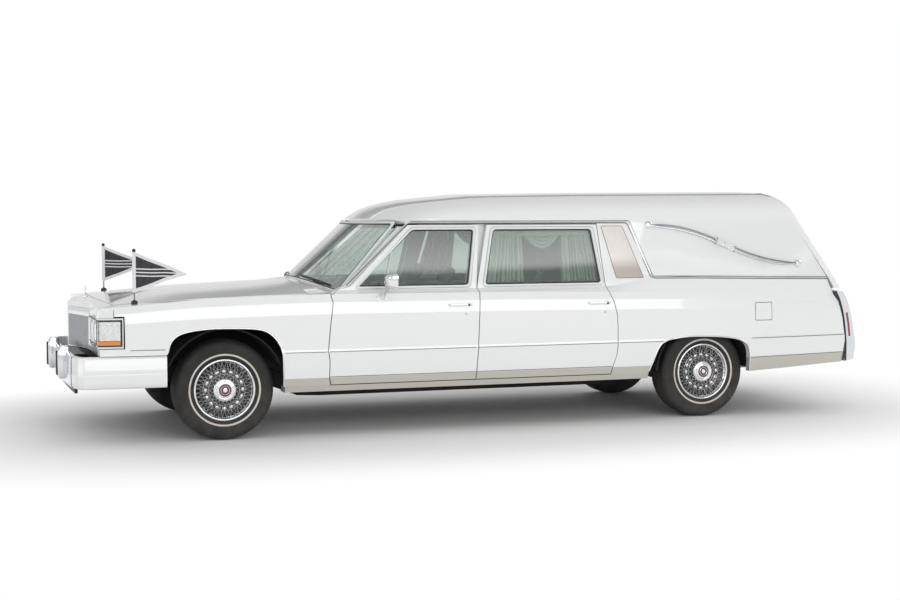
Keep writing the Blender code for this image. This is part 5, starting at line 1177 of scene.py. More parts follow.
@dataclass
class FrontEnd(Part):
    """Grille, lamps, bumper and ornament.

    Args:
        tip: Station of the grille's prow.
        face: Station of the lamp faces.
        grille_half: Half width of the grille.
        bars: Upright bars on each half of the grille.
        lamp_low: Foot of the lamp opening.
        lamp_high: Top of the lamp opening.
        bar_low: Foot of the grille's bars.
        bar_high: Their top.
        wing: Distance from the middle where the bumper's painted wing ends.
        seam: Where the dark seam beside it ends.
        centre: Half width of the bumper's bright middle.
    """

    tip: float = 0.957
    face: float = 0.850
    grille_half: float = 0.4197
    bars: int = 29
    lamp_low: float = 0.654
    lamp_high: float = 0.856
    bar_low: float = 0.616
    bar_high: float = 0.835
    wing: float = 0.800
    seam: float = 0.794
    centre: float = 0.796

    def build(self) -> None:
        """Makes the front end's pieces."""
        self._grille()
        for side in Side:
            self._lamp(side)
            self._bumper_cap(side)
            self._guard(side)
        self._bumper_centre()
        self._ornament()

    def prow(self, y: np.ndarray, back: float = 0.0) -> np.ndarray:
        """Station of the grille's face: it falls back evenly from the tip to both edges."""
        return self.face + 0.002 + (self.tip - self.face - 0.002) * (1 - np.abs(y) / self.grille_half) - back

    def _grille(self) -> None:
        """Header, border and fine upright bars over a dark core, a near-black sheet that is painted shade
        inside the grille.
        """
        y = np.array([self.grille_half, 0.30, 0.15, 0.012, 0.0, -0.012, -0.15, -0.30, -self.grille_half])
        path = np.stack([self.prow(y), y], 1)
        header = np.array([(-0.030, 0.834), (-0.004, 0.834), (0.0, 0.838), (-0.001, 0.860), (-0.003, 0.884),
                           (-0.008, 0.8915), (-0.030, 0.893)])
        self.add("grille_header", along_plan(path, header), "chrome", node="grille")
        foot = np.array([(-0.030, 0.605), (-0.003, 0.605), (0.0, 0.608), (0.0, 0.614), (-0.003, 0.617),
                         (-0.030, 0.617)])
        border = along_plan(path, foot)
        for sign in (-1.0, 1.0):
            edge = sign * (self.grille_half - 0.006)
            x = float(self.prow(np.array(abs(edge))))
            post = block((x - 0.028, edge - 0.005, self.bar_low), (x + 0.001, edge + 0.005, self.bar_high),
                         0.002)
            border = border.plus(post)
        prow = block((self.tip - 0.032, -0.006, self.bar_low), (self.tip - 0.0005, 0.006, self.bar_high),
                     0.003)
        border = border.plus(prow)
        self.add("grille_border", border, "chrome")
        plan = np.array([(-0.026, -0.0024), (-0.004, -0.0024), (-0.0005, -0.0008), (-0.0005, 0.0008),
                         (-0.004, 0.0024), (-0.026, 0.0024)])
        bar = pillar(plan, self.bar_low, self.bar_high)
        at = np.linspace(0.020, self.grille_half - 0.018, self.bars)
        at = np.concatenate([-at, at])
        offsets = np.stack([self.prow(at), at, np.zeros_like(at)], 1)
        bars = bar.repeated(np.tile(np.eye(3), (len(at), 1, 1)), offsets)
        for level in (0.690, 0.762):
            rail = np.array([(-0.020, level - 0.0022), (-0.010, level - 0.0022), (-0.010, level + 0.0022),
                             (-0.020, level + 0.0022)])
            bars = bars.plus(along_plan(path, rail))
        self.add("grille_bars", bars, "grille")
        # The core is painted shade: a near-black sheet where the grille's depth lies in shadow.
        core = plan_wall(path, 0.612, 0.838, -0.024, 0.006)
        self.add("grille_core", core, "shadow", "dark_trim")

    def _wrap(self, start: float, end: float, count: int = 30) -> np.ndarray:
        """Plan path of the lamp band from the side lamp's rear edge round the corner to the grille.

        Start and end are shares of its length; the corner is eased over a few centimetres.
        """
        raw = np.array([(0.684, 0.9455), (0.76, 0.938), (0.820, 0.9300), (0.838, 0.9240), (0.848, 0.912),
                        (self.face, 0.895), (self.face, 0.70), (self.face, self.grille_half + 0.0015)])
        line = even_path(np.column_stack([raw, np.zeros(len(raw))]), 200)[:, :2]
        first, last = int(start * 199), int(end * 199)
        pick = np.linspace(first, last, count).round().astype(int)
        return line[pick]

    def _lamp(self, side: Side) -> None:
        """One lamp unit: bright border, black surround that is partly painted shadow of the recess, two
        headlamps and the wrapped side lamp.
        """
        low, high = self.lamp_low, self.lamp_high
        whole = self._wrap(0.0, 1.0, 60)
        top = np.array([(-0.040, high - 0.013), (-0.002, high - 0.013), (0.001, high - 0.010),
                        (0.001, high - 0.003), (-0.002, high), (-0.040, high)])
        foot = top * (1, -1) + (0, low + high)
        border = along_plan(whole, top).plus(along_plan(whole, foot[::-1]))
        for share in (0.004, 0.385, 0.70, 0.990):
            post = self._wrap(max(share - 0.008, 0.0), min(share + 0.008, 1.0), 4)
            border = border.plus(plan_wall(post, low + 0.008, high - 0.008, 0.0005, 0.030))
        self.add("lamp_border", border, "chrome", node="headlamp", side=side)
        # The black tray and surround are partly painted shadow: they darken the lamp recess where it lies in
        # shade.
        tray = plan_wall(whole, low + 0.006, high - 0.006, -0.034, 0.012)
        self.add("lamp_tray", tray, "black", "dark_trim", side=side)
        strips = []
        for first, last in ((0.012, 0.377), (0.393, 0.692), (0.708, 0.982)):
            path = self._wrap(first, last, 24)
            for under, over in ((low + 0.011, low + 0.020), (high - 0.024, high - 0.011)):
                strips.append(plan_wall(path, under, over, -0.006, 0.024))
        for share in (0.022, 0.367):
            post = self._wrap(share - 0.010, share + 0.010, 4)
            strips.append(plan_wall(post, low + 0.012, high - 0.012, -0.005, 0.022))
        self.add("lamp_surround", joined(strips), "black", "dark_trim", side=side)
        bowls, lenses = [], []
        for first, last in ((0.398, 0.687), (0.713, 0.977)):
            path = self._wrap(first, last, 40)
            share = np.linspace(-1, 1, 40)[:, None]
            height = np.linspace(low + 0.021, high - 0.025, 17)[None, :]
            rise = (height - (low + high - 0.004) / 2) / ((high - low - 0.046) / 2)
            bulge = (1 - share ** 4) * (1 - rise ** 4)
            grid = np.stack([np.broadcast_to(path[:, :1], bulge.shape),
                             np.broadcast_to(path[:, 1:], bulge.shape),
                             np.broadcast_to(height, bulge.shape)], -1)
            out = grid + np.stack([-0.009 + 0.010 * bulge, 0 * bulge, 0 * bulge], -1)
            lenses.append(shell(out, out - (0.0025, 0, 0)))
            bowl_x = -0.012 - 0.020 * (1 - share ** 2) * (1 - rise ** 2)
            bowl = grid + np.stack([bowl_x, 0 * bulge, 0 * bulge], -1)
            bowls.append(shell(bowl, bowl - (0.0015, 0, 0)))
        self._side_lamp(side, joined(bowls), joined(lenses))

    def _side_lamp(self, side: Side, bowls: Shape, lenses: Shape) -> None:
        """The wrapped side lamp: clear ribbed lens over an amber strip, with a bright back."""
        low, high = self.lamp_low, self.lamp_high
        path = self._wrap(0.034, 0.355, 120)
        clear = np.linspace(low + 0.052, high - 0.025, 9)
        amber = np.linspace(low + 0.022, low + 0.050, 5)
        count = len(path)
        step = np.gradient(path, axis=0)
        step /= np.linalg.norm(step, axis=1, keepdims=True)
        normal = np.stack([-step[:, 1], step[:, 0]], 1)
        ribs = 0.0008 * np.abs(np.sin(np.arange(count) * math.pi / 4))

        def sheet_at(heights: np.ndarray, offset: np.ndarray) -> np.ndarray:
            """A grid that follows the path at an offset from it."""
            plan = path + normal * offset[:, None]
            return np.stack([np.broadcast_to(plan[:, None, 0], (count, len(heights))),
                             np.broadcast_to(plan[:, None, 1], (count, len(heights))),
                             np.broadcast_to(heights[None, :], (count, len(heights)))], -1)
        lens = shell(sheet_at(clear, -0.004 + ribs), sheet_at(clear, np.full(count, -0.0070)))
        strip = shell(sheet_at(amber, -0.003 + ribs), sheet_at(amber, np.full(count, -0.0100)))
        back = shell(sheet_at(clear, -0.016 + 0.004 * np.cos(np.linspace(0, 6 * math.pi, count))),
                     sheet_at(clear, np.full(count, -0.026)))
        self.add("lamp_lens", lenses.plus(lens), "lens", "lamp_lens", side=side)
        self.add("lamp_reflector", bowls.plus(back), "reflector", side=side)
        self.add("lamp_amber", strip, "amber", "lamp_lens", side=side)
        skirt = np.array([(-0.034, 0.603), (-0.012, 0.603), (-0.006, 0.606), (-0.003, 0.630),
                          (-0.003, 0.649), (-0.006, 0.6525), (-0.034, 0.6525)])
        valance = along_plan(self._wrap(0.30, 1.0, 40), skirt)
        self.add("lamp_valance", valance, "paint", "paint_white", side=side)

    @staticmethod
    def bumper_path(count: int = 140) -> np.ndarray:
        """Plan of the bumper's face from the left arch round to the right arch."""
        left = [(0.400, 0.955), (0.60, 0.950), (0.800, 0.9425), (0.900, 0.9400), (0.944, 0.9330),
                (0.980, 0.9020), (0.997, 0.868), (1.020, 0.760), (1.032, 0.380), (1.035, 0.0)]
        raw = left + [(x, -y) for x, y in reversed(left[:-1])]
        return even_path(np.column_stack([np.array(raw), np.zeros(len(raw))]), count)[:, :2]

    @staticmethod
    def _section() -> np.ndarray:
        """The bumper's section: a plain upper face, a crease, and a face that tucks in at the foot."""
        rows = [(-0.045, 0.385), (-0.018, 0.385), (-0.010, 0.389), (-0.004, 0.402), (-0.001, 0.430),
                (0.0, 0.474), (0.0, 0.482), (-0.003, 0.486), (-0.003, 0.580), (-0.006, 0.592),
                (-0.014, 0.599), (-0.045, 0.600)]
        return np.array(rows)

    def _bumper_cap(self, side: Side) -> None:
        """The painted wing of the bumper, from the wheel arch round the corner."""
        path = self.bumper_path(400)
        path = path[path[:, 1] > self.wing]
        wing = along_plan(path, self._section()).mirrored(side)
        node = "front_bumper" if side is Side.LEFT else None
        self.add(f"bumper_wing_{side.word}", wing, "paint", "paint_white", node)
        seam = self.bumper_path(3000)
        seam = seam[(seam[:, 1] <= self.wing) & (seam[:, 1] > self.seam)]
        rubber = along_plan(seam, self._section() + (0.0015, 0))
        self.add("bumper_seam", rubber, "black", "dark_trim", side=side)

    def _bumper_centre(self) -> None:
        """The bright middle of the bumper and the dark valance under it."""
        path = self.bumper_path(200)
        path = path[np.abs(path[:, 1]) < self.centre]
        self.add("bumper_centre", along_plan(path, self._section()), "bumper")
        valance = np.array([(-0.075, 0.330), (-0.060, 0.325), (-0.044, 0.384), (-0.075, 0.384)])
        inner = path[np.abs(path[:, 1]) < 0.60]
        self.add("bumper_valance", along_plan(inner, valance), "black", "black_underbody")

    def _guard(self, side: Side) -> None:
        """An upright bumper guard with a black face strip."""
        y, half = 0.38, 0.042
        rows = ((0.412, 0.986, 1.052), (0.430, 0.984, 1.0645), (0.590, 0.984, 1.0665),
                (0.622, 0.984, 1.058), (0.636, 0.990, 1.040))
        loops = []
        for z, rear, front in rows:
            grow = 1.0 if 0.42 < z < 0.60 else 0.86
            plan = pill(front - rear, 2 * half * grow, 0.012, 5) + ((front + rear) / 2, y)
            loops.append(np.insert(plan, 2, z, axis=1))
        guard = stacked(loops)
        self.add("bumper_guard", guard, "bumper", side=side)
        strip = block((1.058, y - 0.017, 0.436), (1.0745, y + 0.017, 0.604), 0.005)
        self.add("guard_strip", strip, "black", "rubber", side=side)

    def _ornament(self) -> None:
        """A plain upright ornament on a small oval foot, near the hood's front edge."""
        foot = pill(0.040, 0.018, 0.008) + (0.832, 0.0)
        base = pillar(foot, 0.9495, 0.9585, edge=0.003)
        stem = swept(np.array([(0.832, 0, 0.957), (0.831, 0, 0.985), (0.829, 0, 1.030)]), circle(0.0022, 8),
                     out=(0, 1, 0))
        blade = pillar(np.array([(0.8325, 0.992), (0.8355, 1.012), (0.8320, 1.034), (0.8270, 1.034),
                                 (0.8245, 1.012), (0.8275, 0.992)]), -0.0016, 0.0016, axis=1)
        self.add("hood_ornament", base.plus(stem, blade), "chrome")


# Flags


@dataclass
class Flags(Part):
    """The two pennants on the fenders with their staffs.

    Args:
        x: Station of both staffs.
        y: Their distance from the middle.
        top: Height of the ball's top.
        hoist: Height of the cloth at the staff.
        fly: Length of the cloth.
    """

    x: float = 0.600
    y: float = 0.870
    top: float = 1.314
    hoist: float = 0.270
    fly: float = 0.360

    def build(self) -> None:
        """Makes both flags."""
        for side in Side:
            self._staff(side)
            self._cloth(side)

    def _staff(self, side: Side) -> None:
        """Round black foot, thin rod, and a black ball on its tip."""
        y, word = self.y * side.value, side.word
        foot = 0.9485
        loop = np.array([(0.0005, -0.006), (0.020, -0.006), (0.0218, 0.0), (0.0218, 0.012), (0.019, 0.016),
                         (0.009, 0.019), (0.0065, 0.024), (0.0005, 0.024)]) + (0.0, foot)
        base = spun(loop, (self.x, y), 32)
        self.add(f"staff_foot_{word}", base, "black", "dark_trim")
        rod = np.array([(0.0003, foot + 0.015), (0.0052, foot + 0.015), (0.0052, self.top - 0.018),
                        (0.0003, self.top - 0.018)])
        self.add(f"staff_rod_{word}", spun(rod, (self.x, y), 20), "rod", "dark_trim", f"flag_staff_{word}")
        turn = np.linspace(0, math.pi, 14)
        ball = np.column_stack([np.maximum(0.0125 * np.sin(turn), 0.0003),
                                self.top - 0.0130 - 0.0125 * np.cos(turn)])
        self.add(f"staff_ball_{word}", spun(ball, (self.x, y), 24), "black", "dark_trim")

    def _cloth(self, side: Side) -> None:
        """A pennant with soft waves that grow towards its tip, and the sleeve that holds it.

        The hoist runs down the staff; the half height falls evenly to the tip. The waves are sines of the
        distance from the staff, a little later lower down.
        """
        word, count_u, count_v = side.word, 91, 41
        u = np.linspace(0, 1, count_u)[:, None]
        v = np.linspace(0, 1, count_v)[None, :]
        upper = self.top - 0.0225
        tip = upper - self.hoist * 0.55
        high = upper + (tip - upper) * u
        low = upper - self.hoist + (tip - upper + self.hoist) * u
        reach = self.fly - 0.006
        x = self.x - 0.002 - u * reach + 0 * v
        z = low + (high - low) * v
        grow = 0.0095 * np.clip(u * 1.6, 0, 1) ** 1.3
        wave = grow * (np.sin(2 * math.pi * (1.35 * u - 0.35 * v + 0.1)) + 0.35 * np.sin(
            2 * math.pi * (3.1 * u + 0.6 * v)))
        z = z - 0.004 * u * np.sin(2 * math.pi * u * 1.3)
        y = self.y * side.value + wave
        grid = np.stack([x, y, z + 0 * wave], -1)
        step_u, step_v = np.gradient(grid, axis=0), np.gradient(grid, axis=1)
        normal = np.cross(step_u, step_v)
        size = np.linalg.norm(normal, axis=-1, keepdims=True)
        normal = np.where(size > 1e-12, normal / np.maximum(size, 1e-12), (0.0, 1.0, 0.0))
        cut = count_u - 2
        cloth = shell((grid + normal * CLOTH_HALF)[:cut], (grid - normal * CLOTH_HALF)[:cut])
        rows = np.broadcast_to(u, (count_u, count_v))[:cut].reshape(-1)
        columns = np.broadcast_to(0.5 + (v - 0.5) * (1 - u), (count_u, count_v))[:cut].reshape(-1)
        cloth.uv = np.tile(np.stack([rows, columns], 1), (2, 1))
        piece = self.add(f"pennant_cloth_{word}", cloth, "flag", "pennant_cloth", f"pennant_{word}")
        turn = np.linspace(0, 2 * math.pi, 24, endpoint=False)
        across = np.stack([0.0118 * np.cos(turn), 0.0085 * np.sin(turn)], -1)
        levels = np.linspace(upper - self.hoist + 0.001, upper - 0.001, 40)
        crease = 1 + 0.05 * np.sin(levels * 160)[:, None] * np.cos(3 * turn)[None, :]
        points = np.stack([self.x + across[None, :, 0] * crease,
                           self.y * side.value + across[None, :, 1] * crease,
                           np.broadcast_to(levels[:, None], (40, 24))], -1)
        sleeve = surface(points, wrap_columns=True, caps=True).outward()
        self.add(f"pennant_sleeve_{word}", sleeve, "hem", "pennant_cloth")


def spun(profile: np.ndarray, centre: Sequence[float], steps: int = 48) -> Shape:
    """A closed profile of radius and height, spun about an upright axis.

    Args:
        profile: (n, 2) loop of radius and height.
        centre: Plan place of the axis.
        steps: Points round the turn.

    Returns:
        The closed shape, its poles closed by flat caps at its first and last point.
    """
    turn = np.linspace(0, 2 * math.pi, steps, endpoint=False)[None, :]
    points = np.stack([centre[0] + profile[:, :1] * np.cos(turn), centre[1] + profile[:, :1] * np.sin(turn),
                       np.broadcast_to(profile[:, 1:], (len(profile), steps))], -1)
    return surface(points, wrap_columns=True, caps=True).outward()


# Side trim


def rounded_loop(corners: Sequence[Sequence[float]], radius: float, steps: int = 6) -> np.ndarray:
    """A closed outline with each corner replaced by a parabola that leaves and joins it at the radius."""
    p = np.asarray(corners, float)
    before, after = np.roll(p, 1, 0) - p, np.roll(p, -1, 0) - p
    start = p + before / np.linalg.norm(before, axis=1, keepdims=True) * radius
    end = p + after / np.linalg.norm(after, axis=1, keepdims=True) * radius
    t = np.linspace(0, 1, steps + 1)[None, :, None]
    loop = start[:, None] * (1 - t) ** 2 + 2 * p[:, None] * t * (1 - t) + end[:, None] * t ** 2
    return loop.reshape(-1, p.shape[1])


def hoop(loop: np.ndarray, width: float, rise: float, sink: float = 0.0015, count: int = 160) -> Shape:
    """A half-round moulding along a closed outline of stations and heights on the left side."""
    line = Skin.side(even_loop(loop, count))
    half = width / 2
    profile = np.array([(-half, -sink), (half, -sink), (half, rise * 0.4), (half * 0.6, rise * 0.9),
                        (0.0, rise), (-half * 0.6, rise * 0.9), (-half, rise * 0.4)])
    return swept(line, profile, closed=True)


def plate_on_side(corners: Sequence[Sequence[float]], out: float, depth: float, rows: int = 24,
                  columns: int = 10) -> Shape:
    """A thin plate on the left side, its corners given from the lower front round over the top."""
    c = np.asarray(corners, float)
    u, v = np.linspace(0, 1, rows)[:, None, None], np.linspace(0, 1, columns)[None, :, None]
    front, rear = c[0] + (c[1] - c[0]) * u, c[3] + (c[2] - c[3]) * u
    xz = front + (rear - front) * v
    y = Skin.half(xz[..., 0], xz[..., 1])
    face = np.stack([xz[..., 0], y + out, xz[..., 1]], -1)
    return shell(face, face - (0.0, depth, 0.0))


@dataclass
class SideTrim(Part):
    """Mouldings, window reveals, handles, mirrors and plates on both sides.

    Args:
        crease: Height of the body-side moulding.
        line: Width of the thin mouldings.
        window_top: Top of the side windows.
        window_foot: Foot of the side windows.
    """

    crease: float = 0.592
    line: float = 0.0055
    window_top: float = 1.430
    window_foot: float = 1.034

    @property
    def front_window(self) -> list[tuple[float, float]]:
        """Corners of the front door's window."""
        return [(-0.945, self.window_foot), (-1.372, self.window_top), (-1.842, self.window_top),
                (-1.772, self.window_foot)]

    @property
    def rear_window(self) -> list[tuple[float, float]]:
        """Corners of the rear door's window."""
        return [(-1.899, self.window_foot), (-1.990, self.window_top), (-2.766, self.window_top),
                (-2.816, self.window_foot)]

    def build(self) -> None:
        """Makes the trim of both sides."""
        for side in Side:
            self._creases(side)
            self._arches(side)
            self._drip_rail(side)
            self._reveals(side)
            self._handles(side)
            self._mirror(side)
            self._opera_panel(side)
            self._landau_bar(side)
        self._filler_cap()

    def _creases(self, side: Side) -> None:
        """Thin dark-edged mouldings along the body lines at the middle and the rocker, one run for each
        panel; their dark grey is partly painted shade of the grooves.
        """
        z, low = self.crease, 0.417
        runs = (
            ("fender", Body.CAR, [(-0.402, z + 0.001), (-0.700, z)]),
            ("front_door", Body.FRONT_DOOR, [(-0.716, z), (-1.794, z)]),
            ("rear_door", Body.REAR_DOOR, [(-1.806, z), (-2.905, z)]),
            ("quarter", Body.CAR, [(-2.918, z), (-3.290, z)]),
            ("tail", Body.CAR, [(-4.030, z + 0.004), (-4.868, z + 0.008)]),
            ("nose", Body.CAR, [(0.640, 0.640), (0.412, 0.640)]),
            ("low_tail", Body.CAR, [(-4.030, 0.449), (-4.855, 0.463)]),
            ("low_front_door", Body.FRONT_DOOR, [(-0.724, low), (-1.794, low)]),
            ("low_rear_door", Body.REAR_DOOR, [(-1.806, low), (-2.866, low)]),
        )
        # The strips' dark grey is partly painted shade of the grooves they follow.
        for name, body, path in runs:
            self.add(f"moulding_{name}", Skin.strip(path, self.line, 0.0016, 30), "pinline", "dark_trim",
                     body=body, side=side)

    def _arches(self, side: Side) -> None:
        """Bright lips along both wheel arches."""
        front = [(0.404, 0.608), (0.396, 0.620), (0.372, 0.690), (0.318, 0.736), (0.228, 0.760),
                 (0.096, 0.772), (-0.056, 0.771), (-0.178, 0.765), (-0.258, 0.751), (-0.320, 0.712),
                 (-0.363, 0.656), (-0.387, 0.588), (-0.396, 0.453), (-0.398, 0.362)]
        rear = [(0.490, 0.372), (0.468, 0.429), (0.418, 0.548), (0.368, 0.592), (0.279, 0.612),
                (0.151, 0.623), (-0.043, 0.618), (-0.174, 0.606), (-0.266, 0.586), (-0.326, 0.549),
                (-0.354, 0.478), (-0.362, 0.345)]
        for name, path in (("front", front), ("rear", [(REAR_AXLE + x, z) for x, z in rear])):
            line = smooth_path(path, 90)
            self.add(f"arch_lip_{name}", Skin.strip(line, 0.009, 0.0030, 90, sink=0.004), "chrome", side=side)

    def _drip_rail(self, side: Side) -> None:
        """The bright gutter: up the front pillar, along the roof, down the slant and along the belt."""
        path = [(-0.862, 1.052), (-1.336, 1.4755), (-1.360, 1.482), (-3.066, 1.482), (-3.078, 1.476),
                (-3.226, 1.076), (-3.238, 1.0685), (-3.63, 1.0635), (-4.765, 1.040)]
        self.add("gutter", Skin.strip(path, 0.0075, 0.0065, 220, sink=0.004), "chrome", side=side)
        shade = [(x + 0.011 * (x < -3.0 and z > 1.07), z - 0.0085 * (x > -3.08 or z < 1.07)) for x, z in path]
        self.add("gutter_shade", Skin.strip(shade, 0.006, 0.0018, 220), "shadow", "dark_trim", side=side)
        over = [(x - 0.011 * (x < -3.0 and z > 1.07), z + 0.0085 * (x > -3.08 or z < 1.07))
                for x, z in path[2:]]
        self.add("gutter_upper", Skin.strip(over, 0.0045, 0.0020, 200), "pinline", "dark_trim", side=side)

    def _reveals(self, side: Side) -> None:
        """Bright frames and dark gaskets round the side windows, the belt strips and the vent bar."""
        for name, body, corners in (("front", Body.FRONT_DOOR, self.front_window),
                                    ("rear", Body.REAR_DOOR, self.rear_window)):
            middle = np.mean(corners, 0)
            inner = rounded_loop(corners, 0.026)
            outer = middle + (inner - middle) * (1.022, 1.040)
            self.add(f"reveal_{name}", hoop(outer, 0.015, 0.0042), "trim_white", body=body, side=side)
            gasket = middle + (inner - middle) * (0.992, 0.986)
            ring = hoop(gasket, 0.012, 0.0030, 0.003).mapped(lambda p: p - (0.0, 0.0125, 0.0))
            self.add(f"gasket_{name}", ring, "black", "rubber", body=body, side=side)
            edge = middle + (inner - middle) * (1.048, 1.088)
            self.add(f"frame_line_{name}", hoop(edge, 0.003, 0.0012), "pinline", "dark_trim", body=body,
                     side=side)
        bar = Skin.side([(-1.150, self.window_foot + 0.003), (-1.212, 1.2760)], -0.012)
        profile = np.array([(-0.006, -0.004), (0.006, -0.004), (0.006, 0.001), (0.0, 0.004), (-0.006, 0.001)])
        self.add("vent_bar", swept(even_path(bar, 20), profile), "chrome", body=Body.FRONT_DOOR, side=side)

    def _handles(self, side: Side) -> None:
        """Pull handles with a dark push button, and round locks."""
        rows = ((Body.FRONT_DOOR, "front", -1.593, -1.766, 0.897, (-1.724, 0.832)),
                (Body.REAR_DOOR, "rear", -2.677, -2.850, 0.889, (-2.806, 0.822)))
        for body, name, front, rear, z, lock in rows:
            y = Skin.reach((front + rear) / 2, z)
            line = np.array([(front, y - 0.001, z), (front - 0.010, y + 0.007, z),
                             (front - 0.022, y + 0.011, z), (rear + 0.030, y + 0.011, z),
                             (rear + 0.014, y + 0.008, z), (rear + 0.004, y - 0.001, z)])
            profile = pill(0.015, 0.008, 0.003, 4)
            strap = swept(smooth_path(line, 60), profile)
            pad = pillar(pill(0.052, 0.026, 0.010) + (rear + 0.022, z), y - 0.002, y + 0.0045, axis=1,
                         edge=0.0015)
            tip = pillar(pill(0.022, 0.018, 0.007) + (front - 0.006, z), y - 0.002, y + 0.004, axis=1,
                         edge=0.001)
            button = pillar(pill(0.018, 0.016, 0.006) + (rear + 0.026, z - 0.001), y + 0.004, y + 0.0165,
                            axis=1, edge=0.002)
            barrel = pillar(circle(0.0095, 24) + lock, Skin.reach(*lock) - 0.002,
                            Skin.reach(*lock) + 0.004, axis=1, edge=0.0015)
            slit = block((lock[0] - 0.0012, Skin.reach(*lock) + 0.0037, lock[1] - 0.005),
                         (lock[0] + 0.0012, Skin.reach(*lock) + 0.0043, lock[1] + 0.005), 0.0003)
            self.add(f"handle_{name}", strap.plus(pad, tip, barrel), "chrome", body=body, side=side)
            self.add(f"handle_button_{name}", button.plus(slit), "black", "dark_trim", body=body, side=side)

    def _mirror(self, side: Side) -> None:
        """A bright rectangular mirror head on a curved stem and an oval foot.

        The head's sections are rounded rectangles whose size follows a quarter ellipse towards the
        front, so its back is softly domed.
        """
        share = np.linspace(0, 1, 12)
        size = np.sqrt(np.maximum(1 - (share * 0.93) ** 2.6, 0.02))
        loops = [pill(0.142 * s, 0.104 * s, 0.020 * s, 6) + (1.054, 1.080) for s in size]
        sections = [np.insert(loop, 0, -1.160 + 0.066 * t, axis=1) for loop, t in zip(loops, share)]
        rim = np.insert(pill(0.142, 0.104, 0.020, 6) + (1.054, 1.080), 0, -1.1640, axis=1)
        head = stacked([rim, *sections])
        stem_line = smooth_path([(-1.100, 0.958, 0.945), (-1.106, 0.975, 0.985), (-1.118, 1.010, 1.020),
                                 (-1.126, 1.035, 1.045)], 24)
        stem = swept(stem_line, pill(0.030, 0.014, 0.006, 4))
        foot = pillar(pill(0.100, 0.034, 0.014) + (-1.100, 0.949), Skin.reach(-1.10, 0.949) - 0.006,
                      Skin.reach(-1.10, 0.949) + 0.010, axis=1, edge=0.004)
        self.add("mirror_head", head.plus(stem, foot), "chrome", node="mirror", body=Body.FRONT_DOOR,
                 side=side)
        glass = pillar(pill(0.126, 0.088, 0.016) + (1.054, 1.080), -1.1662, -1.1638, axis=0, edge=0.0006)
        self.add("mirror_glass", glass, "reflector", body=Body.FRONT_DOOR, side=side)

    def _opera_panel(self, side: Side) -> None:
        """The plain brushed panel behind the rear door, in a bright frame."""
        corners = [(-2.941, 1.066), (-2.850, 1.450), (-3.022, 1.450), (-3.160, 1.066)]
        self.add("opera_panel", plate_on_side(corners, 0.0022, 0.0040), "brushed", side=side)
        loop = rounded_loop(corners, 0.008)
        self.add("opera_frame", hoop(loop, 0.0045, 0.0045), "pinline", side=side)

    def _landau_bar(self, side: Side) -> None:
        """Two slim rods on an S-curve, a plain block with a round boss in their middle, and end knobs.

        With t running from 0 to 1, the height leaves the straight line by 0.036 sin(2 pi t), and the
        rods part by a bow that closes at both ends.
        """
        start, end = np.array((-3.241, 1.456)), np.array((-4.499, 1.154))
        t = np.linspace(0, 1, 81)[:, None]
        line = start + (end - start) * t
        line[:, 1] += 0.036 * np.sin(2 * math.pi * t[:, 0])
        bow = 1 - np.abs(2 * t[:, 0] - 1) ** 6
        rods = []
        for shift, finish, name, node in ((0.0115, "rod_dark", "upper", "landau_bar"),
                                          (-0.0115, "chrome", "lower", None)):
            path = np.column_stack([line[:, 0], line[:, 1] + shift * bow])
            track = Skin.side(path, 0.016)
            rods.append(track)
            self.add(f"landau_{name}", swept(track, circle(0.0055, 12)), finish, node=node, side=side)
        web = np.stack([rods[0] - (0, 0.008, 0), rods[1] - (0, 0.008, 0)], 1)[2:-2]
        self.add("landau_web", shell(web, web - (0, 0.003, 0)), "trim_white", side=side)
        middle = np.array((float((start + end)[0] / 2), float((start + end)[1] / 2)))
        y = Skin.reach(*middle)
        turn = math.atan2(-(end - start)[1] + 0.226, -(end - start)[0])
        slope = np.array([(math.cos(turn), math.sin(turn)), (-math.sin(turn), math.cos(turn))])
        block_plan = pill(0.190, 0.044, 0.004) @ slope + middle
        boss = pillar(circle(0.021, 32) + middle, y + 0.020, y + 0.032, axis=1, edge=0.004)
        body = pillar(block_plan, y + 0.004, y + 0.024, axis=1, edge=0.003)
        ends = [pillar(pill(0.006, 0.050, 0.002) @ slope + middle + np.array((s * 0.084, 0)) @ slope,
                       y + 0.004, y + 0.0265, axis=1, edge=0.001) for s in (-1.0, 1.0)]
        self.add("landau_block", body.plus(boss), "chrome", side=side)
        self.add("landau_bands", ends[0].plus(ends[1]), "pinline", "dark_trim", side=side)
        turn_a = np.linspace(0, math.pi / 2, 9)
        knobs = []
        for x, z in (start, end):
            foot = Skin.reach(x, z)
            profile = [(0.0004, foot - 0.002), (0.0285, foot - 0.002), (0.0285, foot + 0.010)]
            profile += [(0.0004 + 0.0281 * math.cos(a), foot + 0.010 + 0.012 * math.sin(a))
                        for a in turn_a[1:]]
            knobs.append(turned(profile, (x, 0.0, z), 32))
        self.add("landau_knobs", joined(knobs), "chrome", side=side)

    def _filler_cap(self) -> None:
        """The cap in the pocket behind the fuel lid."""
        x, z = -4.136, 0.798
        y = Skin.reach(x, z) - 0.016
        cap = pillar(circle(0.026, 40) + (x, z), y - 0.001, y + 0.005, axis=1, edge=0.0015)
        grip = block((x - 0.022, y + 0.004, z - 0.0035), (x + 0.022, y + 0.0085, z + 0.0035), 0.0015)
        self.add("filler_cap", cap.plus(grip), "black", "dark_trim")


# Cloth behind the glass and padded seats


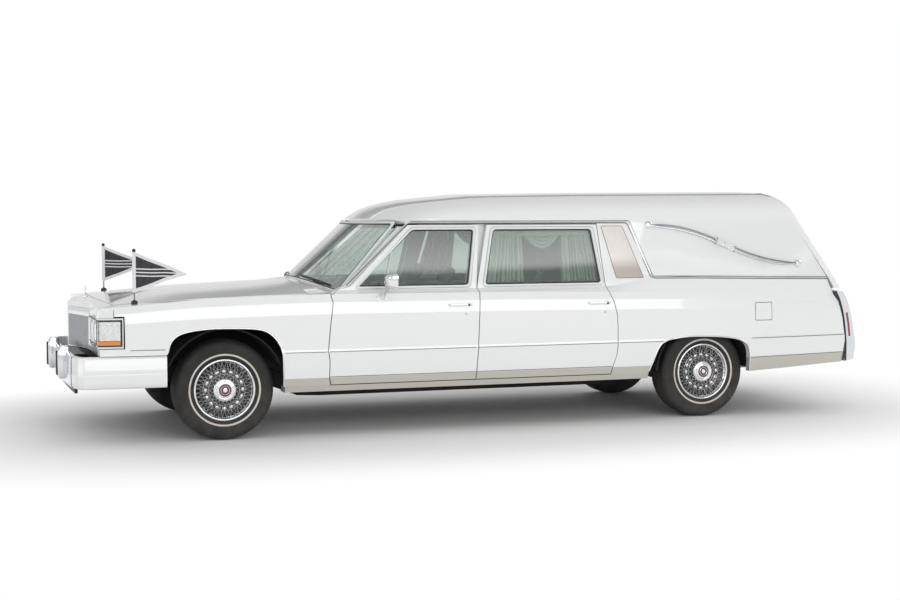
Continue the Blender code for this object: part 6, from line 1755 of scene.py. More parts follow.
@dataclass
class Drapes(Part):
    """Gathered drapes behind both rear door windows: two panels, a valance and a swag between them.

    Args:
        inset: How far behind the outer skin the cloth hangs.
        top: Height of the rail.
        foot: Height of the hems.
        front: Station of the front edge at the rail and at the hem.
        rear: Station of the rear edge at the rail and at the hem.
        gap: Stations between which the panels leave the middle open, at the hem.
    """

    inset: float = 0.0585
    top: float = 1.4335
    foot: float = 1.047
    front: tuple[float, float] = (-2.008, -1.923)
    rear: tuple[float, float] = (-2.756, -2.800)
    gap: tuple[float, float] = (-2.222, -2.528)

    def build(self) -> None:
        """Hangs the drapes of both doors."""
        for side in Side:
            first = self._panel("front", self.front, (-2.232, self.gap[0]), side, 9)
            self._panel("rear", (-2.548, self.gap[1]), self.rear, side, 10)
            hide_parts(f"drape_{side.word}")
            self._swag(side)
            self._valance(side)

    def _hang(self, name: str, x: np.ndarray, z: np.ndarray, push: np.ndarray, flat: tuple[float, float],
              side: Side, held: str, area: float | None = None) -> bpy.types.Object:
        """Makes one cloth from grids of station, height and depth behind the skin."""
        y = Skin.half(x, z) - self.inset - push
        grid = np.stack([x, y, z], -1)
        across, down = np.gradient(grid, axis=0), np.gradient(grid, axis=1)
        normal = np.cross(across, down)
        normal /= np.maximum(np.linalg.norm(normal, axis=-1, keepdims=True), 1e-9)
        cloth = shell(grid + normal * CLOTH_HALF, grid - normal * CLOTH_HALF).mirrored(side)
        piece = place(cloth, f"drape_{name}_{side.word}", self.finishes["drape"], Body.REAR_DOOR.on(side),
                      soft=60.0)
        # The fold attribute holds each point's depth in the folds, for painted shade in the valleys.
        depth = np.broadcast_to(push, x.shape) - push.min()
        fold = np.tile((depth / max(float(depth.max()), 1e-6)).ravel() ** 1.5, 2)
        if len(piece.data.vertices) == len(fold):
            layer = piece.data.attributes.new("fold", "FLOAT", "POINT")
            layer.data.foreach_set("value", fold.astype(np.float32))
        return piece

    def _panel(self, name: str, start: tuple[float, float], end: tuple[float, float], side: Side,
               folds: int) -> bpy.types.Object:
        """One gathered panel, with pleats that deepen towards the hem and vary a little in pitch.

        The push behind the skin is a sine of the place across the panel, its phase bent by slower
        sines so that no two pleats are alike.
        """
        u, v = np.linspace(0, 1, folds * 18 + 1)[:, None], np.linspace(0, 1, 40)[None, :]
        z = self.top + (self.foot - self.top) * v + 0 * u
        phase = folds * (u + 0.030 * np.sin(2 * math.pi * (1.3 * u + 0.2))
                         + 0.016 * np.sin(2 * math.pi * 3.1 * u))
        phase = phase + 0.10 * np.sin(2 * math.pi * (0.6 * v + 1.7 * u))
        depth = 0.0032 + 0.0075 * np.clip(v * 3, 0, 1) * (0.80 + 0.20 * np.sin(2 * math.pi * (2.3 * u + 0.4)))
        wave = np.cos(2 * math.pi * phase)
        push = depth * (1 - wave * (1 + 0.25 * (1 - wave ** 2)))
        sway = 0.0028 * np.sin(2 * math.pi * phase + 0.9) * np.clip(v * 2, 0, 1)
        left = start[0] + (start[1] - start[0]) * v
        right = end[0] + (end[1] - end[0]) * v
        x = left + (right - left) * u + sway * np.sin(math.pi * u)
        width = abs(end[1] - start[1])
        run = np.hypot(np.diff(push, axis=0), np.diff(x, axis=0)).sum(0).mean()
        flat = (float(max(run, width)), self.top - self.foot + 0.012)
        return self._hang(name, x, z, push, flat, side, "gathered")

    def _swag(self, side: Side) -> None:
        """The draped swag between the panels: soft folds that hang in nested bows from both upper corners.

        The height falls by a bow, (1 - abs(2u - 1)^1.7)^0.95, that deepens down the cloth, and the folds
        are sines down the cloth that die out at both ends.
        """
        u, v = np.linspace(0, 1, 61)[:, None], np.linspace(0, 1, 73)[None, :]
        x = -2.222 + (-2.550 + 2.222) * u + 0 * v
        bow = np.maximum(1 - np.abs(2 * u - 1) ** 1.7, 0.0) ** 0.95
        z = 1.4300 - 0.018 * v - bow * (0.012 + 0.118 * v)
        fold = np.abs(np.sin(math.pi * 5.0 * v + 0.3)) * (0.25 + 0.75 * v)
        push = -0.0035 - 0.0065 * fold * np.clip(bow * 1.5, 0, 1) + 0 * u
        self._hang("swag", x, z, push, (0.40, 0.175), side, "draped", area=self._area(x, z, push))

    @staticmethod
    def _area(x: np.ndarray, z: np.ndarray, push: np.ndarray) -> float:
        """Area of a cloth grid, from the cross products of its steps."""
        grid = np.stack([x, push, z], -1)
        one, two = np.diff(grid, axis=0)[:, :-1], np.diff(grid, axis=1)[:-1]
        return float(np.linalg.norm(np.cross(one, two), axis=-1).sum())

    def _valance(self, side: Side) -> None:
        """A narrow gathered heading along the rail, in front of panels and swag."""
        u, v = np.linspace(0, 1, 271)[:, None], np.linspace(0, 1, 10)[None, :]
        x = self.front[0] + 0.002 + (self.rear[0] - self.front[0] - 0.004) * u + 0 * v
        z = self.top + 0.001 - 0.052 * v + 0.0015 * np.sin(2 * math.pi * 9 * u) * v
        gathers = np.cos(2 * math.pi * 44 * (u + 0.01 * np.sin(9 * u)))
        push = -0.0095 + 0.0016 * gathers * (1 - 0.4 * v) - 0.002 * v
        run = np.hypot(np.diff(push, axis=0), np.diff(x, axis=0)).sum(0).mean()
        self._hang("valance", x, z, push, (float(run), 0.052), side, "gathered")


@dataclass
class FrontSeat(Part):
    """The front bench in padded vinyl: cushion, backrest and two head pads, with stitched channels.

    Args:
        voxel: Mesh size of the padding.
        frames: Steps of the cloth simulation.
        pressure: Air pressure inside the cover.
        reach: The furthest that the pressure moves a point.
        channel: Step between the channels, about.
        press: Depth of a channel.
        narrow: Half width of a channel.
    """

    voxel: float = 0.012
    frames: int = 20
    pressure: float = 4.0
    reach: float = 0.009
    channel: float = 0.113
    press: float = 0.0065
    narrow: float = 0.0075

    def build(self) -> None:
        """Makes the pads of the bench."""
        rows = (
            ("seat_cushion", (-1.245, -0.675, 0.452), (-1.690, 0.675, 0.590), 0.050, 0.0),
            ("seat_back", (-1.640, -0.672, 0.575), (-1.775, 0.672, 1.020), 0.045, 0.13),
            ("head_pad_left", (-1.722, 0.250, 1.030), (-1.800, 0.510, 1.150), 0.034, 0.10),
            ("head_pad_right", (-1.722, -0.510, 1.030), (-1.800, -0.250, 1.150), 0.034, 0.10),
        )
        for name, front, rear, corner, lean in rows:
            self._pad(name, np.array(front), np.array(rear), corner, lean)
        base = block((-1.700, -0.640, 0.373), (-1.275, 0.640, 0.462), 0.012)
        self.add("seat_base", base, "trim", "dark_trim")
        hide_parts("front_seat")

    def _pad(self, name: str, front: np.ndarray, rear: np.ndarray, corner: float, lean: float) -> None:
        """One pad: a rounded block, blown up as cloth, with seams pressed in afterwards.

        Args:
            name: The piece's name.
            front: Lower corner at its front.
            rear: Upper corner at its rear.
            corner: Radius of its corners.
            lean: How far the top leans back for each metre of height.
        """
        low, high = np.minimum(front, rear), np.maximum(front, rear)
        size = high - low
        levels = np.linspace(0, 1, 9)
        near = (1 - np.minimum(levels, 1 - levels) * 4).clip(0)
        drawn = corner * (1 - np.sqrt(np.clip(1 - near ** 2, 0, 1)))
        loops = []
        for level, pull in zip(levels, drawn):
            plan = pill(size[0] - 2 * pull, size[1] - 2 * pull, max(corner - pull * 0.6, 0.008), 6)
            plan = plan + (low[:2] + high[:2]) / 2
            loops.append(np.insert(plan, 2, low[2] + size[2] * level, axis=1))
        shape = stacked(loops)
        shape = shape.mapped(lambda p: p - np.stack([lean * (p[:, 2] - low[2]), 0 * p[:, 0], 0 * p[:, 0]], 1))
        piece = place(shape, name, self.finishes["seat"], Body.CAR.value, soft=180.0)
        self._inflate(piece)
        self._seams(piece, low, high)

    def _inflate(self, piece: bpy.types.Object) -> None:
        """Remeshes a pad evenly, blows it up under cloth for a few steps and keeps the result.

        No point moves further than the reach from where it began.
        """
        bpy.context.view_layer.objects.active = piece
        remesh = piece.modifiers.new("even", "REMESH")
        remesh.mode, remesh.voxel_size = "VOXEL", self.voxel
        bpy.ops.object.modifier_apply(modifier=remesh.name)
        count = len(piece.data.vertices)
        before = np.empty(count * 3, np.float32)
        piece.data.vertices.foreach_get("co", before)
        cloth = piece.modifiers.new("padding", "CLOTH")
        settings = cloth.settings
        settings.quality, settings.mass = 6, 0.3
        settings.tension_stiffness = settings.compression_stiffness = 25.0
        settings.bending_stiffness = 2.0
        settings.use_pressure, settings.uniform_pressure_force = True, self.pressure
        settings.effector_weights.gravity = 0.0
        cloth.point_cache.frame_start, cloth.point_cache.frame_end = 1, self.frames
        scene = bpy.context.scene
        for step in range(1, self.frames + 1):
            scene.frame_set(step)
        bpy.ops.object.modifier_apply(modifier=cloth.name)
        scene.frame_set(1)
        after = np.empty(count * 3, np.float32)
        piece.data.vertices.foreach_get("co", after)
        move = (after - before).reshape(-1, 3)
        length = np.linalg.norm(move, axis=1, keepdims=True)
        kept = before.reshape(-1, 3) + move * np.minimum(1.0, self.reach / np.maximum(length, 1e-9))
        piece.data.vertices.foreach_set("co", kept.astype(np.float32).ravel())
        piece.data.polygons.foreach_set("use_smooth", np.ones(len(piece.data.polygons), bool))
        piece.data.update()
        finer = piece.modifiers.new("finer", "SUBSURF")
        finer.levels = finer.render_levels = 1
        bpy.ops.object.modifier_apply(modifier=finer.name)

    def _seams(self, piece: bpy.types.Object, low: np.ndarray, high: np.ndarray) -> None:
        """Presses channels across the pad.

        Each point sinks towards the pad's middle by a narrow bell of its distance from the nearest channel.
        """
        count = len(piece.data.vertices)
        co = np.empty(count * 3, np.float32)
        piece.data.vertices.foreach_get("co", co)
        p = co.reshape(-1, 3)
        middle = (low + high) / 2 + (FRONT_AXLE, 0.0, 0.0)
        pitch = (high[1] - low[1]) / max(round((high[1] - low[1]) / self.channel), 2)
        share = (p[:, 1] - low[1]) / pitch
        off = np.abs(share - np.round(share)) * pitch
        press = self.press * np.exp(-(off / self.narrow) ** 2)
        toward = (middle - p) * (1.0, 0.0, 1.0)
        toward /= np.maximum(np.linalg.norm(toward, axis=1, keepdims=True), 1e-6)
        p = p + toward * press[:, None]
        piece.data.vertices.foreach_set("co", p.astype(np.float32).ravel())
        piece.data.update()


# Tail


@dataclass
class TailTrim(Part):
    """What the tail carries: lamp lenses and edges, rub strip, blank plate, handle, hinges and window frame.

    Args:
        inner: Inner side of the lamp units.
        outer: Outer side of the lamp units.
        knee: Height where the tail starts to lean forward.
        lean: How far it leans for each metre above the knee.
        bumper: Station of the rear bumper's middle.
        belt: How far behind the rear axle the tail stands at the knee.
        base: How far behind it stands low down.
        foot: Height below which it is upright again.
        bow: How much further back the middle stands.
    """

    inner: float = 0.780
    outer: float = 0.930
    knee: float = 1.04
    lean: float = 0.62
    bumper: float = REAR_AXLE - 1.365
    belt: float = 1.147
    base: float = 1.195
    foot: float = 0.90
    bow: float = 0.030

    def build(self) -> None:
        """Makes every piece of the tail."""
        for side in Side:
            self._lamp(side)
        self._rub_strip()
        self._plate()
        self._handle()
        self._hinges()
        self._window()

    def skin(self, y: np.ndarray, z: np.ndarray) -> np.ndarray:
        """Station of the tail's skin: upright below the knee, leaning forward above it, bowed across."""
        y, z = np.broadcast_arrays(np.asarray(y, float), np.asarray(z, float))
        share = np.clip((self.knee - z) / (self.knee - self.foot), 0.0, 1.0)
        low = REAR_AXLE - self.belt + (self.belt - self.base) * share
        flat = np.where(z > self.knee, REAR_AXLE - self.belt + self.lean * (z - self.knee), low)
        return flat - self.bow * (1 - np.minimum(np.abs(y) / Skin.half_width, 1.0) ** 2)

    def patch(self, across: tuple[float, float], up: tuple[float, float], counts: tuple[int, int], out: float,
              depth: float) -> Shape:
        """A thin plate on the tail.

        Args:
            across: Its two sides.
            up: Its foot and top.
            counts: Points across and up.
            out: How far its face stands outside the skin.
            depth: Its thickness.

        Returns:
            The plate.
        """
        y, z = np.meshgrid(np.linspace(*across, counts[0]), np.linspace(*up, counts[1]), indexing="ij")
        x = self.skin(y, z)
        return shell(np.stack([x - out, y, z], -1), np.stack([x - out + depth, y, z], -1))

    def _lamp(self, side: Side) -> None:
        """A lamp unit: dark front edge, slim side lens, fluted rear lens in two parts, and frame bars."""
        front = np.array([(-1.2195, 0.394), (-1.2185, 0.552), (-1.197, 0.728), (-1.163, 0.855),
                          (-1.1225, 0.940)])
        rear = np.array([(-1.189, 0.937), (-1.235, 0.860), (-1.273, 0.727), (-1.304, 0.572),
                         (-1.309, 0.505), (-1.291, 0.404)])
        front[:, 0] += REAR_AXLE
        rear[:, 0] += REAR_AXLE
        edge = even_path(smooth_path(front, 40), 60)
        track = np.column_stack([edge[:, 0] - 0.004, np.full(len(edge), self.outer), edge[:, 1]])
        strip = swept(track, np.array([(-0.006, -0.001), (0.006, -0.001), (0.006, 0.0012), (-0.006, 0.0012)]))
        self.add("tail_lamp_edge", strip, "black", "dark_trim", side=side)
        slim = even_path(np.array([(-4.892, 0.770), (-4.909, 0.680), (-4.921, 0.585)]), 30)
        track = np.column_stack([slim[:, 0], np.full(len(slim), self.outer), slim[:, 1]])
        profile = np.array([(-0.0085, -0.001), (0.0085, -0.001), (0.0085, 0.0012), (0.005, 0.0030),
                            (-0.005, 0.0030), (-0.0085, 0.0012)])
        self.add("tail_side_lens", swept(track, profile), "ruby", "lamp_lens", side=side)
        back = even_path(smooth_path(rear, 60), 90)
        for name, low, high, finish in (("upper", 0.590, 0.905, "ruby"),
                                        ("lower", 0.455, 0.575, "reflector")):
            part = back[(back[:, 1] >= low) & (back[:, 1] <= high)]
            self.add(f"tail_{name}_lens", self._lens(part), finish, "lamp_lens", side=side)
        bars = []
        for low in (0.447, 0.582, 0.7475, 0.913):
            spot = back[np.argmin(np.abs(back[:, 1] - low))]
            bars.append(block((spot[0] - 0.007, self.inner + 0.012, spot[1] - 0.004),
                              (spot[0] + 0.010, self.outer - 0.012, spot[1] + 0.004), 0.002))
        self.add("tail_lamp_bars", joined(bars), "chrome", side=side)

    def _lens(self, part: np.ndarray) -> Shape:
        """A lens along part of the unit's rear edge: raised by 4 mm with rounded sides and upright flutes."""
        across = np.linspace(0, 1, 46)
        y = self.inner + 0.016 + (self.outer - self.inner - 0.032) * across
        rise = 0.0042 * (1 - np.abs(2 * across - 1) ** 8) + 0.0004 * np.cos(2 * math.pi * 15 * across)
        step = np.gradient(part, axis=0)
        step /= np.linalg.norm(step, axis=1, keepdims=True)
        way = np.sign(step[:, 0] * step[:, 1] + 1e-9)
        out = np.stack([-np.abs(step[:, 1]), -np.abs(step[:, 0]) * way], 1)
        top = np.stack([part[:, :1] + out[:, :1] * rise, np.tile(y, (len(part), 1)),
                        part[:, 1:] + out[:, 1:] * rise], -1)
        foot = np.stack([part[:, :1] - out[:, :1] * 0.002 + 0 * rise, np.tile(y, (len(part), 1)),
                         part[:, 1:] - out[:, 1:] * 0.002 + 0 * rise], -1)
        return shell(top, foot)

    def _rub_strip(self) -> None:
        """The black strip along the rear bumper and the bright ledge above it."""
        y = np.linspace(-0.735, 0.735, 81)
        x = self.bumper + 0.004 * np.minimum(np.abs(y) / 0.40, 1.0)
        x = x + 0.016 * np.clip((np.abs(y) - 0.4) / 0.34, 0, 1)
        for name, height, half, rise, finish, slot in (("strip", 0.512, 0.019, 0.0035, "black", "rubber"),
                                                       ("ledge", 0.588, 0.004, 0.0020, "chrome", "chrome")):
            line = np.column_stack([x, y, np.full(len(y), height)])
            profile = np.array([(-half, -0.001), (half, -0.001), (half, rise * 0.5), (half * 0.8, rise),
                                (-half * 0.8, rise), (-half, rise * 0.5)])
            self.add(f"rear_bumper_{name}", swept(line, profile), finish, slot)

    def _plate(self) -> None:
        """A blank plate on the door's lower panel, its thin frame, and two small lamps above it."""
        plate = self.patch((-0.152, 0.152), (0.700, 0.850), (20, 12), 0.0045, 0.004)
        self.add("blank_plate", plate, "plate", "paint_white", body=Body.TAIL_DOOR)
        rows = ((-0.162, 0.162, 0.850, 0.858), (-0.162, 0.162, 0.692, 0.700), (-0.162, -0.152, 0.700, 0.850),
                (0.152, 0.162, 0.700, 0.850))
        edges = [self.patch((left, right), (low, high), (12, 6), 0.0065, 0.006)
                 for left, right, low, high in rows]
        self.add("plate_frame", joined(edges), "chrome", body=Body.TAIL_DOOR)
        lamps = []
        for middle in (-0.10, 0.10):
            spot = float(self.skin(middle, 0.877))
            lamps.append(block((spot - 0.012, middle - 0.022, 0.870), (spot + 0.002, middle + 0.022, 0.884),
                               0.002))
        self.add("plate_lamps", joined(lamps), "chrome", body=Body.TAIL_DOOR)

    def _handle(self) -> None:
        """The tail door's pull handle: a bowed bar on two feet, with a round lock below it."""
        spot = float(self.skin(-0.52, 0.96))
        line = np.column_stack([spot - 0.004 - 0.020 * np.sin(np.linspace(0, math.pi, 31)) ** 0.5,
                                np.linspace(-0.59, -0.45, 31), np.full(31, 0.960)])
        bar = swept(line, np.array(pill(0.011, 0.020, 0.004, 4)))
        feet = [pillar(circle(0.013, 20) + (side, 0.960), spot - 0.006, spot + 0.002, axis=0, edge=0.002)
                for side in (-0.588, -0.452)]
        lock = pillar(circle(0.011, 24) + (-0.52, 0.915), float(self.skin(-0.52, 0.915)) - 0.004,
                      float(self.skin(-0.52, 0.915)) + 0.002, axis=0, edge=0.0015)
        self.add("tail_handle", bar.plus(*feet), "chrome", body=Body.TAIL_DOOR)
        self.add("tail_lock", lock, "chrome", body=Body.TAIL_DOOR)

    def _hinges(self) -> None:
        """Two bright hinge leaves on the door by its left edge."""
        leaves = [self.patch((0.615, 0.690), (height - 0.022, height + 0.022), (10, 6), 0.0035, 0.004)
                  for height in (0.74, 0.98)]
        self.add("tail_hinge_leaves", joined(leaves), "chrome", body=Body.TAIL_DOOR)

    def _window(self) -> None:
        """A dark gasket and a bright frame round the tail window."""
        corners = np.array([(-0.60, 1.08), (0.60, 1.08), (0.52, 1.52), (-0.52, 1.52)])
        middle = corners.mean(0)
        for name, scale, width, rise, finish, slot in (("gasket", 1.006, 0.012, 0.0015, "black", "rubber"),
                                                       ("frame", 1.030, 0.012, 0.0035, "chrome", "chrome")):
            loop = rounded_loop(middle + (corners - middle) * scale, 0.035)
            loop = even_loop(loop, 240)
            away = loop - middle
            away /= np.linalg.norm(away, axis=1, keepdims=True)
            rows = []
            for across, out in ((-width / 2, -0.001), (-width / 2, rise * 0.5), (-width / 4, rise),
                                (width / 4, rise), (width / 2, rise * 0.5), (width / 2, -0.001)):
                spot = loop + away * across
                rows.append(np.column_stack([self.skin(spot[:, 0], spot[:, 1]) - out, spot]))
            ring = surface(np.stack(rows), wrap_rows=True, wrap_columns=True).outward()
            self.add(f"tail_window_{name}", ring, finish, slot, body=Body.TAIL_DOOR)


# Windshield trim and smooth panels


@dataclass
class Windshield(Part):
    """The bright moulding and dark gasket round the windshield, and two wipers parked along its foot.

    Args:
        base: Station and height of the glass's foot on the middle line.
        top: Station and height of its upper edge.
        half: Half width at the foot and at the upper edge.
        hood_half: Half width at which the sweep and the drop are given.
        sweep: How far the glass stands back there.
        drop: How far its foot drops there.
    """

    base: tuple[float, float] = (-0.666, 1.072)
    top: tuple[float, float] = (-1.130, 1.477)
    half: tuple[float, float] = (0.752, 0.690)
    hood_half: float = 0.80
    sweep: float = 0.184
    drop: float = 0.086

    @property
    def height(self) -> float:
        """Length of the glass from foot to upper edge."""
        return math.hypot(self.top[0] - self.base[0], self.top[1] - self.base[1])

    def at(self, y: np.ndarray, run: np.ndarray, out: float) -> np.ndarray:
        """Points above the glass: y across, run up along it and out along its upper normal."""
        rise = np.asarray(run) / self.height
        share = (np.asarray(y) / self.hood_half) ** 2
        foot = self.base[1] - self.drop * share
        head = self.top[1] + 0.008 * share
        lean = (self.top[0] - self.base[0], self.top[1] - self.base[1])
        x = self.base[0] + lean[0] * rise - self.sweep * share + out * lean[1] / self.height
        z = foot + (head - foot) * rise - out * lean[0] / self.height
        return np.stack([x, np.broadcast_to(y, x.shape), z], -1)

    def build(self) -> None:
        """Makes the moulding, the gasket and the wipers."""
        corners = np.array([(-self.half[0], 0.0), (self.half[0], 0.0), (self.half[1], 0.985 * self.height),
                            (-self.half[1], 0.985 * self.height)])
        middle = corners.mean(0)
        extent = np.array([self.half[0] - 0.03, self.height / 2])
        rings = (("moulding", -0.004, 0.016, 0.0050, "trim_white", "chrome"),
                 ("gasket", -0.013, -0.003, 0.0028, "black", "rubber"))
        for name, inner, outer, rise, finish, slot in rings:
            loop = rounded_loop(corners, 0.030)
            loop = even_loop(loop, 360)
            width = outer - inner
            rows = []
            for share, out in ((0.0, -0.003), (0.0, rise * 0.5), (0.25, rise), (0.75, rise),
                               (1.0, rise * 0.5), (1.0, -0.003)):
                spot = middle + (loop - middle) * (1 + (inner + width * share) / extent)
                rows.append(self.at(spot[:, 0], spot[:, 1], out))
            ring = surface(np.stack(rows), wrap_rows=True, wrap_columns=True).outward()
            self.add(f"windshield_{name}", ring, finish, slot)
        for side in Side:
            blade_y = np.linspace(0.66, 0.16, 40)
            blade = self.at(blade_y, 0.026 + 0.010 * np.linspace(0, 1, 40), 0.010)
            arm_y = np.linspace(0.62, 0.40, 20)
            arm = self.at(arm_y, np.linspace(0.004, 0.031, 20), 0.014)
            wiper = swept(blade, pill(0.007, 0.010, 0.002, 3)).plus(swept(arm, pill(0.009, 0.005, 0.002, 3)))
            self.add("wiper", wiper, "black", "dark_trim", side=side)


@dataclass
class SmoothPanels(Part):
    """Painted panels whose crowned faces are shaded as one smooth sheet, in place of the faceted solids.

    Args:
        crease: Edges sharper than this stay crisp, in degrees.
        weld: Points closer than this become one.
        panels: Nodes and the bodies that they ride on.
    """

    crease: float = 26.0
    weld: float = 0.0001
    panels: tuple[tuple[str, Body], ...] = (("roof", Body.CAR), ("hood", Body.HOOD), ("nose_panel", Body.CAR),
                                            ("cowl", Body.CAR))

    def build(self) -> None:
        """Makes each panel from the points and faces of its node."""
        for name, body in self.panels:
            node = NODES[name]
            points = np.empty(len(node.data.vertices) * 3, np.float32)
            node.data.vertices.foreach_get("co", points)
            points = points.reshape(-1, 3) @ np.array(node.matrix_world.to_3x3()).T
            points = points + np.array(node.matrix_world.translation)
            _, first, welded = np.unique(np.round(points / self.weld), axis=0, return_index=True,
                                         return_inverse=True)
            welded = welded.ravel()
            mesh = bpy.data.meshes.new(f"smooth_{name}")
            faces = [[int(welded[corner]) for corner in face.vertices] for face in node.data.polygons]
            mesh.from_pydata(points[first].tolist(), [], faces)
            mesh.polygons.foreach_set("use_smooth", np.ones(len(mesh.polygons), bool))
            mesh.set_sharp_from_angle(angle=math.radians(self.crease))
            mesh.materials.append(self.finishes["paint"])
            piece = bpy.data.objects.new(f"smooth_{name}", mesh)
            bpy.context.scene.collection.objects.link(piece)
            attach(piece, body.value)
            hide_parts(name)


# Studio


@dataclass
class Studio:
    """Floor, background, lamps and the camera at the photograph's place.

    Args:
        camera: The camera's place.
        yaw: Its turn from straight across the car, in degrees.
        pitch: How far it looks down, in degrees.
        lens: Focal length for a 36 mm wide frame.
        floor: Half the floor's size.
        kept: Half length and half width of the box about the car in which the floor keeps its own colour.
        sky: Strength of the even light.
        low: Strength of the background by the floor, as glossy surfaces see it.
        horizon: Its strength in the dim band above that.
        bright: Its strength in the band above that.
        high: Its strength further up.
        tilt: How far the edge of that band climbs towards the nose.
    """

    camera: tuple[float, float, float] = (3.9674, 11.2420, 1.5826)
    yaw: float = 19.238
    pitch: float = 3.412
    lens: float = 61.578
    floor: float = 60.0
    kept: tuple[float, float] = (2.6, 1.5)
    sky: float = 0.66
    low: float = 0.78
    horizon: float = 0.14
    bright: float = 1.35
    high: float = 0.62
    tilt: float = 0.126

    def build(self) -> None:
        """Makes the whole studio."""
        self._camera()
        self._world()
        self._floor()
        self._lamp("key lamp", (-0.4, 9.8, 3.0), (-0.6, 0.0, 0.7), (12.0, 3.0), 320.0)
        self._lamp("front lamp", (9.0, 2.0, 2.8), (1.5, 0.0, 0.7), (4.0, 3.0), 60.0)
        self._lamp("back lamp", (-9.5, 1.0, 4.5), (-2.0, 0.0, 0.9), (4.0, 3.0), 120.0)

    def _camera(self) -> None:
        """A camera that looks along the yaw and pitch."""
        data = bpy.data.cameras.new("portrait camera")
        data.lens, data.sensor_width = self.lens, 36.0
        data.clip_start, data.clip_end = 0.1, 400.0
        camera = bpy.data.objects.new("portrait camera", data)
        yaw, pitch = math.radians(self.yaw), math.radians(self.pitch)
        look = Vector((-math.sin(yaw) * math.cos(pitch), -math.cos(yaw) * math.cos(pitch), -math.sin(pitch)))
        camera.location = self.camera
        camera.rotation_euler = look.to_track_quat("-Z", "Y").to_euler()
        bpy.context.scene.collection.objects.link(camera)
        bpy.context.scene.camera = camera
        bpy.context.scene.view_settings.view_transform = "Standard"

    def _world(self) -> None:
        """Even light, with a white background for what is seen directly or through glass."""
        world = bpy.data.worlds.new("studio light")
        world.use_nodes = True
        bpy.context.scene.world = world
        g = Graph(world.node_tree)
        background = world.node_tree.nodes["Background"]
        path = g.add("LightPath")
        seen = g.math("MAXIMUM", path.outputs["Is Camera Ray"], path.outputs["Is Transmission Ray"])
        way = g.add("SeparateXYZ", {0: g.add("TexCoord").outputs["Generated"]})
        height = g.math("SUBTRACT", way.outputs["Z"], g.math("MULTIPLY", way.outputs["X"], self.tilt))
        dim = g.add("MapRange", {"Value": g.ramp(height, 0.22, 0.34), "To Min": self.low,
                                 "To Max": self.horizon})
        rise = g.add("MapRange", {"Value": g.ramp(height, 0.394, 0.400), "To Min": dim.outputs["Result"],
                                  "To Max": self.bright})
        mirrored = g.add("MapRange", {"Value": g.ramp(height, 0.400, 0.425), "To Min": rise.outputs["Result"],
                                      "To Max": self.high})
        plain = g.add("MapRange", {"Value": path.outputs["Is Glossy Ray"], "To Min": self.sky,
                                   "To Max": mirrored.outputs["Result"]})
        strength = g.add("MapRange", {"Value": seen, "To Min": plain.outputs["Result"], "To Max": 1.0})
        g.join(background, {"Strength": strength.outputs["Result"], "Color": (1.0, 1.0, 1.0, 1.0)})

    def _floor(self) -> None:
        """A pale floor that keeps the car's shadow and runs out to plain white away from it.

        The share of plain white grows with the distance from a box about the car.
        """
        size = self.floor
        corners = np.array([(-size, -size, 0), (size, -size, 0), (size, size, 0), (-size, size, 0)], float)
        mesh = bpy.data.meshes.new("studio_floor")
        mesh.from_pydata(corners.tolist(), [], [(0, 1, 2, 3)])
        material, g, shader = new_material("studio floor")
        g.join(shader, {"Base Color": (0.86, 0.86, 0.86, 1.0), "Roughness": 0.9, "Specular IOR Level": 0.1})
        parts = g.add("SeparateXYZ", {0: g.place()})
        across = g.math("DIVIDE", parts.outputs["X"], self.kept[0])
        deep = g.math("DIVIDE", parts.outputs["Y"], self.kept[1])
        far = g.math("SQRT", g.math("ADD", g.math("POWER", g.math("ABSOLUTE", across), 3.0),
                                    g.math("POWER", g.math("ABSOLUTE", deep), 3.0)))
        away = g.ramp(far, 0.9, 2.6)
        path = g.add("LightPath")
        seen = g.math("MAXIMUM", path.outputs["Is Camera Ray"], path.outputs["Is Glossy Ray"])
        seen = g.math("MAXIMUM", seen, path.outputs["Is Transmission Ray"])
        glow = g.add("Emission", {"Color": (1.0, 1.0, 1.0, 1.0), "Strength": 1.0})
        mix = g.add("MixShader", {0: g.math("MULTIPLY", away, seen), 1: shader.outputs[0],
                                  2: glow.outputs[0]})
        g.join(material.node_tree.nodes["Material Output"], {"Surface": mix.outputs[0]})
        mesh.materials.append(material)
        floor = bpy.data.objects.new("studio_floor", mesh)
        bpy.context.scene.collection.objects.link(floor)

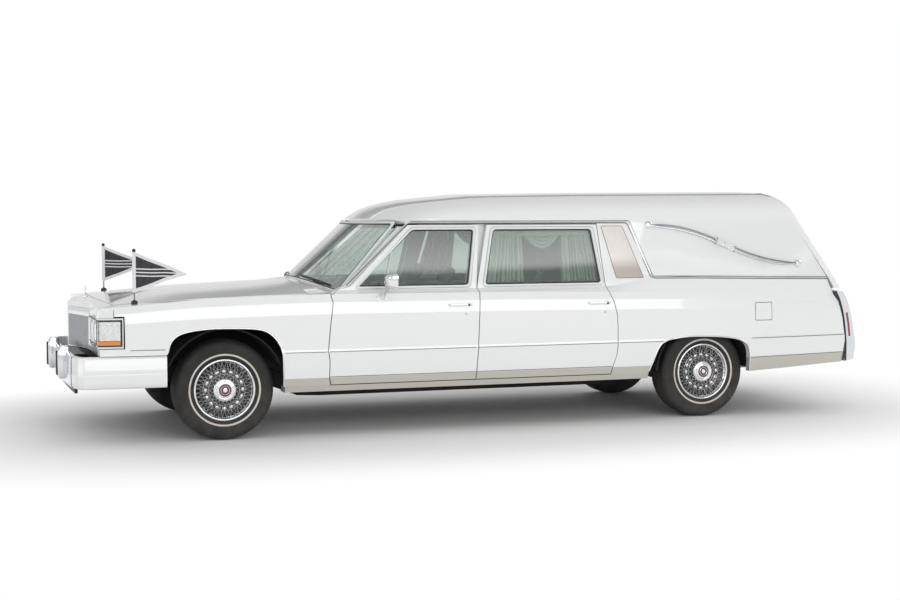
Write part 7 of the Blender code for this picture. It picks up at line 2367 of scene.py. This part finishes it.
    @staticmethod
    def _lamp(name: str, place_at: Sequence[float], aim: Sequence[float], size: tuple[float, float],
              power: float) -> None:
        """One soft box.

        Args:
            name: The lamp's name.
            place_at: Its centre.
            aim: The point it faces.
            size: Width and height.
            power: Watts.
        """
        data = bpy.data.lights.new(name, "AREA")
        data.shape, data.size, data.size_y, data.energy = "RECTANGLE", size[0], size[1], power
        lamp = bpy.data.objects.new(name, data)
        lamp.location = place_at
        lamp.rotation_euler = (Vector(aim) - Vector(place_at)).to_track_quat("-Z", "Y").to_euler()
        bpy.context.scene.collection.objects.link(lamp)


@dataclass
class Dresser:
    """Gives every solid of the frame that stays in view its finish."""

    finishes: dict[str, bpy.types.Material]
    plan: dict[str, str] = field(default_factory=lambda: {
        "frame": "underbody", "underbody": "underbody", "body_side": "paint", "fender": "paint",
        "roof": "paint", "tail_frame": "paint", "nose_panel": "paint", "cowl": "paint",
        "windshield": "glass", "grille": "chrome", "headlamp": "chrome", "front_bumper": "bumper",
        "rear_bumper": "bumper", "tail_lamp": "bumper", "landau_bar": "chrome",
        "radiator_support": "black", "engine": "iron", "exhaust": "steel", "fuel_tank": "steel",
        "rear_axle": "iron", "dashboard": "trim", "front_seat": "seat", "load_deck": "deck",
        "front_door_glass": "glass", "front_door": "paint", "mirror": "chrome",
        "rear_door_glass": "glass", "rear_door": "paint", "drape": "drape", "hood": "paint",
        "tail_door": "paint", "fuel_lid": "paint", "tail_glass": "glass", "knuckle": "iron",
        "front_wheel": "chrome",
        "front_tyre": "rubber", "rear_wheel": "chrome", "rear_tyre": "rubber",
        "flag_staff": "rod", "pennant": "flag",
    })

    def dress(self) -> None:
        """Sets each node's material by the name that it has without its side."""
        for name, node in NODES.items():
            plain = name.removesuffix("_left").removesuffix("_right")
            node.data.materials.clear()
            node.data.materials.append(self.finishes[self.plan[plain]])
        LOG.info("dressed %d solids", len(NODES))


# The whole scene


PARTS: tuple[type[Part], ...] = (WheelSet, FrontEnd, Flags, SideTrim, Drapes, FrontSeat, TailTrim,
                                 Windshield, SmoothPanels)


def main() -> None:
    """Builds the studio, dresses the frame and adds every piece in order."""
    logging.basicConfig(level=logging.INFO, format="%(name)s %(message)s")
    effects = Effects()
    finishes = {name: finish.material(effects) for name, finish in FINISHES.items()}
    Studio().build()
    Dresser(finishes).dress()
    for part in PARTS:
        builder = part(finishes)
        builder.build()
        LOG.info("built %s", type(builder).__name__)


if __name__ == "__main__":
    main()
